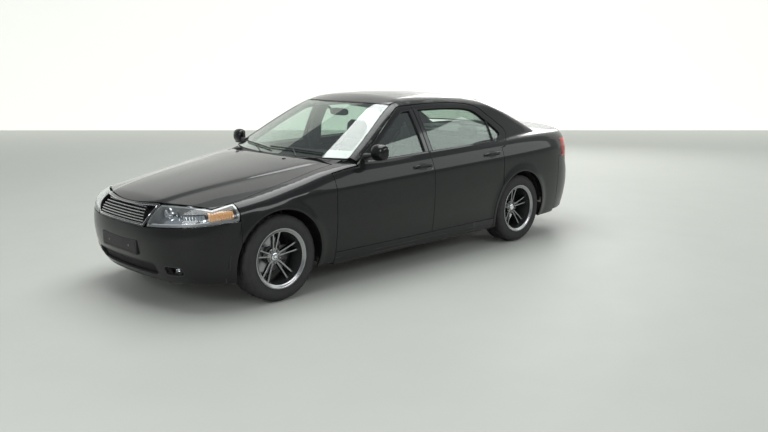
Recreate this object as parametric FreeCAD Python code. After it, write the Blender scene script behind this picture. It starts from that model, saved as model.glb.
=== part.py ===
import FreeCAD, Part
import math
import os

# Four-door three-box saloon car, modelled in millimetres.
# Row frame: origin on the ground under the middle of the car, +X forward, +Y to the
# car's left, +Z up.  Skin pieces are closed solids between an outer surface and the
# same surface moved inward; the outer surface is given by the tables below.

os.makedirs("parts", exist_ok=True)
V = FreeCAD.Vector

# ---------------------------------------------------------------- driving sizes
LENGTH, WIDTH, HEIGHT = 4840.0, 1846.0, 1468.0
WHEELBASE = 2888.0
X_FRONT_AXLE = 1588.0
X_REAR_AXLE = X_FRONT_AXLE - WHEELBASE
TYRE_R, TYRE_W, RIM_R = 328.0, 225.0, 218.0
WHEEL_Y = 777.0                # middle plane of a tyre
ARCH_R = 372.0                 # wheel opening in the outer panels
GAP = 7.0                      # shut gap between panels
SKIN = 20.0                    # hollow panels: outer skin with its inner frame
DOOR_T = 92.0                  # whole door
FRAME_T = 36.0                 # window frame of a door, roof and pillar skins
GLASS_T = 5.0
X_DOOR_FRONT = 1064.0          # shut line fender to front door
X_DOOR_MID = -42.0             # shut line front door to rear door
X_DOOR_REAR = -1012.0          # shut line rear door to quarter panel, above the arch
Z_SILL_TOP = 290.0             # lower edge of the doors
X_LAMP_OUT = 1925.0            # outer end of the headlamp


# ---------------------------------------------------------------- smooth tables
class Tab:
    """Monotone cubic through (position, value) pairs, straight beyond the ends."""

    def __init__(self, *pairs):
        self.x = [p[0] for p in pairs]
        self.y = [p[1] for p in pairs]
        n = len(pairs)
        h = [self.x[i + 1] - self.x[i] for i in range(n - 1)]
        d = [(self.y[i + 1] - self.y[i]) / h[i] for i in range(n - 1)]
        m = [d[0]] + [0.0] * (n - 2) + [d[-1]]
        for i in range(1, n - 1):
            if d[i - 1] * d[i] > 0:
                a, b = 2 * h[i] + h[i - 1], h[i] + 2 * h[i - 1]
                m[i] = (a + b) / (a / d[i - 1] + b / d[i])
        self.m, self.h = m, h

    def __call__(self, x):
        if x <= self.x[0]:
            return self.y[0] + self.m[0] * (x - self.x[0])
        if x >= self.x[-1]:
            return self.y[-1] + self.m[-1] * (x - self.x[-1])
        i = 0
        while x > self.x[i + 1]:
            i += 1
        h, t = self.h[i], (x - self.x[i]) / self.h[i]
        t2, t3 = t * t, t * t * t
        return (self.y[i] * (2 * t3 - 3 * t2 + 1) + self.m[i] * h * (t3 - 2 * t2 + t)
                + self.y[i + 1] * (3 * t2 - 2 * t3) + self.m[i + 1] * h * (t3 - t2))


# body tables: first number is x (or z, or a share of the height), second the value
TOP_MID = Tab((-2450, 1066), (-2330, 1082), (-2100, 1096), (-1800, 1100), (-1400, 1092), (-800, 1070), (0, 1040),
              (600, 1012), (1080, 982), (1400, 940), (1700, 895), (2000, 842), (2200, 796), (2330, 755), (2450, 705))
TOP_DROP = Tab((-2450, 110), (-2330, 100), (-1900, 88), (-1400, 85), (-1000, 88), (-500, 79), (0, 71), (500, 61),
               (800, 52), (1080, 72), (1400, 97), (1700, 112), (2000, 118), (2300, 105), (2450, 100))
NOSE_X = Tab((150, 2250), (190, 2310), (250, 2362), (330, 2396), (430, 2415), (500, 2420), (600, 2412), (680, 2390),
             (740, 2352), (800, 2290), (900, 2150), (1000, 1950))
TAIL_X = Tab((150, 2280), (200, 2330), (280, 2382), (400, 2410), (500, 2420), (600, 2415), (660, 2402), (720, 2386),
             (850, 2376), (980, 2362), (1080, 2345), (1150, 2330))
SIDE_W = Tab((-0.1, 815), (0, 845), (0.06, 868), (0.15, 886), (0.3, 903), (0.5, 916), (0.7, 922), (0.9, 921),
             (1.0, 919), (1.4, 914))
TAPER = Tab((-2420, .975), (-1300, .995), (-300, 1.0), (500, .998), (1588, .984), (2420, .955))
CREASE_Z = Tab((-2420, 915), (-1300, 868), (0, 828), (1000, 795), (1600, 770), (2100, 740), (2420, 720))
UNDER_Z = Tab((-2420, 225), (-1800, 190), (-900, 170), (1000, 165), (1900, 175), (2420, 190))
CABIN_PLAN = Tab((-2000, .86), (-1500, .94), (-1000, .98), (-300, 1.0), (400, .995), (1100, .955))
ROOF_MID = Tab((-1500, 1372), (-1100, 1418), (-800, 1449), (-400, 1466), (-250, 1468), (0, 1461), (200, 1440),
               (400, 1405), (700, 1330))
SCREEN_X = Tab((900, 1195), (1000, 1020), (1200, 650), (1400, 262), (1500, 60))
BACKLIGHT_X = Tab((1000, -1995), (1095, -1790), (1250, -1462), (1400, -1130), (1500, -900))
NOSE_N, NOSE_M, TAIL_N, TAIL_M = 11.8, 2.6, 14.0, 3.2
EDGE_K, RAIL_K, PILLAR_K, FOOT_K, COWL_K = 70.0, 90.0, 50.0, 25.0, 12.0


def smax(a, b, k):
    h = max(k - abs(a - b), 0.0) / k
    return max(a, b) + h * h * k / 4


def softplus(t):
    return t if t > 30 else math.log1p(math.exp(t))


def flare(x, z):
    out = 0.0
    for xa in (X_FRONT_AXLE, X_REAR_AXLE):
        r = math.hypot(x - xa, z - TYRE_R)
        out += 9.0 * math.exp(-((r - ARCH_R - 8) / 42.0) ** 2)
    return out


def half_width(x, z):
    zc = CREASE_Z(x)
    w = SIDE_W((z - 170) / (zc - 170)) * TAPER(x)
    return w - 0.36 * 8 * softplus((z - zc) / 8)


def top_z(x, y):
    ay = abs(y)
    z = TOP_MID(x) - TOP_DROP(x) * (ay / 900) ** 2.4
    if x > 700:
        ridge = 620 - 260 * (x - 1050) / 1250
        z += 10.0 / (1 + math.exp(max(-40, min(40, (ay - ridge) / 14)))) * min(1, (x - 700) / 300)
    return z


def f_low(x, y, z):
    if x > 0:
        a, n, m = NOSE_X(z), NOSE_N, NOSE_M
    else:
        a, n, m = TAIL_X(z), TAIL_N, TAIL_M
    w = half_width(x, z)
    ax, ay = abs(x) / a, abs(y) / w
    g = ay ** m + ax ** n - 1
    s = math.hypot(m / w * ay ** (m - 1), n / a * ax ** (n - 1))
    side = g / max(s, 1 / 400) - (flare(x, z) if ay > .7 else 0)
    return smax(smax(side, (z - top_z(x, y)) * .97, EDGE_K), UNDER_Z(x) - z, FOOT_K)


def cabin_side(x, z):
    return (850 - .46 * (z - 970) - .00028 * (z - 970) ** 2) * CABIN_PLAN(x)


def f_cabin(x, y, z):
    ay = abs(y)
    side = (ay - cabin_side(x, z)) * .9
    roof = (z - ROOF_MID(x) + 48 * (ay / 600) ** 2.2) * .97
    screen = (x - SCREEN_X(z) + 3.56e-4 * y * y) * .46
    back = (BACKLIGHT_X(z) + 2.6e-4 * y * y - x) * .42
    return smax(smax(side, roof, RAIL_K), max(screen, back), PILLAR_K)


def f_body(x, y, z):
    a, b = f_low(x, y, z), f_cabin(x, y, z)
    return -smax(-a, -b, COWL_K)


# ---------------------------------------------------------------- surface helpers
def hit(f, o, d, t0, t1):
    """Point where the ray o + t d leaves the body, between t0 (inside) and t1 (outside)."""
    for _ in range(34):
        t = (t0 + t1) / 2
        if f(o[0] + d[0] * t, o[1] + d[1] * t, o[2] + d[2] * t) > 0:
            t1 = t
        else:
            t0 = t
    return (o[0] + d[0] * t1, o[1] + d[1] * t1, o[2] + d[2] * t1)


def normal(f, p, e=4.0):
    g = [f(p[0] + e, p[1], p[2]) - f(p[0] - e, p[1], p[2]),
         f(p[0], p[1] + e, p[2]) - f(p[0], p[1] - e, p[2]),
         f(p[0], p[1], p[2] + e) - f(p[0], p[1], p[2] - e)]
    n = math.sqrt(sum(c * c for c in g)) or 1
    return [c / n for c in g]


def lateral(f, x, z, side=1):
    return hit(f, (x, 0, z), (0, side, 0), 100, 1200)


def upward(f, x, y, z0=500):
    return hit(f, (x, y, z0), (0, 0, 1), 0, 1200)


def radial(f, c, p):
    d = [p[i] - c[i] for i in range(3)]
    n = math.sqrt(sum(k * k for k in d))
    return hit(f, c, [k / n for k in d], 30, 2500)


def mirror_y(shape):
    return shape.mirror(V(0, 0, 0), V(0, 1, 0))


def poly_solid(pts, tris):
    vs = [V(*p) for p in pts]
    keep = []
    for a, b, c in tris:
        if (vs[b] - vs[a]).cross(vs[c] - vs[a]).Length > 1e-3:
            keep.append((a, b, c))
    s = Part.Shape()
    s.makeShapeFromMesh((vs, keep), 0.02)
    s = Part.makeSolid(s)
    if s.Volume < 0:
        s.reverse()
    return s.removeSplitter()


def slab(outer, inner):
    """Closed solid between two grids of points with the same rows and columns."""
    nr, nc = len(outer), len(outer[0])
    pts = [p for r in outer for p in r] + [p for r in inner for p in r]
    m = nr * nc
    tris = []
    for i in range(nr - 1):
        for j in range(nc - 1):
            a, b, c, d = i * nc + j, i * nc + j + 1, (i + 1) * nc + j + 1, (i + 1) * nc + j
            tris += [(a, b, c), (a, c, d), (a + m, c + m, b + m), (a + m, d + m, c + m)]
    rim = ([(0, j) for j in range(nc - 1)] + [(i, nc - 1) for i in range(nr - 1)]
           + [(nr - 1, j) for j in range(nc - 1, 0, -1)] + [(i, 0) for i in range(nr - 1, 0, -1)])
    ring = [i * nc + j for i, j in rim]
    for k in range(len(ring)):
        a, b = ring[k], ring[(k + 1) % len(ring)]
        tris += [(a, b + m, b), (a, a + m, b + m)]
    return poly_solid(pts, tris)


def skin(f, grid, t):
    """Panel of thickness t under the surface f, from a grid of points on it."""
    inner = []
    for row in grid:
        r = []
        for p in row:
            n = normal(f, p)
            r.append(tuple(p[i] - t * n[i] for i in range(3)))
        inner.append(r)
    return slab(grid, inner)


def lerp(a, b, t):
    return tuple(a[i] + (b[i] - a[i]) * t for i in range(len(a)))


def along(path, t):
    """Point at share t of a polyline given by its corners."""
    d = [math.dist(path[i], path[i + 1]) for i in range(len(path) - 1)]
    s = t * sum(d)
    for i, k in enumerate(d):
        if s <= k or i == len(d) - 1:
            return lerp(path[i], path[i + 1], min(1, s / k))
        s -= k


def box(x0, x1, y0, y1, z0, z1):
    return Part.makeBox(x1 - x0, y1 - y0, z1 - z0, V(x0, y0, z0))


def cyl(r, h, p, d):
    return Part.makeCylinder(r, h, V(*p), V(*d))


def ngon_prism(pts, d):
    w = Part.makePolygon([V(*p) for p in pts] + [V(*pts[0])])
    return Part.Face(w).extrude(V(*d))


def tube(p, q, r):
    a, b = V(*p), V(*q)
    return Part.makeCylinder(r, (b - a).Length, a, b - a)


def revolve_y(profile, cx, cy, cz):
    """Solid of revolution about the line parallel to Y through (cx, cz); profile holds (radius, y - cy)."""
    pts = [V(cx, cy + y, cz + r) for r, y in profile]
    w = Part.makePolygon(pts + [pts[0]])
    return Part.Face(w).revolve(V(cx, cy, cz), V(0, 1, 0), 360)


def fuse(shapes):
    s = shapes[0]
    if len(shapes) > 1:
        s = s.fuse(shapes[1:])
    return s.removeSplitter()


NODES = {}


def node(name, *shapes):
    """Writes one piece; several shapes are solids of one node that don't touch."""
    solids = []
    for s in shapes:
        solids += s.Solids
    NODES[name] = solids
    out = solids[0] if len(solids) == 1 else Part.makeCompound(solids)
    out.exportStep("parts/%s.step" % name)


def both(shape):
    return shape, mirror_y(shape)


# ---------------------------------------------------------------- lines of the body
def z_rail(x):
    return ROOF_MID(x) - 93


def screen_corner(z):
    x = 500.0
    for _ in range(12):
        x = SCREEN_X(z) - 3.56e-4 * cabin_side(x, z) ** 2
    return x, cabin_side(x, z)


def back_corner(z):
    x = -1400.0
    for _ in range(12):
        x = BACKLIGHT_X(z) + 2.6e-4 * cabin_side(x, z) ** 2
    return x, cabin_side(x, z)


def belt(x):
    """Foot of the side glass on the shoulder."""
    y = cabin_side(x, 975) + 4
    return (x, y, top_z(x, y) - 2)


HOOD_Y = Tab((950, 722), (1300, 742), (1600, 757), (1900, 768), (2050, 752), (2200, 705))   # side shut line


def hood_front(y):
    return 2322 - 470 * (abs(y) / 1000) ** 2.2


def hood_rear(y):
    return 1090 - 110 * (y / 700) ** 2


# door outlines above the belt: (x, z) of the outer edge, (x, z) of the glass opening
FRONT_FRAME = [((775, 940), (712, 940)), ((716, 1000), (652, 1000)), ((553, 1100), (490, 1100)),
               ((395, 1200), (332, 1200)), ((235, 1298), (185, 1275)),
               ((120, z_rail(120)), (100, z_rail(100) - 38)), ((40, z_rail(40)), (45, z_rail(45) - 38)),
               ((X_DOOR_MID + 3, z_rail(-39)), (5, z_rail(5) - 38)), ((X_DOOR_MID + 3, 1200), (5, 1200)),
               ((X_DOOR_MID + 3, 1080), (5, 1080)), ((X_DOOR_MID + 3, 940), (5, 940))]
REAR_FRAME = [((X_DOOR_MID - 3, 940), (-90, 940)), ((X_DOOR_MID - 3, 1080), (-90, 1080)),
              ((X_DOOR_MID - 3, 1200), (-90, 1200)), ((X_DOOR_MID - 3, z_rail(-45)), (-90, z_rail(-90) - 38)),
              ((-300, z_rail(-300)), (-300, z_rail(-300) - 38)), ((-600, z_rail(-600)), (-590, z_rail(-590) - 38)),
              ((-800, z_rail(-800) - 8), (-765, z_rail(-765) - 46)), ((-905, 1316), (-850, 1282)),
              ((-1010, 1240), (-950, 1207)), ((-1120, 1152), (-1050, 1125)), ((-1192, 1086), (-1105, 1078)),
              ((-1188, 1050), (-1098, 1052)), ((-1130, 1004), (-1050, 1030)), ((-1050, 955), (-985, 955))]


def on_cabin(x, z, side=1):
    return lateral(f_cabin, x, z, side)


def strip(f, edge_a, edge_b, n, centre, t):
    """Skin between two edges given as point lists, n columns between them, projected on f from centre(p)."""
    grid = []
    for a, b in zip(edge_a, edge_b):
        grid.append([radial(f, centre(lerp(a, b, k / n)), lerp(a, b, k / n)) for k in range(n + 1)])
    return skin(f, grid, t)


# ---------------------------------------------------------------- doors
def shoulder(x):
    """Height of the shut line between the fender's upper tongue and the front door."""
    return belt(x)[2] - 16


def door_lower(xs, rows, edge, x_front, x_thin, rear_shift):
    """Slab of a door below the glass. edge(x, z) moves the rear line with height."""
    outer, inner = [], []
    for share in rows:
        ro, ri = [], []
        for col, x in enumerate(xs):
            zb = belt(x)
            tucked = x > 782
            z_mid = CREASE_Z(x) + 30
            drop = 0
            if share <= 1:
                z = Z_SILL_TOP + share * (z_mid - Z_SILL_TOP)
                xx = max(x, edge(xs[0], z) + 12 * col)
                p = lateral(f_low, xx, z)
            elif tucked:
                z = z_mid + (shoulder(x) - 8 - z_mid) * (share - 1)
                xx = x
                p = lateral(f_low, x, z)
                drop = 42 * (share - 1)
            else:
                q = lerp((x, 905, z_mid), zb, share - 1)
                xx = x
                p = radial(f_low, (xx, 450, 600), (xx, q[1], q[2]))
                if share == 2:
                    p = (xx, zb[1], upward(f_low, xx, zb[1])[2])
            ro.append(p)
            thick = DOOR_T_FRONT if x > x_thin else DOOR_T
            ri.append((p[0] + (rear_shift if x == xs[0] else 0), p[1] - thick, p[2] - drop))
        outer.append(ro)
        inner.append(ri)
    return slab(outer, inner)


def door_frame(table, shift_rows, level_rows=()):
    """Window frame. shift_rows: rows whose outer rim leans forward, to swing past the next panel."""
    outer, inner = [], []
    for k, (o, i) in enumerate(table):
        m = ((o[0] + i[0]) / 2, (o[1] + i[1]) / 2)
        row = [on_cabin(*o), on_cabin(*m), on_cabin(*i)]
        outer.append(row)
        under = []
        for c, p in enumerate(row):
            n = normal(f_cabin, p)
            dx = 13 if c == 0 and k in shift_rows else 0
            if k in level_rows and (c == 0 or c == 1 and k == level_rows[-1]):      # rim that swings out over the shoulder
                under.append((p[0] + dx, p[1] - FRAME_T * n[1], p[2] + 6))
                continue
            under.append((p[0] - FRAME_T * n[0] + dx, p[1] - FRAME_T * n[1], p[2] - FRAME_T * n[2]))
        inner.append(under)
    return slab(outer, inner)


def door_glass(top, bottom):
    """Pane between two edges of (x, z) points, set 10 mm behind the cabin surface."""
    outer, inner = [], []
    for a, b in zip(bottom, top):
        ro, ri = [], []
        for k in range(5):
            p = on_cabin(*lerp(a, b, k / 4))
            n = normal(f_cabin, p)
            ro.append(tuple(p[i] - 10 * n[i] for i in range(3)))
            ri.append(tuple(p[i] - (10 + GLASS_T) * n[i] for i in range(3)))
        outer.append(ro)
        inner.append(ri)
    return slab(outer, inner)


ROWS = [0, .12, .3, .5, .7, .88, 1, 1.35, 1.7, 2]


def rear_door_edge(x, z):
    """Rear line of the rear door: round the wheel arch, then upright."""
    r = ARCH_R + 34
    dz = z - TYRE_R
    xa = X_REAR_AXLE + math.sqrt(max(r * r - dz * dz, 0)) if abs(dz) < r else -9999
    return max(X_DOOR_REAR + GAP / 2, xa)


HINGE_R = 9.0
HINGE_BACK = 70.0               # hinge line behind the shut line
HINGE_IN = 16.0                 # hinge line under the skin
PIN_R, BORE_R = 4.0, 4.05
HINGE_Z = (500.0, 720.0)        # feet of the lower and the upper hinge


def hinge_axis(x_edge):
    """A door's hinge line: upright, behind its front edge and just under the widest skin."""
    x = x_edge - HINGE_BACK
    return x, min(lateral(f_low, x, z)[1] for z in (HINGE_Z[0], HINGE_Z[1] + 54)) - HINGE_IN


def post_y(x, z):
    """Outer face of the door posts, behind the inner face of the doors."""
    zb = belt(x)[2]
    return min(lateral(f_low, x, min(z, zb - 40))[1] - DOOR_T - 8, 735 if z > 850 else 999)


def hinge_pair(ax, z0):
    """Two stacked knuckles on one axis: (body leaf, door leaf)."""
    x, y = ax
    y_post = post_y(x, z0 + 13)
    fixed = fuse([cyl(HINGE_R, 26, (x, y, z0), (0, 0, 1)), cyl(PIN_R, 56, (x, y, z0), (0, 0, 1)),
                  box(x - 5, x + 5, y_post - 4, y, z0, z0 + 26)])
    moving = fuse([cyl(HINGE_R, 24, (x, y, z0 + 29), (0, 0, 1)), box(x - 24, x, y - 8, y + 2, z0 + 29, z0 + 53)])
    return fixed, moving.cut(cyl(BORE_R, 80, (x, y, z0 - 10), (0, 0, 1)))


def hinge_pocket(ax, z0):
    x, y = ax
    return box(x - 14, x + 100, y - 140, y + 11, z0 - 6, z0 + 60)


def make_door(xs, edge, table, shift_rows, glass, ax, rear_shift):
    low = door_lower(xs, ROWS, edge, ax[0] + HINGE_BACK, ax[0] - 6, rear_shift)
    frame = door_frame(table, shift_rows, (11, 12, 13) if len(table) > 13 else ())
    door = fuse([low, frame])
    pane = door_glass(*glass)
    door = door.cut(pane)
    fixed = []
    for z0 in HINGE_Z:
        f, m = hinge_pair(ax, z0)
        door = door.cut(hinge_pocket(ax, z0))
        door = door.fuse(m)
        fixed.append(f)
    door = door.removeSplitter()
    return door, pane, fixed


DOOR_T_FRONT = 55.0             # at the front edge, which swings inward past the post
AX_FRONT = hinge_axis(X_DOOR_FRONT)
AX_REAR = hinge_axis(X_DOOR_MID)
FRONT_XS = [X_DOOR_MID + GAP / 2, 230, 500, 780, 790, AX_FRONT[0] - 8, AX_FRONT[0] - 5, X_DOOR_FRONT - GAP / 2]
REAR_XS = [X_DOOR_REAR + GAP / 2, -930, -700, -400, AX_REAR[0] - 8, AX_REAR[0] - 5, X_DOOR_MID - GAP / 2]

# panes reach 7 mm into their frames and 27 mm below the belt
fg_top = [(712, 950), (657, 1003), (495, 1105), (337, 1206), (188, 1283), (100, z_rail(100) - 31),
          (45, z_rail(45) - 31), (-2, z_rail(5) - 31)]
fg_bot = [(705, 946), (620, 946), (500, 946), (380, 946), (250, 946), (150, 946), (70, 946), (-2, 946)]
rg_top = [(-83, z_rail(-90) - 31), (-300, z_rail(-300) - 31), (-590, z_rail(-590) - 31),
          (-768, z_rail(-765) - 40), (-855, 1288), (-955, 1213), (-1055, 1131), (-1112, 1082)]
rg_bot = [(-83, 962), (-300, 962), (-500, 962), (-650, 962), (-760, 964), (-860, 968), (-960, 975), (-1096, 1045)]

door_f, pane_f, fix_f = make_door(FRONT_XS, lambda x, z: x, FRONT_FRAME, (7, 8, 9, 10), (fg_top, fg_bot), AX_FRONT, 8)
door_r, pane_r, fix_r = make_door(REAR_XS, rear_door_edge, REAR_FRAME, (6, 7, 8, 9, 10, 11), (rg_top, rg_bot),
                                  AX_REAR, 9)
for side, put in (("left", lambda s: s), ("right", mirror_y)):
    node("front_door_" + side, put(door_f))
    node("rear_door_" + side, put(door_r))
    node("front_door_glass_" + side, put(pane_f))
    node("rear_door_glass_" + side, put(pane_r))

# ---------------------------------------------------------------- glass front and rear
def screen_grid(zs, corner, sx, inset, cols=9):
    grid = []
    for z in zs:
        yc = corner(z)[1] - inset
        row = []
        for k in range(cols):
            y = yc * (2 * k / (cols - 1) - 1)
            row.append(hit(f_cabin, (-600 if sx > 0 else -300, y, z), (sx, 0, 0), 0, 2600))
        grid.append(row)
    return grid


node("windshield", skin(f_cabin, screen_grid((994, 1070, 1150, 1230, 1310, 1377), screen_corner, 1, 52), GLASS_T))
node("rear_window", skin(f_cabin, screen_grid((1106, 1170, 1240, 1310, 1378), back_corner, -1, 62), GLASS_T))

# ---------------------------------------------------------------- roof
ROOF_Y = Tab((-1200, 520), (-600, 552), (-200, 562), (300, 540))
grid = []
for k in range(7):
    row = []
    for c in range(-4, 5):
        s = c / 4
        y0 = 548 * s
        xf, xr = 262 - 3.56e-4 * y0 * y0, -1118 + 2.6e-4 * y0 * y0
        x = xf + (xr - xf) * k / 6
        row.append(upward(f_cabin, x, ROOF_Y(x) * s, 1100))
    grid.append(row)
node("roof_panel", skin(f_cabin, grid, 28))

# ---------------------------------------------------------------- bonnet and boot lid
grid = []
for k in range(10):
    row = []
    for c in range(-6, 7):
        s = c / 6
        y0 = 740 * s
        xr, xf = hood_rear(y0), hood_front(y0)
        x = xr + (xf - xr) * k / 9
        row.append(upward(f_low, x, HOOD_Y(x) * s, 400))
    grid.append(row)
hood = skin(f_low, grid, 22)
HOOD_AX, HOOD_AZ, HOOD_HY = 985.0, 922.0, 640.0       # hinge line of the bonnet, and where its arms are
hood_parts, hood_ears = [hood], []
for y in (-HOOD_HY, HOOD_HY):
    hood_parts += [box(HOOD_AX, 1180, y - 6, y + 6, 906, 922), box(HOOD_AX + 3, 1030, y - 6, y + 6, 915, 938),
                   cyl(9, 14, (HOOD_AX, y - 7, HOOD_AZ), (0, 1, 0))]
    y0 = y + 9 if y > 0 else y - 21
    hood_ears += [cyl(9, 12, (HOOD_AX, y0, HOOD_AZ), (0, 1, 0)), box(HOOD_AX - 7, HOOD_AX + 7, y0, y0 + 12, 878, HOOD_AZ),
                  cyl(PIN_R, 30, (HOOD_AX, y - 9 if y > 0 else y - 21, HOOD_AZ), (0, 1, 0))]
hood = fuse(hood_parts)
hood = hood.cut([cyl(BORE_R, 60, (HOOD_AX, y - 30, HOOD_AZ), (0, 1, 0)) for y in (-HOOD_HY, HOOD_HY)])
node("hood", hood)

LID_X = -1818.0                  # front edge of the boot lid
LID_Y = 690.0                    # half width of its deck
LID_AX, LID_AZ = LID_X - 10, 1085.0     # its hinge line, inside the skin
# half width of the lid by the angle from upright, seen from a line inside the tail
LID_HALF = Tab((-40, LID_Y), (-5, LID_Y), (15, 684), (30, 667), (42, 648), (52, 634), (62, 626), (75, 625), (110, 625))


def fold_point(a, y):
    r = math.radians(a)
    return hit(f_low, (-1990, y, 830), (-math.sin(r), 0, math.cos(r)), 0, 900)


grid = []
for a in (-34, -15, 5, 20, 32, 42, 50, 57, 64, 72, 81, 92, 106.5):
    row = []
    for c in range(-6, 7):
        y = LID_HALF(a) * c / 6
        if a == -34:
            row.append(upward(f_low, LID_X, y, 500))
        elif a > 100:
            row.append(hit(f_low, (-1200, y, 712), (-1, 0, 0), 0, 1400))
        else:
            row.append(fold_point(a, y))
    grid.append(row)
lid = skin(f_low, grid, 20)
lid = lid.cut([box(LID_AX - 8, LID_X + 5, y - 10, y + 10, 1050, 1120) for y in (-110, 110)])
lid = fuse([lid] + [fuse([cyl(5, 14, (LID_AX, y, LID_AZ), (0, 1, 0)), box(LID_AX - 14, LID_AX, y, y + 14, 1080, 1090)])
                    for y in (-134, 120)])
lid = lid.cut([cyl(2.55, 400, (LID_AX, -200, LID_AZ), (0, 1, 0))])

# ---------------------------------------------------------------- front fenders
def wheel_cut(xa, r, y0=560, y1=1100):
    return fuse([cyl(r, y1 - y0, (xa, y0, TYRE_R), (0, 1, 0)), box(xa - r, xa + r, y0, y1, 0, TYRE_R)])


def section_column(x, p_low, p_high, n, cy=450, cz=600):
    """n + 1 points of the lower body at x, from p_low to p_high, both (y, z)."""
    a0, a1 = (math.atan2(p[1] - cz, p[0] - cy) for p in (p_low, p_high))
    col = []
    for k in range(n + 1):
        a = a0 + (a1 - a0) * k / n
        col.append(hit(f_low, (x, cy, cz), (0, math.cos(a), math.sin(a)), 20, 1500))
    return col


grid = []
for x in (X_DOOR_FRONT + 3, 1150, 1250, 1370, 1480, 1590, 1700, 1810, X_LAMP_OUT - 3):
    yh = HOOD_Y(x) + GAP
    grid.append(section_column(x, (890, 205), (yh, top_z(x, yh)), 10))
fender = skin(f_low, grid, SKIN)
fender = fender.cut(wheel_cut(X_FRONT_AXLE, ARCH_R))
# tongue between bonnet and door, up to the screen pillar's foot
outer, inner = [], []
for x in (800, 860, 930, 1000, X_DOOR_FRONT + 30):
    lo = lateral(f_low, x, shoulder(x))
    col = section_column(x, (lo[1], lo[2]), (HOOD_Y(max(x, 950)) + GAP, top_z(x, 735)), 4, 450, 600)
    col[0] = lo
    outer.append(col)
    under = []
    for k, p in enumerate(col):
        n = normal(f_low, p)
        under.append((p[0], p[1] - 26, p[2] + 1) if k == 0 else tuple(p[i] - 16 * n[i] for i in range(3)))
    inner.append(under)
fender = fuse([fender, slab(outer, inner)])

# ---------------------------------------------------------------- bumpers
def nose_point(x0, ang, z, f=f_low):
    a = math.radians(ang)
    return hit(f, (x0, 0, z), (math.cos(a), math.sin(a), 0), 100, 1500)


def rear_angle(y, x0, x):
    return math.degrees(math.atan2(y, x - x0))


FX, RX = 1900.0, -1920.0
X_TIP = LENGTH / 2 + 4
BUMP_TOP = Tab((0, 598), (30, 598), (40, 606), (60, 622), (88, 652))       # angle from straight ahead, height
angs = (-88.3, -82, -74, -65, -55, -44, -32, -20, -8, 0, 8, 20, 32, 44, 55, 65, 74, 82, 88.3)
grid = []
for a in angs:
    zt = BUMP_TOP(abs(a))
    grid.append([nose_point(FX, a, z) for z in (196, 222, 260, 330, 400, 470, 500, 540, zt)])
bumper = skin(f_low, grid, 26)
bumper = fuse([bumper, box(2395, X_TIP, -265, 265, 385, 500)])        # pad for a number plate
bumper = bumper.cut(wheel_cut(X_FRONT_AXLE, ARCH_R)).cut(mirror_y(wheel_cut(X_FRONT_AXLE, ARCH_R)))
bumper = bumper.cut([box(2200, 2500, -430, 430, 250, 350), box(2150, 2500, 500, 640, 262, 342),
                     box(2150, 2500, -640, -500, 262, 342)])
bumper = bumper.cut([cyl(3, 60, (2370, y, 442.5), (1, 0, 0)) for y in (-150, 150)])      # plate screws
node("front_bumper", bumper)
print("bumper solids", len(bumper.Solids))

REAR_TOP = Tab((0, 704), (57, 704), (66, 728), (77, 768), (88, 790))
grid = []
for a in angs:
    zt = REAR_TOP(abs(a))
    grid.append([nose_point(RX, 180 - a, z) for z in (232, 262, 320, 420, 520, 600, 660, zt)])
rear_bumper = skin(f_low, grid, 26)
rear_bumper = fuse([rear_bumper, box(-X_TIP, -2395, -300, 300, 480, 530)])          # guard strip
rear_bumper = rear_bumper.cut([box(-2500, -2200, 420, 560, 180, 262)])
node("rear_bumper", rear_bumper)

# ---------------------------------------------------------------- lamps and grille
def lamp_grid(s_list):
    grid = []
    for s in s_list:
        ang = 36.5 + (88.0 - 36.5) * s
        lo = nose_point(FX, ang, BUMP_TOP(ang) + GAP)
        # upper edge follows the bonnet's front edge to its corner, then its side
        if s <= .7:
            y = 395 + (747 - 395) * s / .7
            up = upward(f_low, hood_front(y * 740 / 747) + GAP, y + GAP * s / .7, 400)
        else:
            xh = 2080 + GAP + (X_LAMP_OUT - 2080 - GAP) * (s - .7) / .3
            up = upward(f_low, xh, HOOD_Y(xh) + GAP + 1, 400)
        c = (FX - 120, 120, 560)
        grid.append([radial(f_low, c, lerp(lo, up, k / 4)) for k in range(5)])
    return grid


lamp = skin(f_low, lamp_grid([0, .14, .28, .42, .56, .7, .78, .86, .93, 1]), 60)
node("headlamps", *both(lamp))

LAMP_IN, LAMP_OUT, LAMP_TOP = 59.8, 84.0, 962.0         # tail lamp: angles from straight back, and its upper edge
tail = []
for a in (LAMP_IN, 63, 67, 71, 75, 79.5, LAMP_OUT):
    zb = REAR_TOP(a) + GAP + 6
    tail.append([nose_point(RX, 180 - a, zb + (LAMP_TOP - zb) * k / 5) for k in range(6)])
tail_lamp = skin(f_low, tail, 45)
node("tail_lamps", *both(tail_lamp))

grid = []
for a in (-34.5, -24, -12, 0, 12, 24, 34.5):
    p = nose_point(FX, a, 700)
    up = upward(f_low, hood_front(p[1]) + GAP, p[1], 400)
    lo = nose_point(FX, a, BUMP_TOP(0) + GAP)
    grid.append([radial(f_low, (FX - 100, p[1] * .5, 560), lerp(lo, up, k / 4)) for k in range(5)])
grille = skin(f_low, grid, 24)
slots = [box(2150, 2500, -330, 330, 622 + 22 * k, 636 + 22 * k) for k in range(4)]
grille = grille.cut(slots)
node("grille", grille)
print("grille solids", len(grille.Solids))

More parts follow.
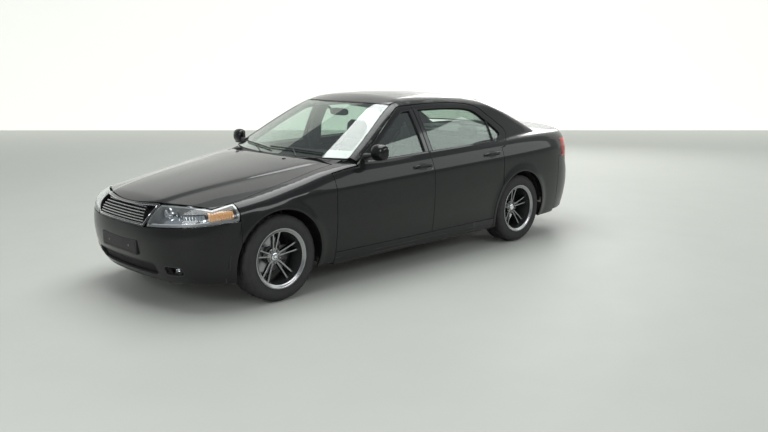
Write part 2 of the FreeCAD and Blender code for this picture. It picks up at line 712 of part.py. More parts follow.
# ---------------------------------------------------------------- rear quarter panels
def ring_solid(rings):
    """Closed solid through rings of points, each ring with the same count, capped at both ends."""
    n = len(rings[0])
    pts = [p for r in rings for p in r]
    tris = []
    for i in range(len(rings) - 1):
        for j in range(n):
            a, b = i * n + j, i * n + (j + 1) % n
            tris += [(a, b, b + n), (a, b + n, a + n)]
    for base, flip in ((0, True), ((len(rings) - 1) * n, False)):
        mid = tuple(sum(pts[base + j][k] for j in range(n)) / n for k in range(3))
        pts.append(mid)
        for j in range(n):
            a, b = base + j, base + (j + 1) % n
            tris.append((len(pts) - 1, b, a) if flip else (len(pts) - 1, a, b))
    return poly_solid(pts, tris)


def flank(x, top, n=10):
    """Column of the body side at x, from the sill up to the point top."""
    return section_column(x, (890, 205), top, n)


GUTTER = 6.0                     # the deck ends this far before the quarter panel's inner edge
grid = [flank(x, (cabin_side(x, 975) + 2, top_z(x, 850)))
        for x in (-905, -960, X_DOOR_REAR - 3, -1100, -1200, -1300, -1400, -1520, -1640, -1720, -1806)]
quarter = skin(f_low, grid, SKIN)
quarter = quarter.cut(wheel_cut(X_REAR_AXLE, ARCH_R))
r = ARCH_R + 34 - GAP
edge = [(X_REAR_AXLE + math.sqrt(r * r - (z - TYRE_R) ** 2), z) for z in (Z_SILL_TOP - GAP, 330, 380, 430, 480, 530, 580, 600)]
edge = [(max(X_DOOR_REAR - GAP / 2, x + 0.0), z) for x, z in edge]
door_zone = ngon_prism([(-500, 500, Z_SILL_TOP - GAP)] + [(x, 500, z) for x, z in edge]
                       + [(X_DOOR_REAR - GAP / 2, 500, 602), (X_DOOR_REAR - GAP / 2, 500, 947), (-1055, 500, 948), (-1136, 500, 997), (-1150, 500, 1011), (-1150, 500, 1200),
                          (-500, 500, 1200)], (0, 700, 0))
quarter = quarter.cut(door_zone)
grid = [flank(x, (LID_Y + GAP, top_z(x, LID_Y)), 10) for x in (-1790, -1870, -1943)]
tail_side = skin(f_low, grid, SKIN)
# strip between bumper and lamp's outer end, then round the corner above the lamp to the lid
grid = [[nose_point(RX, 180 - a, z) for z in (REAR_TOP(a) + GAP, 820, 890, LAMP_TOP + GAP + 7)] for a in (92.4, 88, LAMP_OUT + .6)]
tail_low = skin(f_low, grid, SKIN)
grid = []
for k, (a, b) in enumerate(((91.6, -11), (87, 2), (82, 14), (77, 26), (72, 37), (68, 46), (64, 54), (LAMP_IN, 61.5))):
    lo = nose_point(RX, 180 - a, LAMP_TOP + GAP)
    up = fold_point(b, LID_HALF(b) + GAP + 1)
    c = (-1990 - 10 * k, 380, 800)
    grid.append([radial(f_low, c, lerp(lo, up, j / 5)) for j in range(6)])
tail_corner = skin(f_low, grid, SKIN)
tail_side = fuse([tail_side, tail_corner])
# cabin corner behind the rear door, up to the backlight
door_line = [(-760, z_rail(-760) + 9), (-806, z_rail(-806) + 4), (-915, 1326), (-1022, 1250), (-1133, 1160), (-1204, 1090),
             (-1198, 1046), (-1192, 985)]
back_z = [1400, 1384, 1340, 1275, 1205, 1150, 1125, 1106]
outer = []
for (x, z), zb in zip(door_line, back_z):
    a = on_cabin(x, z)
    b = hit(f_cabin, (-300, back_corner(zb)[1] - (28 if zb > 1390 else 50 if zb > 1380 else 56), zb), (-1, 0, 0), 0, 2600)
    row = []
    for k in range(7):
        p = lerp(a, b, k / 6)
        row.append(radial(f_cabin, (p[0] * .75 - 150, 120, p[2] - 260), p))
    outer.append(row)
sail = skin(f_cabin, outer, 30)
foot = []
for p in outer[-1]:
    foot.append(p)
low_row = [hit(f_cabin, (p[0] * .9, 200, p[2] - 100), tuple(c / 100 for c in (p[0] * .1 - 12 * k, p[1] - 200, 10)), 0, 800)
           for k, p in enumerate(foot)]
sail_foot = skin(f_cabin, [foot, low_row], 30)
quarter = fuse([quarter, tail_side, tail_low, sail, sail_foot])

# ---------------------------------------------------------------- side frames: sill, posts, rail
def upright_post(x0, x1, zs, y_in):
    outer = [[(x, post_y(x, z), z) for x in (x0, (x0 + x1) / 2, x1)] for z in zs]
    return slab(outer, [[(p[0], y_in, p[2]) for p in row] for row in outer])


sill_x = (-902, -600, -200, 200, 600, X_DOOR_FRONT - 3)
outer = [[lateral(f_low, x, z) for x in sill_x] for z in (184, 205, 240, Z_SILL_TOP - GAP)]
sill = slab(outer, [[(p[0], 700, p[2]) for p in row] for row in outer])
parts = [sill, box(-900, X_DOOR_FRONT - 3, 700, 780, 240, 350),
         upright_post(985, 1100, (240, 400, 560, 720, 840, 885), 700),
         upright_post(-150, -20, (240, 400, 560, 720, 860, 930), 700)]
# upper middle post, behind the window frames
outer, inner = [], []
for z in (850, 930, 985, 1030, 1140, 1240, 1330, z_rail(-40) + 12):
    row, under = [], []
    for x in (-95, -42, 12):
        p = on_cabin(x, max(z, 1000))
        n = normal(f_cabin, p)
        if z < 1000:
            row.append((x, 735, z))
            under.append((x, 701, z))
        else:
            row.append(tuple(p[i] - 56 * n[i] for i in range(3)))
            under.append(tuple(p[i] - 88 * n[i] for i in range(3)))
    outer.append(row)
    inner.append(under)
parts.append(slab(outer, inner))
# screen pillar and roof rail, between the door frames and the screen and roof edges
rail_a = [(784, 976), (730, 1003), (566, 1102), (407, 1204), (246, 1304), (125, z_rail(125) + 9), (40, z_rail(40) + 9),
          (-42, z_rail(-42) + 9), (-300, z_rail(-300) + 9), (-600, z_rail(-600) + 9), (-680, z_rail(-680) + 9),
          (-750, z_rail(-750) + 9)]
rail_b = [("s", 1000), ("s", 1034), ("s", 1120), ("s", 1215), ("s", 1310), ("s", 1388), ("r", 60), ("r", -42),
          ("r", -300), ("r", -600), ("r", -830), ("r", -1010)]
outer, inner = [], []
for (x, z), (kind, v) in zip(rail_a, rail_b):
    a = on_cabin(x, z)
    if kind == "s":
        b = hit(f_cabin, (-600, screen_corner(v)[1] - 46, v), (1, 0, 0), 0, 2600)
    else:
        b = upward(f_cabin, v, ROOF_Y(v) + 5, 1100)
    row = []
    for k in range(5):
        p = lerp(a, b, k / 4)
        row.append(radial(f_cabin, (p[0] * .8, 120, p[2] - 300), p))
    outer.append(row)
rail = skin(f_cabin, outer, 34)
rail_foot = box(760, 1100, 701, 735, 850, 886)
brace = ring_solid([[(760, 701, 880), (760, 733, 880), (900, 733, 880), (900, 701, 880)],
                    [(738, 701, 955), (738, 732, 955), (800, 732, 955), (800, 701, 955)],
                    [(725, 728, 996), (725, 760, 996), (780, 760, 984), (780, 728, 984)]])
parts += [rail, rail_foot, brace]
for ax, fixed in ((AX_FRONT, fix_f), (AX_REAR, fix_r)):
    parts += fixed
frame_side = fuse(parts)
print("side frame", len(frame_side.Solids), frame_side.isValid())
node("side_frames", *both(frame_side))


def main_solids(shape, least=2e4):
    """The solids of a cut panel, without crumbs."""
    return [s for s in shape.Solids if s.Volume > least]


quarter = main_solids(quarter.cut(frame_side))
fender = main_solids(fender.cut(frame_side))
print("quarter", len(quarter), "fender", len(fender))
node("rear_quarter_panels", *quarter, *[mirror_y(s) for s in quarter])
node("front_fenders", *fender, *[mirror_y(s) for s in fender])

node("trunk_lid", lid)
print("lid", len(lid.Solids), lid.isValid(), "corner", tail_corner.isValid())

# ---------------------------------------------------------------- floor, firewall, rear bulkhead, front frame
floor = fuse([box(-930, 1085, -700, 700, 180, 200), box(-930, 1085, -110, 110, 200, 320),
              box(-930, -910, -630, 630, 180, 355), box(-2250, -910, -600, 600, 335, 355),
              box(-2270, -2250, -600, 600, 335, 700), box(-2318, -2250, -560, 560, 690, 702),
              cyl(330, 145, (-1900, 0, 195), (0, 0, 1))])
floor = floor.cut([box(-940, 1100, -85, 85, 170, 300), cyl(320, 150, (-1900, 0, 205), (0, 0, 1))])
for y in (-655, 655):
    for x in (-780, 860):
        floor = floor.fuse(box(x - 60, x + 60, y - 30, y + 30, 168, 180))
floor = floor.removeSplitter()
node("floor_pan", floor)

fire = fuse([box(1085, 1100, -700, 700, 180, 905), box(1100, 1104, -400, 400, 300, 800)])
fire = fire.cut([box(1000, 1200, -85, 85, 170, 320)])
cowl = []
for k in range(9):
    y = -690 + 1380 * k / 8
    xs = 1000 - 3.3e-4 * y * y
    xf = 1085 + 15
    zt = 930 - 18 * (abs(y) / 690) ** 2
    cowl.append([(xs, y, zt - 12), (xf, y, zt - 34), (xf, y, zt - 44), (xs, y, zt - 26)])
fire = fuse([fire, ring_solid(cowl)] + hood_ears)
print("firewall", len(fire.Solids), fire.isValid())
node("firewall", *fire.Solids)

ring = [[(-935, y, 357), (-1150, y, 1008), (-1150, y, 1028), (-1790, y, 1040), (-1790, y, 1025), (-1172, y, 1008),
         (-960, y, 357)] for y in (-630, 630)]
bulk = ring_solid(ring)
shelf_side = [box(-1600, -1172, a, b, 1000, 1015) for a, b in ((-720, -600), (600, 720))]
deck = []
for c in range(-6, 7):
    s = c / 6
    row = []
    for k in range(4):
        y = 745 * s
        x0 = hit(f_cabin, (-300, min(abs(y), 640), 1106), (-1, 0, 0), 0, 2600)[0] + 12
        x = x0 + (LID_X + 12 - x0) * k / 3
        row.append(upward(f_low, x, y, 500))
    deck.append(row)
deck = skin(f_low, deck, 16)
lid_ears = []
for y in (-110, 110):
    y0 = y - 8 if y > 0 else y - 6
    lid_ears += [cyl(5, 14, (LID_AX, y0, LID_AZ), (0, 1, 0)), box(LID_AX, -1795, y0, y0 + 14, 1081, 1089),
                 cyl(2.5, 40, (LID_AX, y0 if y > 0 else y0 - 26, LID_AZ), (0, 1, 0))]
bulk = fuse([bulk, deck] + shelf_side + lid_ears + [box(-1790, -1778, -300, 300, 1030, 1085)])
bulk = main_solids(bulk.cut(quarter + [mirror_y(s) for s in quarter]))
print("bulkhead", len(bulk))
node("rear_bulkhead", *bulk)

STEER_A, STEER_B = (X_FRONT_AXLE, 560.0, 820.0), (X_FRONT_AXLE, 674.0, 200.0)


def steer_at(z):
    k = (z - STEER_B[2]) / (STEER_A[2] - STEER_B[2])
    return lerp(STEER_B, STEER_A, k)


parts = [box(2200, 2240, -560, 560, 420, 540), box(2098, 2140, -610, 610, 680, 708), box(2098, 2140, -610, 610, 400, 430),
         box(2098, 2140, -610, -575, 400, 708), box(2098, 2140, 575, 610, 400, 708)]
for k in (-1, 1):
    def yb(a, b):
        return (a, b) if k > 0 else (-b, -a)
    for x0, x1, ya, y1, z0, z1 in ((1104, 2200, 380, 440, 400, 500), (1104, 1500, 425, 440, 500, 830), (1500, 2098, 425, 440, 500, 720), (1500, 1690, 425, 440, 700, 811),
                                   (X_FRONT_AXLE - 90, X_FRONT_AXLE + 90, 425, 660, 785, 811)):
        ya, y1 = yb(ya, y1)
        parts.append(box(x0, x1, ya, y1, z0, z1))
    # upper rail, falling towards the lamps, and its ties to the apron
    yo = [(y * k) for y in (660, 712)]
    parts.append(ring_solid([[(x, y, z) for y, z in ((yo[0], z0), (yo[1], z0), (yo[1], z0 + 26), (yo[0], z0 + 26))]
                             for x, z0 in ((1104, 830), (1500, 785), (1900, 700))]))
    y0, y1 = yb(430, 665)
    parts.append(box(1104, 1150, y0, y1, 806, 830))
    parts.append(box(1840, 1880, y0, y1, 702, 722))
front = fuse(parts)
for put in (1, -1):
    a = V(STEER_B[0], STEER_B[1] * put, STEER_B[2])
    b = V(STEER_A[0], STEER_A[1] * put, STEER_A[2])
    front = front.cut(Part.makeCylinder(12.05, 900, a, b - a))
print("front frame", len(front.Solids))
node("front_frame", front)


def liner(xa, r, y_in, y_out, a0, a1, plate):
    """Arched wheelhouse lining; plate closes its inner side."""
    n = 24
    outer = [[(xa + r * math.cos(a), y, TYRE_R + r * math.sin(a)) for y in (y_in, y_out)]
             for a in [math.radians(a0 + (a1 - a0) * k / n) for k in range(n + 1)]]
    inner = [[(xa + (r + 4) * math.cos(a), y, TYRE_R + (r + 4) * math.sin(a)) for y in (y_in, y_out)]
             for a in [math.radians(a0 + (a1 - a0) * k / n) for k in range(n + 1)]]
    s = slab(outer, inner)
    if plate:
        p = cyl(r + 4, 4, (xa, y_in - 4, TYRE_R), (0, 1, 0)).cut(box(xa - 500, xa + 500, 0, 900, -200, 357))
        s = fuse([s, p])
    return s


lf = liner(X_FRONT_AXLE, 424, 441, 850, -2, 190, False).cut(bumper)
lf = lf.cut(tube(steer_at(600), steer_at(900), 62))
lr = liner(X_REAR_AXLE, 384, 640, 855, 6, 176, True)
node("wheel_liners", lf, mirror_y(lf).cut(bumper), *both(lr))

# ---------------------------------------------------------------- engine, gearbox, radiator, exhaust, tank, suspension
node("engine_block", box(1240, 1850, -250, 250, 300, 780))
node("radiator", box(2099, 2139, -378, 378, 431, 679), box(2150, 2162, -300, 300, 440, 670))
node("gearbox", fuse([box(760, 1240, -78, 78, 190, 292), box(1130, 1240, -150, 150, 300, 500),
                      box(1130, 1240, -78, 78, 292, 300)]))
pipe = [(1230, 150, 250), (1100, 150, 146), (-950, 150, 146), (-1120, 240, 160), (-1480, 400, 160), (-1860, 490, 190)]
parts = []
for a, b in zip(pipe, pipe[1:]):
    parts += [tube(a, b, 25), Part.makeSphere(25, V(*b))]
parts += [box(-2230, -1840, 370, 590, 185, 320), cyl(90, 360, (350, 150, 146), (1, 0, 0)).common(box(0, 800, 0, 400, 112, 178)),
          tube((-2200, 490, 225), (-2385, 490, 225), 30)]
exhaust = fuse(parts).cut(tube((-2290, 490, 225), (-2400, 490, 225), 26))
node("exhaust", exhaust)
node("fuel_tank", box(-1190, -945, -480, 90, 200, 330))

sub = [box(1450, 1720, -300, 300, 215, 285), box(1420, 1455, -330, 330, 235, 285)]
for k in (-1, 1):
    y0, y1 = (290, 700) if k > 0 else (-700, -290)
    sub.append(box(X_FRONT_AXLE - 20, X_FRONT_AXLE + 20, y0, y1, 150, 178))
    y0, y1 = (240, 330) if k > 0 else (-330, -240)
    sub.append(box(X_FRONT_AXLE - 30, X_FRONT_AXLE + 30, y0, y1, 150, 230))
    sub.append(tube((1437, 320 * k, 262), (1445, 530 * k, 262), 9))
sub = fuse(sub)
for put in (1, -1):
    a = V(STEER_B[0], STEER_B[1] * put, STEER_B[2])
    b = V(STEER_A[0], STEER_A[1] * put, STEER_A[2])
    sub = sub.cut(Part.makeCylinder(8.05, 140, a - (b - a) * .14, b - a))
node("front_suspension", sub)

rear = [box(X_REAR_AXLE - 45, X_REAR_AXLE + 45, -560, 560, 230, 300)]
for k in (-1, 1):
    y0, y1 = (540, 655) if k > 0 else (-655, -540)
    rear += [box(X_REAR_AXLE - 50, X_REAR_AXLE + 50, y0, y1, 255, 330), box(X_REAR_AXLE - 30, X_REAR_AXLE + 24, 606 if k > 0 else -652, 652 if k > 0 else -606, 300, 354), cyl(20, 155, (X_REAR_AXLE, 650 * k, TYRE_R), (0, k, 0)),
             cyl(48, 35, (X_REAR_AXLE, 500 * k, 300), (0, 0, 1))]
    y0, y1 = (655, 672) if k > 0 else (-672, -655)
    rear += [box(X_REAR_AXLE + 30, X_REAR_AXLE + 100, y0, y1, 290, 370), box(X_REAR_AXLE + 92, X_REAR_AXLE + 165, y0, y1, 270, 386)]
    y0, y1 = (672, 728) if k > 0 else (-728, -672)
    rear.append(box(X_REAR_AXLE + 92, X_REAR_AXLE + 165, y0, y1, 270, 386).cut(
        cyl(147, 34, (X_REAR_AXLE, 683 if k > 0 else -717, TYRE_R), (0, 1, 0))))
rear = fuse(rear)
print("rear susp", len(rear.Solids))
node("rear_suspension", rear)

# ---------------------------------------------------------------- steering knuckles
a, b = STEER_B, STEER_A
knuckle = [box(X_FRONT_AXLE - 45, X_FRONT_AXLE + 45, 636, 672, 240, 420), cyl(20, 148, (X_FRONT_AXLE, 660, TYRE_R), (0, 1, 0)),
           box(X_FRONT_AXLE - 30, X_FRONT_AXLE + 30, 632, 672, 206, 300), tube(steer_at(146), steer_at(250), 8),
           tube(steer_at(380), steer_at(765), 22),
           tube(steer_at(680), steer_at(765), 48), tube(steer_at(755), steer_at(838), 12),
           box(X_FRONT_AXLE - 150, X_FRONT_AXLE - 30, 622, 642, 246, 272),
           box(X_FRONT_AXLE - 165, X_FRONT_AXLE - 30, 655, 672, 290, 370)]
knuckle.append(box(X_FRONT_AXLE - 165, X_FRONT_AXLE - 92, 672, 728, 270, 386).cut(
    cyl(147, 34, (X_FRONT_AXLE, 683, TYRE_R), (0, 1, 0))))
knuckle = fuse(knuckle)
print("knuckle", len(knuckle.Solids))
node("front_knuckle_left", knuckle)
node("front_knuckle_right", mirror_y(knuckle))

# ---------------------------------------------------------------- wheels and tyres
HALF = TYRE_W / 2
# tyre section: (radius, offset from its middle plane), outside then inside
TYRE = [(RIM_R, -100), (236, -106), (262, -HALF), (290, -HALF + 1), (312, -105), (324, -90), (TYRE_R, -60), (TYRE_R, 60),
        (324, 90), (312, 105), (290, HALF - 1), (262, HALF), (236, 106), (RIM_R, 100), (RIM_R, 84), (240, 92), (285, 97),
        (308, 84), (313, 60), (313, -60), (308, -84), (285, -97), (240, -92), (RIM_R, -84)]
# rim section
RIM = [(RIM_R, -99), (228, -102), (228, -106), (210, -106), (203, -80), (196, -60), (196, 60), (203, 88), (212, 108),
       (228, 108), (228, 103), (RIM_R, 100), (RIM_R, 84), (206, 60), (206, -60), (RIM_R, -84)]
SPOKES = 5


def wheel(xa):
    parts = [revolve_y(RIM, xa, WHEEL_Y, TYRE_R), cyl(66, 52, (xa, 748, TYRE_R), (0, 1, 0)),
             cyl(140, 22, (xa, 689, TYRE_R), (0, 1, 0)), cyl(62, 40, (xa, 711, TYRE_R), (0, 1, 0))]
    for k in range(SPOKES):
        for dy in (-17, 17):
            a = math.radians(90 + 360 * k / SPOKES)
            lean = math.radians(7) * (1 if dy > 0 else -1)
            c, s = math.cos(a), math.sin(a)
            r0, r1 = 52, 205
            w = 8.5

            def at(r, o):
                return (xa + r * c - o * s, TYRE_R + r * s + o * c)
            o0, o1 = dy * .72, dy * 1.9
            sec = []
            for r, o, ya, yb_ in ((r0, o0, 772, 800), (r1, o1, 806, 836)):
                p, q = at(r, o - w), at(r, o + w)
                sec.append([(p[0], ya, p[1]), (q[0], ya, q[1]), (q[0], yb_, q[1]), (p[0], yb_, p[1])])
            parts.append(ring_solid(sec))
    w = fuse(parts)
    return w.cut(cyl(20.05, 160, (xa, 650, TYRE_R), (0, 1, 0)))


for name, xa in (("front", X_FRONT_AXLE), ("rear", X_REAR_AXLE)):
    w = wheel(xa)
    t = revolve_y(TYRE, xa, WHEEL_Y, TYRE_R).cut(w)
    print(name, "wheel", len(w.Solids), w.isValid(), len(t.Solids))
    for side, put in (("left", lambda q: q), ("right", mirror_y)):
        node("wheel_%s_%s" % (name, side), put(w))
        node("tyre_%s_%s" % (name, side), put(t))

# ---------------------------------------------------------------- cabin
SEAT_Y = 372.0
DASH = [(640, 640), (628, 760), (640, 855), (690, 893), (850, 905), (925, 868), (940, 640), (860, 560), (720, 560)]
rings = []
for k in range(13):
    y = -685 + 1370 * k / 12
    dx = -2.5e-4 * y * y
    rings.append([(x + dx, y, z - (12 * (abs(y) / 685) ** 2 if z > 850 else 0)) for x, z in DASH])
dash = ring_solid(rings)
WHEEL_C = (468.0, SEAT_Y, 872.0)
COL = (math.cos(math.radians(24)), 0.0, -math.sin(math.radians(24)))


def col_at(d):
    return tuple(WHEEL_C[i] + COL[i] * d for i in range(3))


dash = dash.fuse(ring_solid([[(x, y, z) for x, z in ((600, 860), (700, 912), (760, 897), (700, 760), (600, 790))]
                             for y in (SEAT_Y - 60, SEAT_Y + 60)]))
dash = dash.removeSplitter().cut(tube(col_at(120), col_at(330), 15.05))
node("dashboard", dash)
node("center_console", box(-330, 640, -100, 100, 321, 470))

ring = Part.makeTorus(176, 15, V(*WHEEL_C), V(*COL))
parts = [ring, tube(col_at(5), col_at(60), 52), tube(col_at(40), col_at(300), 15)]
for ang in (20, 160, 270):
    u = (math.sin(math.radians(24)), 0, math.cos(math.radians(24)))
    c, s = math.cos(math.radians(ang)), math.sin(math.radians(ang))
    q = tuple(WHEEL_C[i] + 174 * ((0, c, 0)[i] + s * u[i]) + 2 * COL[i] for i in range(3))
    parts.append(tube(col_at(28), q, 11))
wheel_s = fuse(parts)
print("steering wheel", len(wheel_s.Solids))
node("steering_wheel", wheel_s)


def superring(c, hy, hx, u, n=20, e=3.0):
    """Rounded rectangle about c: half width hy along Y, half depth hx along the direction u."""
    out = []
    for k in range(n):
        a = 2 * math.pi * k / n
        ca, sa = math.cos(a), math.sin(a)
        py = hy * math.copysign(abs(ca) ** (2 / e), ca)
        px = hx * math.copysign(abs(sa) ** (2 / e), sa)
        out.append((c[0] + u[0] * px, c[1] + py, c[2] + u[2] * px))
    return out


def padded(path, half_y, depth, n=24):
    """Cushion along path of (x, z, share of width, share of depth)."""
    rings = []
    for i, (x, z, wy, wd) in enumerate(path):
        a = path[max(0, i - 1)]
        b = path[min(len(path) - 1, i + 1)]
        tx, tz = b[0] - a[0], b[1] - a[1]
        l = math.hypot(tx, tz)
        rings.append(superring((x, 0, z), half_y * wy, depth / 2 * wd, (-tz / l, 0, tx / l), n))
    return ring_solid(rings)


def seat(y):
    cushion = padded([(368, 416, .86, .55), (340, 420, .97, .9), (200, 416, 1, 1), (0, 400, 1, 1), (-130, 392, .98, .95),
                      (-190, 392, .9, .7)], 258, 150)
    back = padded([(-128, 400, .88, .7), (-160, 470, .98, 1), (-205, 620, 1, 1), (-250, 780, .97, .92), (-292, 920, .86, .75),
                   (-305, 965, .7, .5)], 262, 150)
    head = padded([(-296, 1010, .8, .6), (-302, 1040, 1, 1), (-318, 1130, 1, 1), (-324, 1160, .8, .6)], 128, 100)
    rods = [cyl(6, 80, (-300, k, 950), (0, 0, 1)) for k in (-50, 50)]
    base = [box(-150, 300, k - 18, k + 18, 201, 380) for k in (-200, 200)]
    s = fuse([cushion, back, head] + rods + base)
    s.translate(V(0, y, 0))
    return s


seats = [seat(SEAT_Y), seat(-SEAT_Y)]
print("seat solids", [len(s.Solids) for s in seats])
node("front_seats", *seats)
cushion = padded([(-440, 430, .9, .6), (-470, 434, .99, .95), (-600, 430, 1, 1), (-800, 415, 1, 1), (-880, 412, .97, .8)],
                 640, 140)
back = padded([(-868, 420, .95, .7), (-900, 500, .98, 1), (-975, 700, .98, 1), (-1050, 900, .98, .9), (-1085, 985, .94, .5)],
              632, 120)
base = box(-860, -500, -560, 560, 201, 400).cut(box(-900, -400, -112, 112, 190, 322))
rear_seat = fuse([cushion, back, base])
heads = []
for y in (-390, 390):
    h = padded([(-1078, 1000, .8, .6), (-1082, 1020, 1, 1), (-1096, 1080, 1, 1), (-1100, 1098, .8, .6)], 120, 80)
    h.translate(V(0, y, 0))
    heads += [h, cyl(6, 60, (-1080, y - 40, 960), (0, 0, 1)), cyl(6, 60, (-1080, y + 40, 960), (0, 0, 1))]
rear_seat = fuse([rear_seat] + heads)
print("rear seat", len(rear_seat.Solids))
node("rear_seat", *rear_seat.Solids)

# ---------------------------------------------------------------- mirrors and wipers
MIRROR_Y = 1000.0
rings = []
for y, sx, sz, dx in ((905, .5, .55, 14), (918, .8, .85, 6), (950, 1, 1, 0), (MIRROR_Y, .97, .97, -2), (MIRROR_Y + 28, .82, .82, -8),
                      (MIRROR_Y + 40, .5, .5, -14)):
    ring = []
    for k in range(20):
        a = 2 * math.pi * k / 20
        ca, sa = math.cos(a), math.sin(a)
        px = (58 if ca > 0 else 22) * sx * math.copysign(abs(ca) ** .75, ca)
        pz = 66 * sz * math.copysign(abs(sa) ** .7, sa)
        ring.append((660 + dx + px, y, 1046 + pz))
    rings.append(ring)
mirror = ring_solid(rings)
arm = ring_solid([[(640, 822, 985), (720, 822, 985), (720, 822, 1012), (640, 822, 1030)],
                  [(646, 925, 1005), (700, 925, 1005), (700, 925, 1030), (646, 925, 1040)]])
mirror = fuse([mirror, arm]).cut(door_f).cut(pane_f)
mirror = max(mirror.Solids, key=lambda s: s.Volume)
node("mirror_left", mirror)
node("mirror_right", mirror_y(mirror))


def screen_point(y, z, lift):
    p = hit(f_cabin, (-600, y, z), (1, 0, 0), 0, 2600)
    n = normal(f_cabin, p)
    return tuple(p[i] + lift * n[i] for i in range(3))


wipers = []
for y0, y1 in ((560, -60), (-30, -620)):
    foot = screen_point(y0, 1000, 12)
    tip = screen_point(y1, 1012, 12)
    mid = screen_point((y0 + y1) / 2, 1014, 12)
    wipers.append(fuse([tube(foot, mid, 5), tube(mid, tip, 4)]))
print("wipers", [len(w.Solids) for w in wipers])
node("wipers", *wipers)
print(len(NODES), "nodes")
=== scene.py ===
import math

import bmesh
import bpy
import numpy as np
from mathutils import Matrix, Vector
from mathutils.geometry import delaunay_2d_cdt


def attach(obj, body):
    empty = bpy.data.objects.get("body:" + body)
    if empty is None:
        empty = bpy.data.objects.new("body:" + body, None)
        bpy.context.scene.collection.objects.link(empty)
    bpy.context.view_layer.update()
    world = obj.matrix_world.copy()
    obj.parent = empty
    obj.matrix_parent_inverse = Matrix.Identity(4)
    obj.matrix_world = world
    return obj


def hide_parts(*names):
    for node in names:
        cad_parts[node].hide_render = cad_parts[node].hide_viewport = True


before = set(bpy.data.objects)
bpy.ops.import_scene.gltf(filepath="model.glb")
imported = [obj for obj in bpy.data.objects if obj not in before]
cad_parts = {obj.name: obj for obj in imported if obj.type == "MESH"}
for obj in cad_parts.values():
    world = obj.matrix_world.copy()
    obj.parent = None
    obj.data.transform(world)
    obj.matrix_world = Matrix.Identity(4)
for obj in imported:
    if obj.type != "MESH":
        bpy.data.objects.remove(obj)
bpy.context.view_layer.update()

# ================================================================ body surface, in mm
TYRE_R, X_FRONT, X_REAR, ARCH_R = 328.0, 1588.0, -1300.0, 372.0
WHEEL_Y = 777.0


class Tab:
    """Monotone cubic through (position, value) pairs, straight beyond the ends."""

    def __init__(self, *pairs):
        self.x = np.array([p[0] for p in pairs], float)
        self.y = np.array([p[1] for p in pairs], float)
        self.h = np.diff(self.x)
        d = np.diff(self.y) / self.h
        m = np.zeros(len(pairs))
        m[0], m[-1] = d[0], d[-1]
        for i in range(1, len(pairs) - 1):
            if d[i - 1] * d[i] > 0:
                a, b = 2 * self.h[i] + self.h[i - 1], self.h[i] + 2 * self.h[i - 1]
                m[i] = (a + b) / (a / d[i - 1] + b / d[i])
        self.m = m

    def __call__(self, x):
        x = np.asarray(x, float)
        i = np.clip(np.searchsorted(self.x, x) - 1, 0, len(self.h) - 1)
        h = self.h[i]
        t = (x - self.x[i]) / h
        t2, t3 = t * t, t * t * t
        v = (self.y[i] * (2 * t3 - 3 * t2 + 1) + self.m[i] * h * (t3 - 2 * t2 + t)
             + self.y[i + 1] * (3 * t2 - 2 * t3) + self.m[i + 1] * h * (t3 - t2))
        v = np.where(x < self.x[0], self.y[0] + self.m[0] * (x - self.x[0]), v)
        return np.where(x > self.x[-1], self.y[-1] + self.m[-1] * (x - self.x[-1]), v)


TOP_MID = Tab((-2450, 1066), (-2330, 1082), (-2100, 1096), (-1800, 1100), (-1400, 1092), (-800, 1070), (0, 1040),
              (600, 1012), (1080, 982), (1400, 940), (1700, 895), (2000, 842), (2200, 796), (2330, 755), (2450, 705))
TOP_DROP = Tab((-2450, 110), (-2330, 100), (-1900, 88), (-1400, 85), (-1000, 88), (-500, 79), (0, 71), (500, 61),
               (800, 52), (1080, 72), (1400, 97), (1700, 112), (2000, 118), (2300, 105), (2450, 100))
NOSE_X = Tab((150, 2250), (190, 2310), (250, 2362), (330, 2396), (430, 2415), (500, 2420), (600, 2412), (680, 2390),
             (740, 2352), (800, 2290), (900, 2150), (1000, 1950))
TAIL_X = Tab((150, 2280), (200, 2330), (280, 2382), (400, 2410), (500, 2420), (600, 2415), (660, 2402), (720, 2386),
             (850, 2376), (980, 2362), (1080, 2345), (1150, 2330))
SIDE_W = Tab((-0.1, 815), (0, 845), (0.06, 868), (0.15, 886), (0.3, 903), (0.5, 916), (0.7, 922), (0.9, 921),
             (1.0, 919), (1.4, 914))
TAPER = Tab((-2420, .975), (-1300, .995), (-300, 1.0), (500, .998), (1588, .984), (2420, .955))
CREASE_Z = Tab((-2420, 915), (-1300, 868), (0, 828), (1000, 795), (1600, 770), (2100, 740), (2420, 720))
UNDER_Z = Tab((-2420, 225), (-1800, 190), (-900, 170), (1000, 165), (1900, 175), (2420, 190))
CABIN_PLAN = Tab((-2000, .86), (-1500, .94), (-1000, .98), (-300, 1.0), (400, .995), (1100, .955))
ROOF_MID = Tab((-1500, 1372), (-1100, 1418), (-800, 1449), (-400, 1466), (-250, 1468), (0, 1461), (200, 1440),
               (400, 1405), (700, 1330))
SCREEN_X = Tab((900, 1195), (1000, 1020), (1200, 650), (1400, 262), (1500, 60))
BACKLIGHT_X = Tab((1000, -1995), (1095, -1790), (1250, -1462), (1400, -1130), (1500, -900))
NOSE_N, NOSE_M, TAIL_N, TAIL_M = 11.8, 2.6, 14.0, 3.2
EDGE_K, RAIL_K, PILLAR_K, FOOT_K, COWL_K = 70.0, 90.0, 50.0, 25.0, 12.0


def smax(a, b, k):
    h = np.maximum(k - np.abs(a - b), 0.0) / k
    return np.maximum(a, b) + h * h * k / 4


def flare(x, z):
    out = 0.0
    for xa in (X_FRONT, X_REAR):
        r = np.hypot(x - xa, z - TYRE_R)
        out = out + 9.0 * np.exp(-((r - ARCH_R - 8) / 42.0) ** 2)
    return out


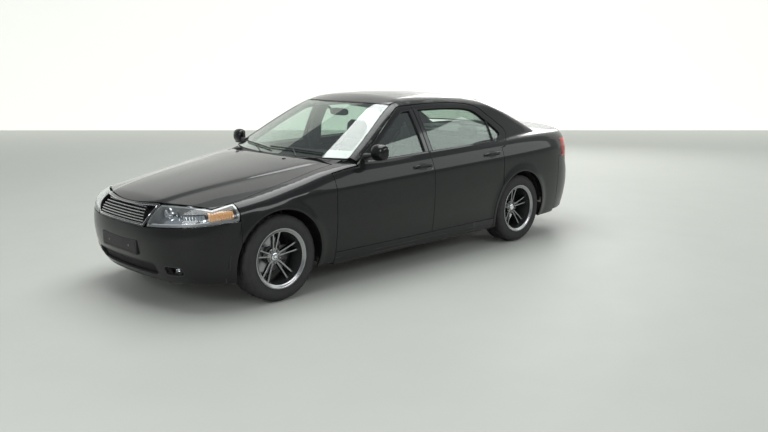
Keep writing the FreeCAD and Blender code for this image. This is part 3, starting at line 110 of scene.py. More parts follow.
def half_width(x, z):
    zc = CREASE_Z(x)
    return SIDE_W((z - 170) / (zc - 170)) * TAPER(x) - 0.36 * 8 * np.logaddexp(0, (z - zc) / 8)


def ridge_y(x):
    return 620 - 260 * (x - 1050) / 1250


def top_z(x, y):
    ay = np.abs(y)
    z = TOP_MID(x) - TOP_DROP(x) * (ay / 900) ** 2.4
    up = 10.0 / (1 + np.exp(np.clip((ay - ridge_y(x)) / 14, -40, 40))) * np.minimum(1, (x - 700) / 300)
    return z + np.where(x > 700, up, 0)


def f_low(x, y, z):
    front = x > 0
    a = np.where(front, NOSE_X(z), TAIL_X(z))
    n = np.where(front, NOSE_N, TAIL_N)
    m = np.where(front, NOSE_M, TAIL_M)
    w = half_width(x, z)
    ax, ay = np.abs(x) / a, np.abs(y) / w
    g = ay ** m + ax ** n - 1
    s = np.hypot(m / w * ay ** (m - 1), n / a * ax ** (n - 1))
    side = g / np.maximum(s, 1 / 400) - np.where(ay > .7, flare(x, z), 0)
    return smax(smax(side, (z - top_z(x, y)) * .97, EDGE_K), UNDER_Z(x) - z, FOOT_K)


def cabin_side(x, z):
    return (850 - .46 * (z - 970) - .00028 * (z - 970) ** 2) * CABIN_PLAN(x)


def f_cabin(x, y, z):
    ay = np.abs(y)
    side = (ay - cabin_side(x, z)) * .9
    roof = (z - ROOF_MID(x) + 48 * (ay / 600) ** 2.2) * .97
    screen = (x - SCREEN_X(z) + 3.56e-4 * y * y) * .46
    back = (BACKLIGHT_X(z) + 2.6e-4 * y * y - x) * .42
    return smax(smax(side, roof, RAIL_K), np.maximum(screen, back), PILLAR_K)


def f_body(x, y, z):
    return -smax(-f_low(x, y, z), -f_cabin(x, y, np.maximum(z, 955)), COWL_K)


def solve(f, o, d, t0, t1, n=27):
    a = np.full(len(o), float(t0))
    b = np.full(len(o), float(t1))
    for _ in range(n):
        m = (a + b) / 2
        p = o + d * m[:, None]
        out = f(p[:, 0], p[:, 1], p[:, 2]) > 0
        b = np.where(out, m, b)
        a = np.where(out, a, m)
    return o + d * ((a + b) / 2)[:, None]


def grad(f, p, e=1.5):
    g = np.stack([f(p[:, 0] + (e if i == 0 else 0), p[:, 1] + (e if i == 1 else 0), p[:, 2] + (e if i == 2 else 0))
                  - f(p[:, 0] - (e if i == 0 else 0), p[:, 1] - (e if i == 1 else 0), p[:, 2] - (e if i == 2 else 0))
                  for i in range(3)], 1)
    return g / np.maximum(np.linalg.norm(g, axis=1, keepdims=True), 1e-12)


def col3(x, y, z):
    x, y, z = np.broadcast_arrays(np.asarray(x, float), np.asarray(y, float), np.asarray(z, float))
    return np.stack([x.ravel(), y.ravel(), z.ravel()], 1)


def lateral(x, z, f=f_body):
    o = col3(x, 0, z)
    return solve(f, o, np.tile([0.0, 1, 0], (len(o), 1)), 100, 1200)


def upward(x, y, f=f_low, z0=500):
    o = col3(x, y, z0)
    return solve(f, o, np.tile([0.0, 0, 1], (len(o), 1)), 0, 1100)


def ahead(y, z, sx, f=f_cabin, x0=-600):
    o = col3(x0, y, z)
    return solve(f, o, np.tile([float(sx), 0, 0], (len(o), 1)), 0, 2700)


def polar(x0, ang, z, f=f_low):
    o = col3(x0, 0 * np.asarray(ang, float), z)
    a = np.radians(np.broadcast_to(np.asarray(ang, float), (len(o),)))
    return solve(f, o, np.stack([np.cos(a), np.sin(a), 0 * a], 1), 100, 1500)


# ---- maps between the surface and a flat sheet
class Sec:
    """Sheet (x, angle about a line along X); for flanks."""

    def __init__(self, f, y0, z0, r=600.0):
        self.f, self.y0, self.z0, self.r = f, y0, z0, r

    def flat(self, p):
        return np.stack([p[:, 0], self.r * np.arctan2(p[:, 2] - self.z0, p[:, 1] - self.y0)], 1)

    def solid(self, q):
        a = q[:, 1] / self.r
        o = col3(q[:, 0], self.y0, self.z0)
        return solve(self.f, o, np.stack([0 * a, np.cos(a), np.sin(a)], 1), 20, 1500)


class Up:
    """Sheet (x, y); for roofs and lids."""

    def __init__(self, f, z0=500):
        self.f, self.z0 = f, z0

    def flat(self, p):
        return p[:, :2].copy()

    def solid(self, q):
        return upward(q[:, 0], q[:, 1], self.f, self.z0)


class Ball:
    """Sheet (azimuth, elevation) about a point; for nose and tail."""

    def __init__(self, f, c, r=500.0, turn=0.0):
        self.f, self.c, self.r, self.turn = f, np.array(c, float), r, turn

    def flat(self, p):
        d = p - self.c
        az = np.arctan2(d[:, 1], d[:, 0]) - self.turn
        az = (az + math.pi) % (2 * math.pi) - math.pi
        return np.stack([self.r * az, self.r * np.arctan2(d[:, 2], np.hypot(d[:, 0], d[:, 1]))], 1)

    def solid(self, q):
        a, e = q[:, 0] / self.r + self.turn, q[:, 1] / self.r
        d = np.stack([np.cos(e) * np.cos(a), np.cos(e) * np.sin(a), np.sin(e)], 1)
        return solve(self.f, np.tile(self.c, (len(q), 1)), d, 20, 1500)


class Fold:
    """Sheet (angle about a line along Y, y); for the boot lid and the screens."""

    def __init__(self, f, x0, z0, r=400.0, back=True):
        self.f, self.x0, self.z0, self.r, self.s = f, x0, z0, r, -1.0 if back else 1.0

    def flat(self, p):
        return np.stack([self.r * np.arctan2(p[:, 2] - self.z0, self.s * (p[:, 0] - self.x0)), p[:, 1]], 1)

    def solid(self, q):
        a = q[:, 0] / self.r
        o = col3(self.x0, q[:, 1], self.z0)
        return solve(self.f, o, np.stack([self.s * np.cos(a), 0 * a, np.sin(a)], 1), 10, 1600)


# ================================================================ outlines
def dense(pts, step=9.0):
    """Points every step along a polyline."""
    out = []
    pts = [np.asarray(p, float) for p in pts]
    for a, b in zip(pts, pts[1:]):
        n = max(1, int(math.ceil(np.linalg.norm(b - a) / step)))
        out += [a + (b - a) * k / n for k in range(n)]
    out.append(pts[-1])
    return np.array(out)


def fillet(pts, radii):
    """Rounds the corners of a closed polygon; radii is one number or one per corner."""
    n = len(pts)
    pts = [np.asarray(p, float) for p in pts]
    if not hasattr(radii, "__len__"):
        radii = [radii] * n
    out = []
    for i in range(n):
        p, a, b = pts[i], pts[i - 1], pts[(i + 1) % n]
        u, v = a - p, b - p
        lu, lv = np.linalg.norm(u), np.linalg.norm(v)
        u, v = u / lu, v / lv
        ang = math.acos(np.clip(u @ v, -1, 1))
        if radii[i] <= 0 or ang > 3.0:
            out.append(p)
            continue
        t = min(radii[i] / math.tan(ang / 2), lu * .45, lv * .45)
        for k in range(6):
            s = k / 5
            out.append((1 - s) ** 2 * (p + u * t) + 2 * s * (1 - s) * p + s * s * (p + v * t))
    return out


def inside(q, loop):
    """Which of the points q are inside the closed loop."""
    x, y = q[:, 0:1], q[:, 1:2]
    a, b = loop, np.roll(loop, -1, 0)
    cross = (a[:, 1] > y) != (b[:, 1] > y)
    with np.errstate(divide="ignore", invalid="ignore"):
        xi = (b[:, 0] - a[:, 0]) * (y - a[:, 1]) / (b[:, 1] - a[:, 1]) + a[:, 0]
    return (np.sum(cross & (x < xi), 1) % 2) == 1


def seg_dist(q, loop, closed=True):
    a = loop
    b = np.roll(loop, -1, 0)
    if not closed:
        a, b = loop[:-1], loop[1:]
    d = b - a
    l2 = np.maximum((d ** 2).sum(1), 1e-9)
    best = np.full(len(q), 1e9)
    for i in range(0, len(q), 2000):
        w = q[i:i + 2000, None, :] - a[None]
        t = np.clip((w * d).sum(2) / l2, 0, 1)
        best[i:i + 2000] = np.sqrt(((w - t[..., None] * d) ** 2).sum(2)).min(1)
    return best


def thin_loop(loop, tol=2.0):
    keep = [loop[0]]
    for p in loop[1:]:
        if np.linalg.norm(p - keep[-1]) > tol:
            keep.append(p)
    if np.linalg.norm(keep[-1] - keep[0]) < tol:
        keep.pop()
    return np.array(keep)


# ================================================================ meshes
BODY_OF = {}
SCENE = bpy.context.scene
COLL = SCENE.collection


def mesh_object(name, verts, faces, mats, body, normals=None, smooth=True, face_mats=None, uv=None):
    """verts in mm."""
    me = bpy.data.meshes.new(name)
    me.from_pydata((np.asarray(verts, float) * .001).tolist(), [], [tuple(int(i) for i in f) for f in faces])
    me.validate()
    for m in (mats if isinstance(mats, (list, tuple)) else [mats]):
        me.materials.append(m)
    if face_mats is not None:
        me.polygons.foreach_set("material_index", np.asarray(face_mats, np.int32))
    me.polygons.foreach_set("use_smooth", np.full(len(me.polygons), bool(smooth)))
    if normals is not None and len(normals) == len(me.vertices):
        me.normals_split_custom_set_from_vertices(np.asarray(normals, float).tolist())
    me.update()
    o = bpy.data.objects.new(name, me)
    COLL.objects.link(o)
    if body:
        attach(o, body)
    return o


def sheet_mesh(chart, outer, holes=(), h=20.0, feature=(), step=9.0):
    """Triangulates the flat region inside outer and outside holes. Returns flat points, triangles, loops of indices."""
    loops = [thin_loop(np.asarray(l, float)) for l in [outer, *holes]]
    area = [0.5 * np.sum(l[:, 0] * np.roll(l[:, 1], -1) - np.roll(l[:, 0], -1) * l[:, 1]) for l in loops]
    loops = [l if (a > 0) == (i == 0) else l[::-1] for i, (l, a) in enumerate(zip(loops, area))]
    pts, edges, rings = [], [], []
    for l in loops:
        s = len(pts)
        pts += l.tolist()
        ring = list(range(s, s + len(l)))
        rings.append(ring)
        edges += [(ring[k], ring[(k + 1) % len(ring)]) for k in range(len(ring))]
    lo, hi = loops[0].min(0), loops[0].max(0)
    gx = np.arange(lo[0], hi[0], h)
    gy = np.arange(lo[1], hi[1], h * .866)
    q = np.array([(x + (h / 2 if j % 2 else 0), y) for j, y in enumerate(gy) for x in gx])
    near = h * .55
    extra = []
    for fpts, reach in feature:
        fp = np.asarray(fpts, float)
        keep = inside(fp, loops[0])
        for l in loops[1:]:
            keep &= ~inside(fp, l)
        fp = fp[keep]
        if len(fp):
            d = np.min([seg_dist(fp, l) for l in loops], 0)
            fp = fp[d > 3.0]
        if len(fp):
            extra.append((fp, reach))
    ok = inside(q, loops[0])
    for l in loops[1:]:
        ok &= ~inside(q, l)
    q = q[ok]
    d = np.min([seg_dist(q, l) for l in loops], 0) if len(q) else np.zeros(0)
    q = q[d > near]
    for fp, reach in extra:
        if len(q):
            keep = np.ones(len(q), bool)
            for i in range(0, len(q), 1500):
                dd = ((q[i:i + 1500, None] - fp[None]) ** 2).sum(2).min(1)
                keep[i:i + 1500] = dd > reach ** 2
            q = q[keep]
    allp = pts + [p for fp, r in extra for p in fp.tolist()] + q.tolist()
    co, ed, fa, ov, oe, of_ = delaunay_2d_cdt([Vector(p) for p in allp], edges, [], 0, 1e-4)
    co = np.array([(v.x, v.y) for v in co])
    tri = np.array([f for f in fa if len(f) == 3])
    cen = co[tri].mean(1)
    ok = inside(cen, loops[0])
    for l in loops[1:]:
        ok &= ~inside(cen, l)
    tri = tri[ok]
    back = {}
    for i, olds in enumerate(ov):
        for o in olds:
            back[o] = i
    rings = [[back[i] for i in r] for r in rings]
    a = co[tri[:, 0]], co[tri[:, 1]], co[tri[:, 2]]
    s = (a[1][:, 0] - a[0][:, 0]) * (a[2][:, 1] - a[0][:, 1]) - (a[1][:, 1] - a[0][:, 1]) * (a[2][:, 0] - a[0][:, 0])
    tri[s < 0] = tri[s < 0][:, ::-1]
    return co, tri, rings


def panel(name, chart, outer, body, mat, slot, holes=(), h=20.0, t=16.0, edge=1.3, lift=0.0, feature=(), replaces=(),
          both=False, back_mat=None, flip=False, inner=True, rim_depth=None, back_inset=0.0, sides=(1, -1)):
    """Closed shell panel on a surface: outer skin, rounded edge, rim and inner skin. Points in mm."""
    co, tri, rings = sheet_mesh(chart, outer, holes, h, feature)
    p = chart.solid(co)
    n = grad(chart.f, p)
    # sheet orientation: make triangle normals point outward
    a, b, c = p[tri[:, 0]], p[tri[:, 1]], p[tri[:, 2]]
    up = np.einsum("ij,ij->i", np.cross(b - a, c - a), n[tri[:, 0]]).sum() > 0
    if not up:
        tri = tri[:, ::-1]
        rings = [r[::-1] for r in rings]
    p = p + n * lift
    verts, norms, faces, fm = [p], [n], [tri], [np.zeros(len(tri), int)]
    base = len(p)
    depth = rim_depth if callable(rim_depth) else (lambda q, d=(t if rim_depth is None else rim_depth): np.full(len(q), float(d)))
    last = {}
    for r in rings:
        r = np.array(r)
        q, m = p[r], n[r]
        tan = np.roll(q, -1, 0) - np.roll(q, 1, 0)
        tan /= np.maximum(np.linalg.norm(tan, axis=1, keepdims=True), 1e-9)
        out = np.cross(tan, m)
        out /= np.maximum(np.linalg.norm(out, axis=1, keepdims=True), 1e-9)
        k = len(r)
        e = edge
        rows = [(q + out * e * .62 - m * e * .22, (m * .8 + out * .6)),
                (q + out * e - m * e, out * 1.0),
                (q + out * e - m * depth(q)[:, None], out * 1.0)]
        prev = r
        for pts, nn in rows:
            nn = nn / np.linalg.norm(nn, axis=1, keepdims=True)
            verts.append(pts)
            norms.append(nn)
            cur = base + np.arange(k)
            base += k
            nx = np.roll(np.arange(k), -1)
            quads = np.stack([prev, cur, cur[nx], prev[nx]], 1)
            faces.append(quads)
            fm.append(np.zeros(k, int))
            prev = cur
        last[len(last)] = (prev, r, out)
    if inner:
        ip = p - n * depth(p)[:, None]
        s = base
        verts.append(ip)
        norms.append(-n)
        base += len(ip)
        faces.append(tri[:, ::-1] + s)
        fm.append(np.full(len(tri), 1 if back_mat else 0))
        for prev, r, out in last.values():
            k = len(r)
            nx = np.roll(np.arange(k), -1)
            faces.append(np.stack([prev, r + s, (r + s)[nx], prev[nx]], 1))
            fm.append(np.full(k, 1 if back_mat else 0))
    v, nn = np.concatenate(verts), np.concatenate(norms)
    f = [tuple(x) for arr in faces for x in arr]
    fm = np.concatenate(fm)
    mats = [mat] + ([back_mat] if back_mat else [])
    made = []
    for side in (sides if both else (1,)):
        nm = name + ("" if not both else ("_left" if side > 0 else "_right"))
        if side > 0:
            vv, n2, f2 = v, nn, f
        else:
            vv, n2, f2 = v * [1, -1, 1], nn * [1, -1, 1], [x[::-1] for x in f]
        bd = body if isinstance(body, str) else body[0 if side > 0 else 1]
        o = mesh_object(nm, vv, f2, mats, bd, n2, True, fm)
        made.append(o)
    if replaces and both:
        for o, names in zip(made, replaces):
            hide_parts(*names)
    elif replaces:
        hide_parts(*replaces)
    return made if both else made[0]


# ---- plainer meshes
class Bag:
    """Collects shapes in mm that become one object."""

    def __init__(self, *mats):
        self.v, self.f, self.m, self.mats = [], [], [], list(mats)
        self.n = 0

    def put(self, verts, faces, m=0):
        verts = np.asarray(verts, float)
        self.v.append(verts)
        self.f += [tuple(int(i) + self.n for i in f) for f in faces]
        self.m += [m] * len(faces)
        self.n += len(verts)
        return self

    def loft(self, rings, m=0, caps=(True, True), closed=True):
        rings = np.asarray(rings, float)
        a, k = rings.shape[:2]
        f = []
        for i in range(a - 1):
            for j in range(k if closed else k - 1):
                j2 = (j + 1) % k
                f.append((i * k + j, i * k + j2, (i + 1) * k + j2, (i + 1) * k + j))
        v = rings.reshape(-1, 3)
        if closed and caps[0]:
            f.append(tuple(range(k))[::-1])
        if closed and caps[1]:
            f.append(tuple((a - 1) * k + j for j in range(k)))
        return self.put(v, f, m)

    def tube(self, pts, r, m=0, n=12, flat=1.0, up=None):
        """Round bar through points; r is one radius or one per point."""
        pts = np.asarray(pts, float)
        r = np.broadcast_to(np.asarray(r, float), (len(pts),))
        t = np.gradient(pts, axis=0)
        t /= np.maximum(np.linalg.norm(t, axis=1, keepdims=True), 1e-9)
        u = np.asarray(up if up is not None else ((0, 0, 1) if abs(t[0][2]) < .9 else (1, 0, 0)), float)
        rings = []
        for p, d, rr in zip(pts, t, r):
            u = u - d * (u @ d)
            u /= np.linalg.norm(u)
            w = np.cross(d, u)
            a = np.arange(n) * 2 * math.pi / n
            rings.append(p + rr * (np.cos(a)[:, None] * u * flat + np.sin(a)[:, None] * w))
        return self.loft(rings, m)

    def turn(self, prof, c, m=0, n=48, axis=1, a0=0.0, a1=360.0, ends=False):
        """Revolves (radius, offset) pairs about an axis through c."""
        full = abs(a1 - a0) >= 360
        k = n if full else n + 1
        ang = np.radians(a0 + (a1 - a0) * np.arange(k) / n)
        i, j = [(1, 2), (2, 0), (0, 1)][axis]
        rings = []
        for r, o in prof:
            q = np.zeros((k, 3))
            q[:, axis] = o
            q[:, i] = r * np.cos(ang)
            q[:, j] = r * np.sin(ang)
            rings.append(q + np.asarray(c, float))
        rings = np.asarray(rings)
        a = len(prof)
        f = []
        for x in range(a - 1):
            for y in range(k if full else k - 1):
                y2 = (y + 1) % k
                f.append((x * k + y, (x + 1) * k + y, (x + 1) * k + y2, x * k + y2))
        if ends and not full:
            f.append(tuple(x * k for x in range(a)))
            f.append(tuple(x * k + k - 1 for x in range(a))[::-1])
        return self.put(rings.reshape(-1, 3), f, m)

    def box(self, lo, hi, m=0, bevel=3.0, seg=2, turn=None, taper=None):
        lo, hi = np.minimum(lo, hi).astype(float), np.maximum(lo, hi).astype(float)
        bm = bmesh.new()
        bmesh.ops.create_cube(bm, size=1)
        for v in bm.verts:
            v.co = Vector([(lo[i] + hi[i]) / 2 + v.co[i] * (hi[i] - lo[i]) for i in range(3)])
        if taper:
            ax, k = taper
            mid = (lo + hi) / 2
            for v in bm.verts:
                if v.co[ax] > mid[ax]:
                    for i in range(3):
                        if i != ax:
                            v.co[i] = mid[i] + (v.co[i] - mid[i]) * k
        b = min(bevel, *(hi - lo) * .45)
        if b > 0:
            bmesh.ops.bevel(bm, geom=bm.edges[:], offset=b, segments=seg, profile=.6, affect="EDGES")
        vs = np.array([v.co[:] for v in bm.verts])
        if turn is not None:
            vs = (np.asarray(turn) @ vs.T).T if np.asarray(turn).shape == (3, 3) else vs
        fs = [tuple(v.index for v in f.verts) for f in bm.faces]
        bm.free()
        return self.put(vs, fs, m)

    def sweep(self, path, nrm, prof, m=0, closed=False, shut=True):
        """Profile of (across, along normal) pairs swept on a path with normals."""
        path, nrm = np.asarray(path, float), np.asarray(nrm, float)
        if closed:
            t = np.roll(path, -1, 0) - np.roll(path, 1, 0)
        else:
            t = np.gradient(path, axis=0)
        t /= np.maximum(np.linalg.norm(t, axis=1, keepdims=True), 1e-9)
        s = np.cross(t, nrm)
        s /= np.maximum(np.linalg.norm(s, axis=1, keepdims=True), 1e-9)
        prof = np.asarray(prof, float)
        rings = path[:, None] + s[:, None] * prof[None, :, 0:1] + nrm[:, None] * prof[None, :, 1:2]
        k = len(prof)
        a = len(path)
        f = []
        for i in range(a if closed else a - 1):
            i2 = (i + 1) % a
            for j in range(k if shut else k - 1):
                j2 = (j + 1) % k
                f.append((i * k + j, i * k + j2, i2 * k + j2, i2 * k + j))
        if shut and not closed:
            f.append(tuple(range(k))[::-1])
            f.append(tuple((a - 1) * k + j for j in range(k)))
        return self.put(rings.reshape(-1, 3), f, m)

    def mirror(self):
        """The same shapes on the other side of the car."""
        b = Bag(*self.mats)
        b.v = [v * [1, -1, 1] for v in self.v]
        b.f = [f[::-1] for f in self.f]
        b.m, b.n = list(self.m), self.n
        return b

    def made(self, name, body, slot=None, sharp=32.0, replaces=()):
        me = bpy.data.meshes.new(name)
        me.from_pydata((np.concatenate(self.v) * .001).tolist(), [], self.f)
        for mt in self.mats:
            me.materials.append(mt)
        me.polygons.foreach_set("material_index", np.asarray(self.m, np.int32))
        me.validate()
        bm = bmesh.new()
        bm.from_mesh(me)
        bmesh.ops.recalc_face_normals(bm, faces=bm.faces[:])
        bm.to_mesh(me)
        bm.free()
        me.polygons.foreach_set("use_smooth", np.full(len(me.polygons), True))
        if sharp:
            me.set_sharp_from_angle(angle=math.radians(sharp))
        me.update()
        o = bpy.data.objects.new(name, me)
        COLL.objects.link(o)
        if body:
            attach(o, body)
        if replaces:
            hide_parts(*replaces)
        return o


def pair(bag, name, bodies, slot=None, sharp=32.0, replaces=((), ())):
    """The shapes on the left and their mirror image on the right."""
    if isinstance(bodies, str):
        bodies = (bodies, bodies)
    return [bag.made(name + "_left", bodies[0], slot, sharp, replaces[0]),
            bag.mirror().made(name + "_right", bodies[1], slot, sharp, replaces[1])]


def rot(axis, deg):
    return np.array(Matrix.Rotation(math.radians(deg), 3, axis))


# ================================================================ materials
class Mat:
    def __init__(self, name, color, rough=.5, metal=0.0, spec=.5, coat=0.0, coat_rough=.03, trans=0.0, ior=1.5, sheen=0.0,
                 emit=None):
        self.m = bpy.data.materials.new(name)
        self.m.use_nodes = True
        self.nt = self.m.node_tree
        self.b = self.nt.nodes["Principled BSDF"]
        self.o = self.nt.nodes["Material Output"]
        i = self.b.inputs
        i["Base Color"].default_value = (*color, 1)
        i["Roughness"].default_value = rough
        i["Metallic"].default_value = metal
        i["Specular IOR Level"].default_value = spec
        i["Coat Weight"].default_value = coat
        i["Coat Roughness"].default_value = coat_rough
        i["Transmission Weight"].default_value = trans
        i["IOR"].default_value = ior
        i["Sheen Weight"].default_value = sheen
        if emit:
            i["Emission Color"].default_value = (*emit[0], 1)
            i["Emission Strength"].default_value = emit[1]
        self.color, self.rough = color, rough
        self.co = self.nt.nodes.new("ShaderNodeTexCoord").outputs["Object"]
        self.normal = None

    def new(self, kind, **kw):
        n = self.nt.nodes.new(kind)
        for k, v in kw.items():
            setattr(n, k, v)
        return n

    def link(self, a, b):
        self.nt.links.new(a, b)

    def put(self, sock, v):
        if hasattr(v, "is_linked") or hasattr(v, "links"):
            self.link(v, sock)
        else:
            sock.default_value = v

    def map(self, scale=(1, 1, 1), turn=(0, 0, 0)):
        n = self.new("ShaderNodeMapping")
        n.inputs["Scale"].default_value = scale
        n.inputs["Rotation"].default_value = [math.radians(a) for a in turn]
        self.link(self.co, n.inputs["Vector"])
        return n.outputs["Vector"]

    def noise(self, scale, detail=3.0, rough=.5, vec=None, dist=0.0):
        n = self.new("ShaderNodeTexNoise")
        n.inputs["Scale"].default_value = scale
        n.inputs["Detail"].default_value = detail
        n.inputs["Roughness"].default_value = rough
        n.inputs["Distortion"].default_value = dist
        self.link(vec or self.co, n.inputs["Vector"])
        return n.outputs["Fac"]

    def voro(self, scale, out="Distance", feature="F1", vec=None):
        n = self.new("ShaderNodeTexVoronoi", feature=feature)
        n.inputs["Scale"].default_value = scale
        self.link(vec or self.co, n.inputs["Vector"])
        return n.outputs[out]

    def wave(self, scale, vec=None, bands="X", kind="BANDS", profile="SIN", dist=0.0, rings=None):
        n = self.new("ShaderNodeTexWave", wave_type=kind, wave_profile=profile)
        if kind == "BANDS":
            n.bands_direction = bands
        else:
            n.rings_direction = rings or "Y"
        n.inputs["Scale"].default_value = scale
        n.inputs["Distortion"].default_value = dist
        self.link(vec or self.co, n.inputs["Vector"])
        return n.outputs["Fac"]

    def math(self, op, a, b=None, clamp=False):
        n = self.new("ShaderNodeMath", operation=op, use_clamp=clamp)
        self.put(n.inputs[0], a)
        if b is not None:
            self.put(n.inputs[1], b)
        return n.outputs[0]

    def ramp(self, fac, stops):
        n = self.new("ShaderNodeValToRGB")
        e = n.color_ramp.elements
        while len(e) < len(stops):
            e.new(.5)
        for k, (p, c) in zip(e, stops):
            k.position = p
            k.color = (*c, 1) if hasattr(c, "__len__") else (c, c, c, 1)
        self.link(fac, n.inputs["Fac"])
        return n.outputs["Color"]

    def mix(self, fac, a, b, mode="MIX"):
        n = self.new("ShaderNodeMix", data_type="RGBA", blend_type=mode)
        self.put(n.inputs[0], fac)
        for s, v in ((n.inputs[6], a), (n.inputs[7], b)):
            self.put(s, (*v, 1) if isinstance(v, tuple) and len(v) == 3 else v)
        return n.outputs[2]

    def base(self, v):
        self.link(v, self.b.inputs["Base Color"])
        return self

    def roughness(self, v):
        self.link(v, self.b.inputs["Roughness"])
        return self

    def range(self, fac, lo, hi):
        n = self.new("ShaderNodeMapRange")
        self.link(fac, n.inputs["Value"])
        n.inputs["To Min"].default_value = lo
        n.inputs["To Max"].default_value = hi
        return n.outputs["Result"]

    def bump(self, height, strength=.3, dist=.001, coat=False):
        n = self.new("ShaderNodeBump")
        n.inputs["Strength"].default_value = strength
        n.inputs["Distance"].default_value = dist
        self.link(height, n.inputs["Height"])
        if self.normal is not None:
            self.link(self.normal, n.inputs["Normal"])
        self.normal = n.outputs["Normal"]
        self.link(self.normal, self.b.inputs["Normal"])
        if coat:
            self.link(self.normal, self.b.inputs["Coat Normal"])
        return self

    def dusty(self, amount=.15, scale=9.0, tint=(.32, .30, .27)):
        """Slight uneven tone of handled or driven surfaces."""
        f = self.math("MULTIPLY", self.noise(scale, 5, .6), amount)
        src = self.b.inputs["Base Color"]
        cur = src.links[0].from_socket if src.is_linked else tuple(self.color)
        self.base(self.mix(f, cur, tint))
        return self


def see_through(name, tint, rough=.01, solid=(.02, .03, .026), ior=1.5, haze=0.0):
    """Thin pane: a tinted clear part and a gloss that grows at shallow angles."""
    a = Mat(name, solid, rough, 0, .5)
    fr = a.new("ShaderNodeLayerWeight")
    fr.inputs["Blend"].default_value = .5
    tr = a.new("ShaderNodeBsdfTransparent")
    tr.inputs["Color"].default_value = (*tint, 1)
    f = a.noise(2.2, 3, .5)
    col = a.mix(f, tuple(t * .97 for t in tint), tuple(min(1.0, t * 1.02) for t in tint))
    a.link(col, tr.inputs["Color"])
    gl = a.b
    gl.inputs["Roughness"].default_value = rough
    gl.inputs["Metallic"].default_value = 0
    gl.inputs["Coat Weight"].default_value = 1.0
    gl.inputs["Coat Roughness"].default_value = .008
    fac = a.math("ADD", a.math("MULTIPLY", a.math("POWER", fr.outputs["Facing"], 5.0), .95), .022 + haze, clamp=True)
    mx = a.new("ShaderNodeMixShader")
    a.link(fac, mx.inputs[0])
    a.link(tr.outputs[0], mx.inputs[1])
    gs = a.new("ShaderNodeBsdfGlossy")
    gs.inputs["Color"].default_value = (.95, .97, .96, 1)
    gs.inputs["Roughness"].default_value = rough
    a.link(gs.outputs[0], mx.inputs[2])
    a.link(mx.outputs[0], a.o.inputs["Surface"])
    return a.m


MT = {}
# car paint: near-black base with fine metal flake under clear lacquer
a = Mat("body_paint", (.0055, .006, .0062), .40, .30, .5, 1.0, .022)
fl = a.voro(950, "Color")
sp = a.ramp(fl, [(.0, 0.0), (.72, 0.0), (.86, 1.0)])
sh = a.noise(1.6, 3, .5)
a.base(a.mix(sp, a.mix(sh, (.0048, .0052, .0052), (.0070, .0076, .0076)), (.030, .033, .034)))
a.roughness(a.range(a.noise(160, 2), .30, .42))
a.bump(a.noise(140, 2, .4), .018, .0006)
a.b.inputs["Specular IOR Level"].default_value = .14
a.b.inputs["Coat Weight"].default_value = .80
a.b.inputs["Coat IOR"].default_value = 1.42
MT["paint"] = a.m
a = Mat("body_inner", (.020, .021, .023), .5, .1, .4)
a.roughness(a.range(a.noise(60, 4), .38, .62))
a.bump(a.noise(420, 2), .08, .0004)
a.dusty(.10, 14)
MT["inner"] = a.m
a = Mat("underbody", (.030, .030, .031), .72, 0, .35)
a.bump(a.noise(240, 4, .65), .35, .0012).bump(a.noise(24, 3), .15, .002)
a.dusty(.28, 6)
MT["under"] = a.m
MT["glass"] = see_through("glass_green", (.84, .915, .87), .006, haze=.085)
MT["screen"] = see_through("glass_screen", (.88, .94, .905), .006, haze=.06)
MT["clear"] = see_through("lamp_clear", (.965, .975, .98), .012, haze=.004)
a = Mat("mirror_glass", (.82, .85, .88), .02, 1.0)
a.roughness(a.range(a.noise(8, 2), .012, .035))
MT["mirror"] = a.m


def lens(name, color, deep, rough=.06):
    a = Mat(name, color, rough, 0, .6, 1.0, .012)
    w1 = a.wave(62, bands="Z", profile="SIN")
    w2 = a.wave(62, bands="DIAGONAL", profile="SIN")
    a.base(a.mix(a.noise(7, 3), color, deep))
    a.bump(w1, .35, .0016).bump(w2, .12, .001)
    return a.m


MT["red"] = lens("lamp_red", (.30, .012, .016), (.20, .006, .010))
MT["red_clear"] = see_through("lamp_red_lens", (.92, .20, .22), .02, haze=.02)
MT["amber"] = lens("lamp_amber", (.72, .36, .12), (.58, .27, .08))
MT["amber_dim"] = lens("lamp_amber_side", (.70, .22, .03), (.50, .13, .01))
MT["white_lens"] = lens("lamp_white", (.60, .62, .63), (.46, .48, .50))
a = Mat("chrome", (.80, .82, .84), .06, 1.0)
a.roughness(a.range(a.noise(30, 3), .04, .09))
MT["chrome"] = a.m
a = Mat("satin_chrome", (.52, .525, .52), .26, 1.0)
a.roughness(a.range(a.noise(60, 3), .20, .32))
MT["satin"] = a.m
a = Mat("reflector", (.76, .78, .80), .12, 1.0)
a.roughness(a.range(a.noise(50, 2), .08, .16))
a.bump(a.wave(36, bands="Y"), .10, .001)
MT["reflector"] = a.m
a = Mat("lamp_housing", (.30, .305, .30), .30, .6)
a.bump(a.noise(600, 2), .08, .0004)
MT["housing"] = a.m
a = Mat("trim_black", (.016, .016, .017), .52, 0, .45)
a.roughness(a.range(a.noise(90, 3), .44, .62))
a.bump(a.voro(720, "Distance"), .30, .0005)
a.dusty(.06, 12)
MT["trim"] = a.m
a = Mat("gloss_black", (.008, .008, .009), .12, 0, .5, 1.0, .03)
a.roughness(a.range(a.noise(26, 2), .10, .16))
MT["gloss"] = a.m
a = Mat("seal_rubber", (.012, .012, .012), .68, 0, .35)
a.bump(a.noise(380, 3), .2, .0004)
MT["seal"] = a.m
a = Mat("tyre_rubber", (.021, .021, .022), .70, 0, .32)
a.roughness(a.range(a.noise(40, 4), .60, .82))
a.bump(a.noise(520, 3, .6), .18, .0005)
a.dusty(.12, 18, (.20, .19, .18))
MT["tyre"] = a.m
a = Mat("alloy", (.36, .365, .37), .30, 1.0, .5, .35, .05)
a.base(a.mix(a.noise(14, 3), (.33, .335, .34), (.39, .395, .40)))
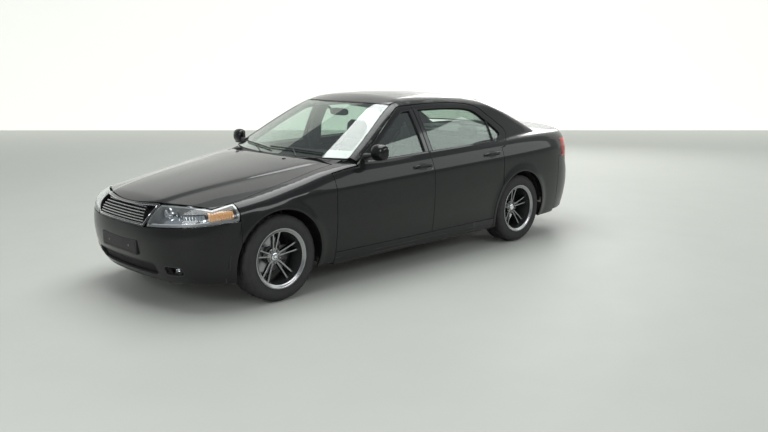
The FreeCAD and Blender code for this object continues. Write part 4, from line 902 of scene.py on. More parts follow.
a.roughness(a.range(a.noise(200, 3), .20, .30))
a.bump(a.noise(700, 2), .03, .0003)
MT["alloy"] = a.m
a = Mat("alloy_dark", (.10, .102, .105), .45, .9)
a.roughness(a.range(a.noise(120, 3), .36, .52))
a.dusty(.15, 22, (.10, .095, .09))
MT["alloy_in"] = a.m
a = Mat("disc_steel", (.42, .42, .43), .30, 1.0)
a.roughness(a.range(a.noise(300, 3), .24, .38))
a.bump(a.noise(160, 3, .5, a.map((1, .2, 1))), .10, .0004)
MT["disc"] = a.m
a = Mat("cast_metal", (.26, .265, .27), .48, .85)
a.bump(a.noise(300, 4, .6), .35, .0008)
a.dusty(.22, 16, (.08, .07, .06))
MT["cast"] = a.m
a = Mat("painted_steel", (.035, .036, .038), .45, .1, .45, .15, .2)
a.bump(a.noise(180, 3), .12, .0006)
a.dusty(.20, 12, (.10, .085, .07))
MT["steel_black"] = a.m
a = Mat("steel", (.50, .49, .47), .36, 1.0)
a.base(a.mix(a.noise(9, 4, .6), (.46, .45, .43), (.30, .25, .20)))
a.roughness(a.range(a.noise(70, 4), .28, .50))
a.bump(a.noise(260, 3), .12, .0005)
MT["steel"] = a.m
a = Mat("radiator_fins", (.11, .115, .12), .5, .8)
a.bump(a.wave(150, bands="Y", profile="TRI"), .8, .002).bump(a.wave(26, bands="Z", profile="TRI"), .6, .004)
a.dusty(.15, 20)
MT["fins"] = a.m
a = Mat("carpet", (.030, .030, .032), .95, 0, .2, sheen=.35)
a.base(a.mix(a.noise(900, 2), (.020, .020, .022), (.060, .060, .064)))
a.bump(a.noise(1300, 3, .7), .9, .0025).bump(a.noise(60, 3), .2, .003)
MT["carpet"] = a.m


def weave(name, dark, light, scale=360.0, sheen=.25):
    a = Mat(name, dark, .86, 0, .25, sheen=sheen)
    v = a.map((1, 1, 1), (8, 24, 45))
    u = a.map((1, 1, 1), (8, 24, -45))
    w1, w2 = a.wave(scale, v, "X"), a.wave(scale, u, "X")
    w = a.math("MAXIMUM", w1, w2)
    f = a.math("MULTIPLY", w, a.range(a.noise(40, 4), .5, 1.0))
    a.base(a.mix(f, dark, light))
    a.bump(w, .5, .0006).bump(a.noise(55, 3), .12, .002)
    return a


MT["cloth"] = weave("seat_cloth", (.052, .053, .056), (.155, .157, .162)).m
MT["cloth_side"] = weave("seat_cloth_side", (.030, .031, .033), (.080, .081, .085), 520).m
MT["headliner"] = weave("headliner_cloth", (.36, .355, .34), (.50, .495, .475), 620).m
a = Mat("soft_trim", (.030, .030, .032), .58, 0, .4)
a.roughness(a.range(a.noise(50, 3), .50, .68))
a.bump(a.voro(420, "Distance"), .35, .0007).bump(a.noise(900, 2), .12, .0004)
a.dusty(.05, 10)
MT["dash"] = a.m
a = Mat("soft_trim_light", (.105, .103, .099), .62, 0, .4)
a.bump(a.voro(420, "Distance"), .35, .0007)
a.dusty(.08, 10, (.2, .2, .19))
MT["dash_light"] = a.m
a = Mat("wheel_leather", (.020, .020, .021), .44, 0, .45)
a.bump(a.voro(560, "Distance"), .45, .0008)
MT["leather"] = a.m
a = Mat("display_black", (.006, .007, .009), .08, 0, .5, 1.0, .01)
a.roughness(a.range(a.noise(12, 2), .06, .12))
MT["display"] = a.m
a = Mat("dial_white", (.75, .75, .73), .4, 0, .4)
a.base(a.mix(a.noise(80, 2), (.72, .72, .70), (.80, .80, .78)))
MT["dial"] = a.m
a = Mat("plate_blank", (.70, .71, .72), .34, .15, .5, .3, .1)
a.base(a.mix(a.noise(12, 4), (.64, .65, .66), (.76, .77, .78)))
a.bump(a.noise(240, 2), .05, .0004)
MT["plate"] = a.m
a = Mat("stitching", (.30, .30, .30), .8)
a.base(a.mix(a.noise(900, 2), (.2, .2, .2), (.42, .42, .42)))
MT["thread"] = a.m
a = Mat("belt_webbing", (.024, .024, .026), .7, 0, .3, sheen=.2)
a.bump(a.wave(420, bands="Z"), .5, .0006).bump(a.wave(420, bands="Y"), .4, .0006)
MT["webbing"] = a.m
a = Mat("filament_glow", (.8, .8, .78), .2, 0)
a.base(a.mix(a.noise(40, 2), (.75, .75, .72), (.88, .88, .86)))
MT["bulb"] = a.m

# carried-over frame pieces
for names, m in ((("side_frames",), "inner"), (("floor_pan", "firewall", "rear_bulkhead", "front_frame"), "under"),
                 (("wheel_liners",), "trim"), (("engine_block", "gearbox", "front_knuckle_left", "front_knuckle_right"), "cast"),
                 (("radiator",), "fins"), (("exhaust",), "steel"), (("fuel_tank",), "trim"),
                 (("front_suspension", "rear_suspension"), "steel_black")):
    for n in names:
        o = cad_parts[n]
        if not o.data.materials:
            o.data.materials.append(MT[m])
        for s in o.material_slots:
            s.material = MT[m]

# ================================================================ camera and studio
CAM = np.array([5.107, 5.594, 1.807])
YAW, PITCH = -2.341, .196
cam_data = bpy.data.cameras.new("camera")
cam_data.lens, cam_data.sensor_width, cam_data.sensor_fit = 38.17, 36.0, "HORIZONTAL"
cam_data.clip_end = 200
cam = bpy.data.objects.new("camera", cam_data)
COLL.objects.link(cam)
look = Vector((math.cos(YAW) * math.cos(PITCH), math.sin(YAW) * math.cos(PITCH), -math.sin(PITCH)))
cam.location = CAM
cam.rotation_euler = look.to_track_quat("-Z", "Y").to_euler()
SCENE.camera = cam


def studio_plane(name, pts, mat):
    me = bpy.data.meshes.new(name)
    me.from_pydata([tuple(p) for p in pts], [], [tuple(range(len(pts)))])
    me.materials.append(mat)
    o = bpy.data.objects.new(name, me)
    COLL.objects.link(o)
    return o


a = Mat("studio_floor", (.52, .535, .50), .55, 0, .30)
# painted light: the floor colour pales with distance from the car, a painted brighter far floor and horizon; the grain
# noise is random tone of the floor
painted_far_light = a.new("ShaderNodeVectorMath", operation="LENGTH")
a.link(a.co, painted_far_light.inputs[0])
painted_far_light = a.math("MULTIPLY", a.math("SUBTRACT", painted_far_light.outputs["Value"], 3.5), .085, clamp=True)
grain = a.mix(a.noise(1.4, 5, .6), (.435, .452, .418), (.470, .487, .452))
a.base(a.mix(painted_far_light, grain, (.80, .825, .775)))
a.roughness(a.range(a.noise(3.0, 4), .48, .62))
studio_plane("floor", [(-60, -60, 0), (60, -60, 0), (60, 60, 0), (-60, 60, 0)], a.m)
a = Mat("studio_wall", (.9, .9, .9), .9, 0, .1, emit=((1.0, 1.0, .955), .60))
a.base(a.mix(a.noise(.5, 3), (.84, .84, .80), (.88, .88, .84)))
fwd = np.array([math.cos(YAW), math.sin(YAW), 0.0])
rgt = np.array([fwd[1], -fwd[0], 0.0])
c0 = np.array([CAM[0], CAM[1], 0]) + fwd * 19.8
wall = [c0 - rgt * 26, c0 + rgt * 26, c0 + rgt * 26 + [0, 0, 13], c0 - rgt * 26 + [0, 0, 13]]
wall_ob = studio_plane("backdrop", wall, a.m)


def area_light(name, at, aim, size, power, color=(1, 1, 1)):
    d = bpy.data.lights.new(name, "AREA")
    d.shape, d.size, d.size_y, d.energy, d.color = "RECTANGLE", size[0], size[1], power, color
    o = bpy.data.objects.new(name, d)
    o.location = at
    o.rotation_euler = (Vector(aim) - Vector(at)).to_track_quat("-Z", "Y").to_euler()
    COLL.objects.link(o)
    return o


area_light("overhead", (0.2, -.6, 6.2), (0.0, 0.0, 0.0), (7.5, 4.2), 420)
area_light("front_fill", (7.5, 2.5, 3.4), (1.5, 0, .6), (3.0, 2.4), 120)
area_light("side_fill", (-1.0, 8.5, 4.6), (0, 0, .7), (6.0, 2.2), 170)
area_light("side_sky", (-9.0, 8.2, 5.6), (0.0, .8, 1.1), (7.0, 5.0), 150, (.93, 1.0, .95))
area_light("rear_fill", (-7.5, -3.5, 4.0), (-1.5, 0, .8), (4.0, 2.5), 160)
world = bpy.data.worlds.new("studio")
SCENE.world = world
world.use_nodes = True
world.node_tree.nodes["Background"].inputs["Color"].default_value = (.80, .84, .88, 1)
world.node_tree.nodes["Background"].inputs["Strength"].default_value = .36
SCENE.view_settings.view_transform = "Standard"
SCENE.view_settings.look = "None"


# ================================================================ lines of the body
GAP = 7.0
X_DF, X_DM, X_DR, Z_SILL, X_LAMP = 1064.0, -42.0, -1012.0, 290.0, 1925.0
FX, RX = 1900.0, -1920.0
L, R = 1.0, -1.0
SIDES = (("left", 1.0), ("right", -1.0))


def z_rail(x):
    return float(ROOF_MID(x)) - 93


def screen_corner(z):
    x = 500.0
    for _ in range(12):
        x = float(SCREEN_X(z) - 3.56e-4 * cabin_side(x, z) ** 2)
    return x, float(cabin_side(x, z))


def back_corner(z):
    x = -1400.0
    for _ in range(12):
        x = float(BACKLIGHT_X(z) + 2.6e-4 * cabin_side(x, z) ** 2)
    return x, float(cabin_side(x, z))


def belt_z(x):
    y = cabin_side(x, 975) + 4
    return top_z(x, y) - 2


def shoulder(x):
    return belt_z(x) - 16


HOOD_Y = Tab((950, 722), (1300, 742), (1600, 757), (1900, 768), (2050, 752), (2200, 705))
ROOF_Y = Tab((-1200, 520), (-600, 552), (-200, 562), (300, 540))
LID_Y, LID_X = 690.0, -1818.0
LID_HALF = Tab((-40, LID_Y), (-5, LID_Y), (15, 684), (30, 667), (42, 648), (52, 634), (62, 626), (75, 625), (110, 625))
BUMP_TOP = Tab((0, 598), (30, 598), (40, 606), (60, 622), (88, 652))
REAR_TOP = Tab((0, 704), (57, 704), (66, 728), (77, 768), (88, 790))
LAMP_IN, LAMP_OUT, LAMP_TOP = 59.8, 84.0, 962.0


def hood_front(y):
    return 2322 - 470 * (np.abs(y) / 1000) ** 2.2


def hood_rear(y):
    return 1090 - 110 * (y / 700) ** 2


def fold_point(a, y):
    r = np.radians(np.asarray(a, float))
    o = col3(-1990, y, 830)
    o, r = np.broadcast_to(o, (max(len(o), r.size), 3)), np.broadcast_to(r.ravel(), (max(len(o), r.size),))
    return solve(f_low, o, np.stack([-np.sin(r), 0 * r, np.cos(r)], 1), 0, 900)


def curve(pts, step=9.0):
    """Smooth line through points."""
    p = [np.asarray(q, float) for q in pts]
    p = [2 * p[0] - p[1]] + p + [2 * p[-1] - p[-2]]
    out = []
    for i in range(1, len(p) - 2):
        a, b, c, d = p[i - 1:i + 3]
        n = max(1, int(math.ceil(np.linalg.norm(c - b) / step)))
        l0, l1, l2 = (max(np.linalg.norm(v), 1e-6) ** .5 for v in (b - a, c - b, d - c))
        m1 = (c - b) - l1 * ((c - a) / (l0 + l1) - (b - a) / l0)
        m1 = l1 * ((b - a) / l0 - (c - a) / (l0 + l1) + (c - b) / l1)
        m2 = l1 * ((c - b) / l1 - (d - b) / (l1 + l2) + (d - c) / l2)
        for k in range(n):
            t = k / n
            out.append((2 * t ** 3 - 3 * t ** 2 + 1) * b + (t ** 3 - 2 * t ** 2 + t) * m1
                       + (-2 * t ** 3 + 3 * t ** 2) * c + (t ** 3 - t ** 2) * m2)
    out.append(p[-2])
    return np.array(out)


def arc(xc, zc, r, a0, a1, step=3.0):
    n = max(2, int(abs(a1 - a0) / step))
    a = np.radians(np.linspace(a0, a1, n + 1))
    return np.stack([xc + r * np.cos(a), zc + r * np.sin(a)], 1)


def side(xz, f=f_body, step=9.0, smooth=False):
    q = curve(xz, step) if smooth else dense(xz, step)
    return lateral(q[:, 0], q[:, 1], f)


def surf_off(f, p, d):
    return p + grad(f, p) * d


class Pol:
    """Sheet (angle about an upright line, height); for the bumpers."""

    def __init__(self, f, x0, back=False, r=480.0):
        self.f, self.x0, self.r, self.s = f, x0, r, -1.0 if back else 1.0

    def flat(self, p):
        return np.stack([self.r * np.arctan2(p[:, 1], self.s * (p[:, 0] - self.x0)), p[:, 2]], 1)

    def solid(self, q):
        a = q[:, 0] / self.r
        o = col3(self.x0, 0, q[:, 1])
        return solve(self.f, o, np.stack([self.s * np.cos(a), np.sin(a), 0 * a], 1), 100, 1500)


def crease_rows(x0, x1, f=f_body, offs=(-26, -13, -6, 0, 6, 13, 26), step=13.0):
    x = np.arange(x0, x1, step)
    return np.concatenate([lateral(x, CREASE_Z(x) + o, f) for o in offs])


def arch_rings(xa, offs=(9, 22, 38, 58), a0=-8, a1=188):
    a = np.radians(np.arange(a0, a1, 2.4))
    pts = []
    for o in offs:
        pts.append(lateral(xa + (ARCH_R + o) * np.cos(a), TYRE_R + (ARCH_R + o) * np.sin(a), f_low))
    return np.concatenate(pts)


def panel_at(name, chart, outer, body, mat, slot, holes=(), feature=(), **kw):
    """panel with outlines given as points on the surface."""
    fl = [(chart.flat(np.asarray(p)), r) for p, r in feature]
    return panel(name, chart, chart.flat(np.asarray(outer)), body, mat, slot,
                 holes=[chart.flat(np.asarray(h)) for h in holes], feature=fl, **kw)


PAINT, INNER = MT["paint"], MT["inner"]
DOORS = ("front_door_left", "front_door_right")
RDOORS = ("rear_door_left", "rear_door_right")
SHELL = ("body_shell", "body_shell")

# ---- doors
F_OUT = [(775, 945), (716, 1000), (553, 1100), (395, 1200), (235, 1298), (120, z_rail(120)), (40, z_rail(40)),
         (-38.5, z_rail(-39))]
F_IN = [(640, 1003), (487, 1100), (332, 1199), (190, 1278), (108, z_rail(108) - 37), (50, z_rail(50) - 38),
        (5, z_rail(5) - 38)]
R_OUT = [(-45.5, z_rail(-45)), (-300, z_rail(-300)), (-600, z_rail(-600)), (-720, z_rail(-720) - 2), (-806, z_rail(-806) - 10),
         (-905, 1316), (-1010, 1240), (-1120, 1152), (-1186, 1094), (-1191, 1060), (-1130, 1003), (-1052, 956)]
R_IN = [(-90, z_rail(-90) - 38), (-300, z_rail(-300) - 38), (-590, z_rail(-590) - 38), (-765, z_rail(-765) - 46),
        (-850, 1282), (-950, 1207), (-1050, 1125)]


def belt_line(x0, x1, up):
    x = np.linspace(x0, x1, max(3, int(abs(x1 - x0) / 12)))
    return np.stack([x, belt_z(x) + up], 1)


sh = belt_line(1060.5, 782, -24)
f_edge = np.concatenate([dense([(-38.5, z_rail(-39)), (-38.5, Z_SILL)], 10)[:-1],
                         dense(fillet([(-38.5, Z_SILL), (1060.5, Z_SILL), tuple(sh[0])], [6, 6, 0])[0:], 10)[:0],
                         dense([(-38.5, Z_SILL), (1060.5, Z_SILL)], 10)[:-1],
                         dense([(1060.5, Z_SILL), tuple(sh[0])], 10)[:-1], sh, curve(F_OUT, 10)[:-1]])
win_f = np.concatenate([belt_line(5, 676, 9), curve([(676, float(belt_z(676)) + 9)] + F_IN, 9)[1:-1],
                        dense([F_IN[-1], (5, float(belt_z(5)) + 9)], 10)[:-1]])


def round_corners(poly, r):
    """Rounds the sharp corners of a dense closed line."""
    p = np.asarray(poly, float)
    a = p - np.roll(p, 1, 0)
    b = np.roll(p, -1, 0) - p
    ang = np.degrees(np.arccos(np.clip((a * b).sum(1) / np.maximum(np.linalg.norm(a, axis=1) * np.linalg.norm(b, axis=1), 1e-9), -1, 1)))
    corners = [i for i in range(len(p)) if ang[i] > 22]
    if not corners:
        return p
    seg = []
    n = len(p)
    for c, nxt in zip(corners, corners[1:] + [corners[0] + n]):
        seg.append([p[i % n] for i in range(c, nxt)])
    out = []
    for i, s in enumerate(seg):
        prev = seg[i - 1]
        c = s[0]
        back = [q for q in prev if np.linalg.norm(q - c) > r][-1:]
        fore = [q for q in s[1:] if np.linalg.norm(q - c) > r][:1]
        out.append((c, back[0] if back else prev[-1], fore[0] if fore else s[min(1, len(s) - 1)]))
    res = []
    for i, s in enumerate(seg):
        c, bk, fo = out[i]
        nc = out[(i + 1) % len(out)][0]
        bk = c + (bk - c) / max(np.linalg.norm(bk - c), 1e-9) * r
        fo = c + (fo - c) / max(np.linalg.norm(fo - c), 1e-9) * r
        for k in range(5):
            t = k / 4
            res.append((1 - t) ** 2 * bk + 2 * t * (1 - t) * c + t * t * fo)
        res += [q for q in s[1:] if np.linalg.norm(q - c) > r * 1.05 and np.linalg.norm(q - nc) > r * 1.05]
    return np.array(res)


DCH = Sec(f_body, 300, 700)


def door_depth(p):
    """How deep a door is behind its outer face."""
    k = np.clip((p[:, 2] - 935) / 60, 0, 1)
    low = np.where(p[:, 0] > 960, 48, np.where((p[:, 0] > -130) & (p[:, 0] < -45), 48, 66))
    return low * (1 - k) + 33 * k


f_poly = round_corners(f_edge, 7)
wf_poly = round_corners(win_f, 16)
made = panel_at("front_door", DCH, lateral(f_poly[:, 0], f_poly[:, 1]), DOORS, PAINT, "body_paint",
                holes=[lateral(wf_poly[:, 0], wf_poly[:, 1])], h=19, t=66, rim_depth=door_depth, edge=1.6,
                feature=[(crease_rows(-30, 1058), 9)], both=True, back_mat=INNER,
                replaces=(("front_door_left",), ("front_door_right",)))

ra = [(X_REAR + math.sqrt(406.0 ** 2 - (z - TYRE_R) ** 2), z) for z in np.linspace(Z_SILL, 602, 30)]
ra = [(max(x, X_DR + 3.5), z) for x, z in ra]
r_edge = np.concatenate([dense([(ra[0][0], Z_SILL), (-45.5, Z_SILL)], 10)[:-1],
                         dense([(-45.5, Z_SILL), (-45.5, z_rail(-45))], 10)[:-1], curve(R_OUT, 10)[:-1],
                         dense([(-1052, 956), (X_DR + 3.5, 951)], 9)[:-1], dense([(X_DR + 3.5, 951), ra[-1]], 10)[:-1],
                         np.array(ra[::-1])[:-1]])
win_r = np.concatenate([curve(R_IN, 9), curve([(-1095, 1082), (-1092, 1060), (-1050, 1030), (-990, 1000), (-930, float(belt_z(-930)) + 11)], 9)[:-1],
                        belt_line(-930, -90, 9)[:-1], dense([(-90, float(belt_z(-90)) + 9), R_IN[0]], 10)[:-1]])
r_poly = round_corners(r_edge, 7)
wr_poly = round_corners(win_r, 16)
panel_at("rear_door", DCH, lateral(r_poly[:, 0], r_poly[:, 1]), RDOORS, PAINT, "body_paint",
         holes=[lateral(wr_poly[:, 0], wr_poly[:, 1])], h=19, t=66, rim_depth=door_depth, edge=1.6,
         feature=[(crease_rows(-1004, -50), 9), (arch_rings(X_REAR, (38, 52, 70, 92), 0, 60), 9)], both=True, back_mat=INNER,
         replaces=(("rear_door_left",), ("rear_door_right",)))

# ---- body side: sill, quarter, tail corner, roof rail and pillars in one pressing
k60 = math.degrees(math.asin((283 - TYRE_R) / 399.0))
door_arc = arc(X_REAR, TYRE_R, 399, k60, math.degrees(math.asin((602 - TYRE_R) / 399.0)), 2.5)
door_arc[:, 0] = np.maximum(door_arc[:, 0], X_DR - 3.5)
arch_lo = -math.degrees(math.asin((TYRE_R - 188) / ARCH_R))
arch = arc(X_REAR, TYRE_R, ARCH_R, 180 + math.degrees(math.asin((TYRE_R - 205) / ARCH_R)), arch_lo, 2.2)
xz1 = np.concatenate([dense([(1060.5, 188), (1060.5, 283)], 10)[:-1], dense([(1060.5, 283), tuple(door_arc[0])], 12)[:-1],
                      door_arc[:-1], dense([tuple(door_arc[-1]), (X_DR - 3.5, 945)], 10)[:-1],
                      dense([(X_DR - 3.5, 945), (-1056, 949), (-1136, 997)], 9)[:-1],
                      curve([(-1136, 997), (-1197, 1053), (-1194, 1100), (-1126, 1160), (-1016, 1248), (-911, 1324),
                             (-812, z_rail(-812) - 1), (-722, z_rail(-722) + 6), (-600, z_rail(-600) + 8),
                             (-300, z_rail(-300) + 8)], 10)[:-1],
                      curve([(-300, z_rail(-300) + 8), (-42, z_rail(-42) + 8), (40, z_rail(40) + 8), (122, z_rail(122) + 8),
                             (241, 1305), (402, 1206), (560, 1106), (723, 1006), (784, 974)], 10)])
p1 = lateral(xz1[:, 0], xz1[:, 1])
z_s = np.linspace(1000, 1385, 34)
sc = np.array([screen_corner(z) for z in z_s])
p_s = ahead(sc[:, 1] - 44, z_s, 1)
x_r = np.linspace(66, -1012, 80)
p_r = upward(x_r, ROOF_Y(x_r) + 5, f_cabin, 1100)
z_b = np.concatenate([np.linspace(1392, 1112, 30)])
bc = np.array([back_corner(z) for z in z_b])
p_b = ahead(bc[:, 1] - np.where(z_b > 1380, 44, 54), z_b, -1)
p_deck = upward(np.linspace(p_b[-1][0] - 8, LID_X + GAP, 14)[1:], np.linspace(p_b[-1][1], LID_Y + GAP, 14)[1:], f_body, 700)
bb = np.linspace(-33.5, 61.5, 70)
p_lid = fold_point(bb, LID_HALF(bb) + GAP + 1)
la = np.linspace(LAMP_IN, LAMP_OUT + .6, 34)
p_lt = polar(RX, 180 - la, LAMP_TOP + GAP)
zz = np.linspace(LAMP_TOP + GAP, float(REAR_TOP(LAMP_OUT)) + GAP, 20)[1:-1]
p_lo = polar(RX, np.full(len(zz), 180 - LAMP_OUT - .6), zz)
ba = np.linspace(LAMP_OUT + .6, 88.6, 5)
p_bt = polar(RX, 180 - ba, REAR_TOP(ba) + GAP)
x_end = float(p_bt[-1][0])
low = dense([(x_end, float(REAR_TOP(88)) - 2), (x_end, 205), (float(arch[0][0]), 205)], 11)[:-1]
p_low = lateral(low[:, 0], low[:, 1])
p_arch = lateral(arch[:, 0], arch[:, 1])
p_sill = side([tuple(arch[-1]), (1060.5, 188)], step=12)[1:-1]
body_side = np.concatenate([p1, p_s, p_r, p_b, p_deck, p_lid, p_lt, p_lo, p_bt, p_low, p_arch, p_sill])
BCH = Sec(f_body, 250, 750)
panel_at("body_side", BCH, body_side, SHELL, PAINT, "body_paint", h=19, t=17, edge=1.6,
         feature=[(crease_rows(x_end + 10, -1020), 9), (arch_rings(X_REAR, (9, 20, 34, 52), -10, 190), 9)], both=True,
         back_mat=INNER, replaces=(("rear_quarter_panels",), ()))

# ---- front fender
fa0 = 180 + math.degrees(math.asin((TYRE_R - 205) / ARCH_R))
fa1 = math.degrees(math.acos((1922 - X_FRONT) / ARCH_R))
farch = arc(X_FRONT, TYRE_R, ARCH_R, fa0, fa1, 2.2)
p_bot = side([(1067.5, 205), tuple(farch[0])], f_low, 10)[:-1]
p_ar = lateral(farch[:, 0], farch[:, 1], f_low)
yh = float(HOOD_Y(1922)) + GAP
top1 = upward(1922, yh)[0]
a_lo, a_hi = math.atan2(float(farch[-1][1]) - 600, float(p_ar[-1][1]) - 450), math.atan2(top1[2] - 600, top1[1] - 450)
aa = np.linspace(a_lo, a_hi, 40)[1:-1]
p_fr = solve(f_low, col3(1922, 450, 600).repeat(len(aa), 0), np.stack([0 * aa, np.cos(aa), np.sin(aa)], 1), 20, 1500)
xs = np.linspace(1922, 800, 110)
p_tp = upward(xs, HOOD_Y(np.maximum(xs, 950)) + GAP)
p_tb = side([(800, float(shoulder(800)) + 1)] + [(x, float(shoulder(x)) + 1) for x in np.linspace(830, 1067.5, 14)], f_low, 9)
lo_t = p_tb[0]
ends = p_tp[-1]
aa = np.linspace(math.atan2(ends[2] - 600, ends[1] - 450), math.atan2(lo_t[2] - 600, lo_t[1] - 450), 10)[1:-1]
p_te = solve(f_low, col3(800, 450, 600).repeat(len(aa), 0), np.stack([0 * aa, np.cos(aa), np.sin(aa)], 1), 20, 1500)
p_rr = side([(1067.5, float(shoulder(1067.5)) - 4), (1067.5, 205)], f_low, 10)[:-1]
panel_at("front_fender", Sec(f_low, 450, 600), np.concatenate([p_bot, p_ar, p_fr, p_tp, p_te, p_tb, p_rr]), SHELL, PAINT,
         "body_paint", h=18, t=17, edge=1.6, feature=[(crease_rows(1075, 1915, f_low), 9), (arch_rings(X_FRONT, (9, 20, 34, 52), -8, 190), 9)],
         both=True, back_mat=INNER, replaces=(("front_fenders",), ()))

# ---- bonnet
ss = np.linspace(-1, 1, 90)


def hood_pt(s, u):
    y0 = 740 * s
    x = hood_rear(y0) + (hood_front(y0) - hood_rear(y0)) * u
    return np.stack([x, HOOD_Y(x) * s], 1)


edge_r = hood_pt(ss, 0)
edge_f = hood_pt(ss[::-1], 1)
uu = np.linspace(0, 1, 80)[1:-1]
sd = hood_pt(np.ones(len(uu)), uu)
sg = hood_pt(-np.ones(len(uu)), uu[::-1])
hood_xy = round_corners(np.concatenate([edge_r, sd, edge_f, sg]), 16)
hx = np.arange(1100, 2300, 13.0)
ridge = np.concatenate([np.stack([hx, k * (ridge_y(hx) + o)], 1) for k in (-1, 1) for o in (-40, -26, -14, -5, 5, 14, 26, 40)])
panel("hood_panel", Up(f_low, 400), hood_xy, "hood", PAINT, "body_paint", h=22, t=20, edge=1.8, feature=[(ridge, 9)],
      back_mat=INNER, replaces=("hood",))

# ---- roof
u = np.linspace(0, 1, 60)
y0 = 548.0
xf, xr = 262 - 3.56e-4 * y0 * y0, -1118 + 2.6e-4 * y0 * y0
xs = xf + (xr - xf) * u
sidel = np.stack([xs, ROOF_Y(xs)], 1)
sy = np.linspace(1, -1, 50)
rear = np.stack([-1118 + 2.6e-4 * (y0 * sy) ** 2, ROOF_Y(-1118 + 2.6e-4 * (y0 * sy) ** 2) * sy], 1)[1:-1]
front = np.stack([262 - 3.56e-4 * (y0 * sy[::-1]) ** 2, ROOF_Y(262 - 3.56e-4 * (y0 * sy[::-1]) ** 2) * sy[::-1]], 1)[1:-1]
roof_xy = np.concatenate([sidel, rear, sidel[::-1] * [1, -1], front])
panel("roof_panel_skin", Up(f_cabin, 1100), roof_xy, "body_shell", PAINT, "body_paint", h=26, t=16, edge=1.5, lift=-.5, back_mat=INNER,
      replaces=("roof_panel",))

# ---- boot lid
LCH = Fold(f_low, -1990, 830, 420)
ba = np.linspace(-33.8, 106.5, 110)
lp = fold_point(ba, LID_HALF(ba))
lp[0] = upward(LID_X, LID_Y)[0]
yy = np.linspace(1, -1, 80)[1:-1]
l_top = upward(np.full(len(yy), LID_X), LID_Y * yy)
end_y = float(LID_HALF(106.5))
l_bot = ahead(end_y * yy[::-1], 712, -1, f_low, -1200)
lpb = lp[::-1].copy()
lp_ = np.concatenate([l_top[::-1] * [1, 1, 1], lp, l_bot[::-1], (lp * [1, -1, 1])[::-1]])
lid_flat = LCH.flat(lp_)
plate_hole = ahead(np.array([-262, 262, 262, -262.0]), np.array([742, 742, 866, 866.0]), -1, f_low, -1200)
lid_flat = round_corners(lid_flat, 12)
pl = np.array(fillet(LCH.flat(plate_hole), 14))
panel("lid_panel", LCH, lid_flat, "trunk_lid", PAINT, "body_paint", holes=[dense(list(pl) + [pl[0]], 12)[:-1]], h=19, t=18, edge=1.8,
      feature=[(LCH.flat(fold_point(np.tile(np.linspace(30, 75, 12), 100), np.repeat(np.linspace(-600, 600, 100), 12))), 8)],
      back_mat=INNER, replaces=("trunk_lid",))
# deck strip between backlight and lid
yy = np.linspace(1, -1, 60)
yc = float(p_b[-1][1])
d_front = ahead(yc * yy, 1110, -1)
d_front[:, 0] -= 3
d_front = upward(d_front[:, 0], d_front[:, 1], f_body, 700)
d_rear = upward(np.full(60, LID_X + GAP), (LID_Y + 4) * yy[::-1], f_low, 500)
mid = p_deck[:-1]
panel("rear_deck", Up(f_low, 500), np.concatenate([d_front[:, :2], (mid * [1, -1, 1])[:, :2] + [0, 5], d_rear[:, :2], mid[::-1][:, :2] - [0, 5]]),
      "body_shell", PAINT, "body_paint", h=18, t=12, edge=1.2, lift=.6, back_mat=INNER)

# ---- bumpers
FCH, RCH = Pol(f_low, FX), Pol(f_low, RX, True)


def bumper_line(chart, top, half, zlo, arch_x=None):
    a = np.radians(np.linspace(-half, half, 190))
    up = np.stack([chart.r * a, top(np.abs(np.degrees(a)))], 1)
    lo = np.stack([chart.r * a[::-1], np.full(len(a), zlo)], 1)
    return up, lo


up, lo = bumper_line(FCH, BUMP_TOP, 88.3, 198)
# rear ends follow the wheel arches
z_end = np.linspace(200, 652, 60)
xa = X_FRONT + np.sqrt(np.maximum(ARCH_R ** 2 - (z_end - TYRE_R) ** 2, 0))
xa = np.maximum(xa, 1927)
e = lateral(xa, z_end, f_low)
ef = FCH.flat(e)
fb = np.concatenate([up[np.abs(up[:, 0]) < ef[-1, 0] - 4], ef[::-1], lo[np.abs(lo[:, 0]) < ef[0, 0] - 4], ef * [-1, 1]])
intake = FCH.flat(ahead(np.array([-425, 425, 425, -425.0]), np.array([253, 253, 347, 347.0]), 1, f_low, 0))
ik = np.array(fillet(intake, [22, 22, 30, 30]))
fogs = []
for k in (1, -1):
    q = FCH.flat(ahead(np.array([500, 640, 640, 500.0]) * k, np.array([266, 266, 338, 338.0]), 1, f_low, 0))
    q = np.array(fillet(q, [20, 26, 30, 20]))
    fogs.append(dense(list(q) + [q[0]], 12)[:-1])
pad = []
panel("front_bumper_skin", FCH, fb, "body_shell", PAINT, "body_paint", holes=[dense(list(ik) + [ik[0]], 12)[:-1], *fogs], h=18,
      t=18, edge=1.8, back_mat=INNER, replaces=("front_bumper",),
      feature=[(FCH.flat(arch_rings(X_FRONT, (9, 20, 34), -14, 30)), 9)])
up, lo = bumper_line(RCH, REAR_TOP, 88.2, 234)
z_end = np.linspace(234, float(REAR_TOP(88.2)), 40)
rb = np.concatenate([up, np.stack([np.full(38, up[-1, 0]), z_end[::-1][1:-1]], 1), lo, np.stack([np.full(38, up[0, 0]), z_end[1:-1]], 1)])
pip = RCH.flat(ahead(np.array([425, 555, 555, 425.0]), np.array([228, 228, 262, 262.0]), -1, f_low, -1200))
panel("rear_bumper_skin", RCH, rb, "body_shell", PAINT, "body_paint", h=18, t=18, edge=1.8, back_mat=INNER,
      replaces=("rear_bumper",))
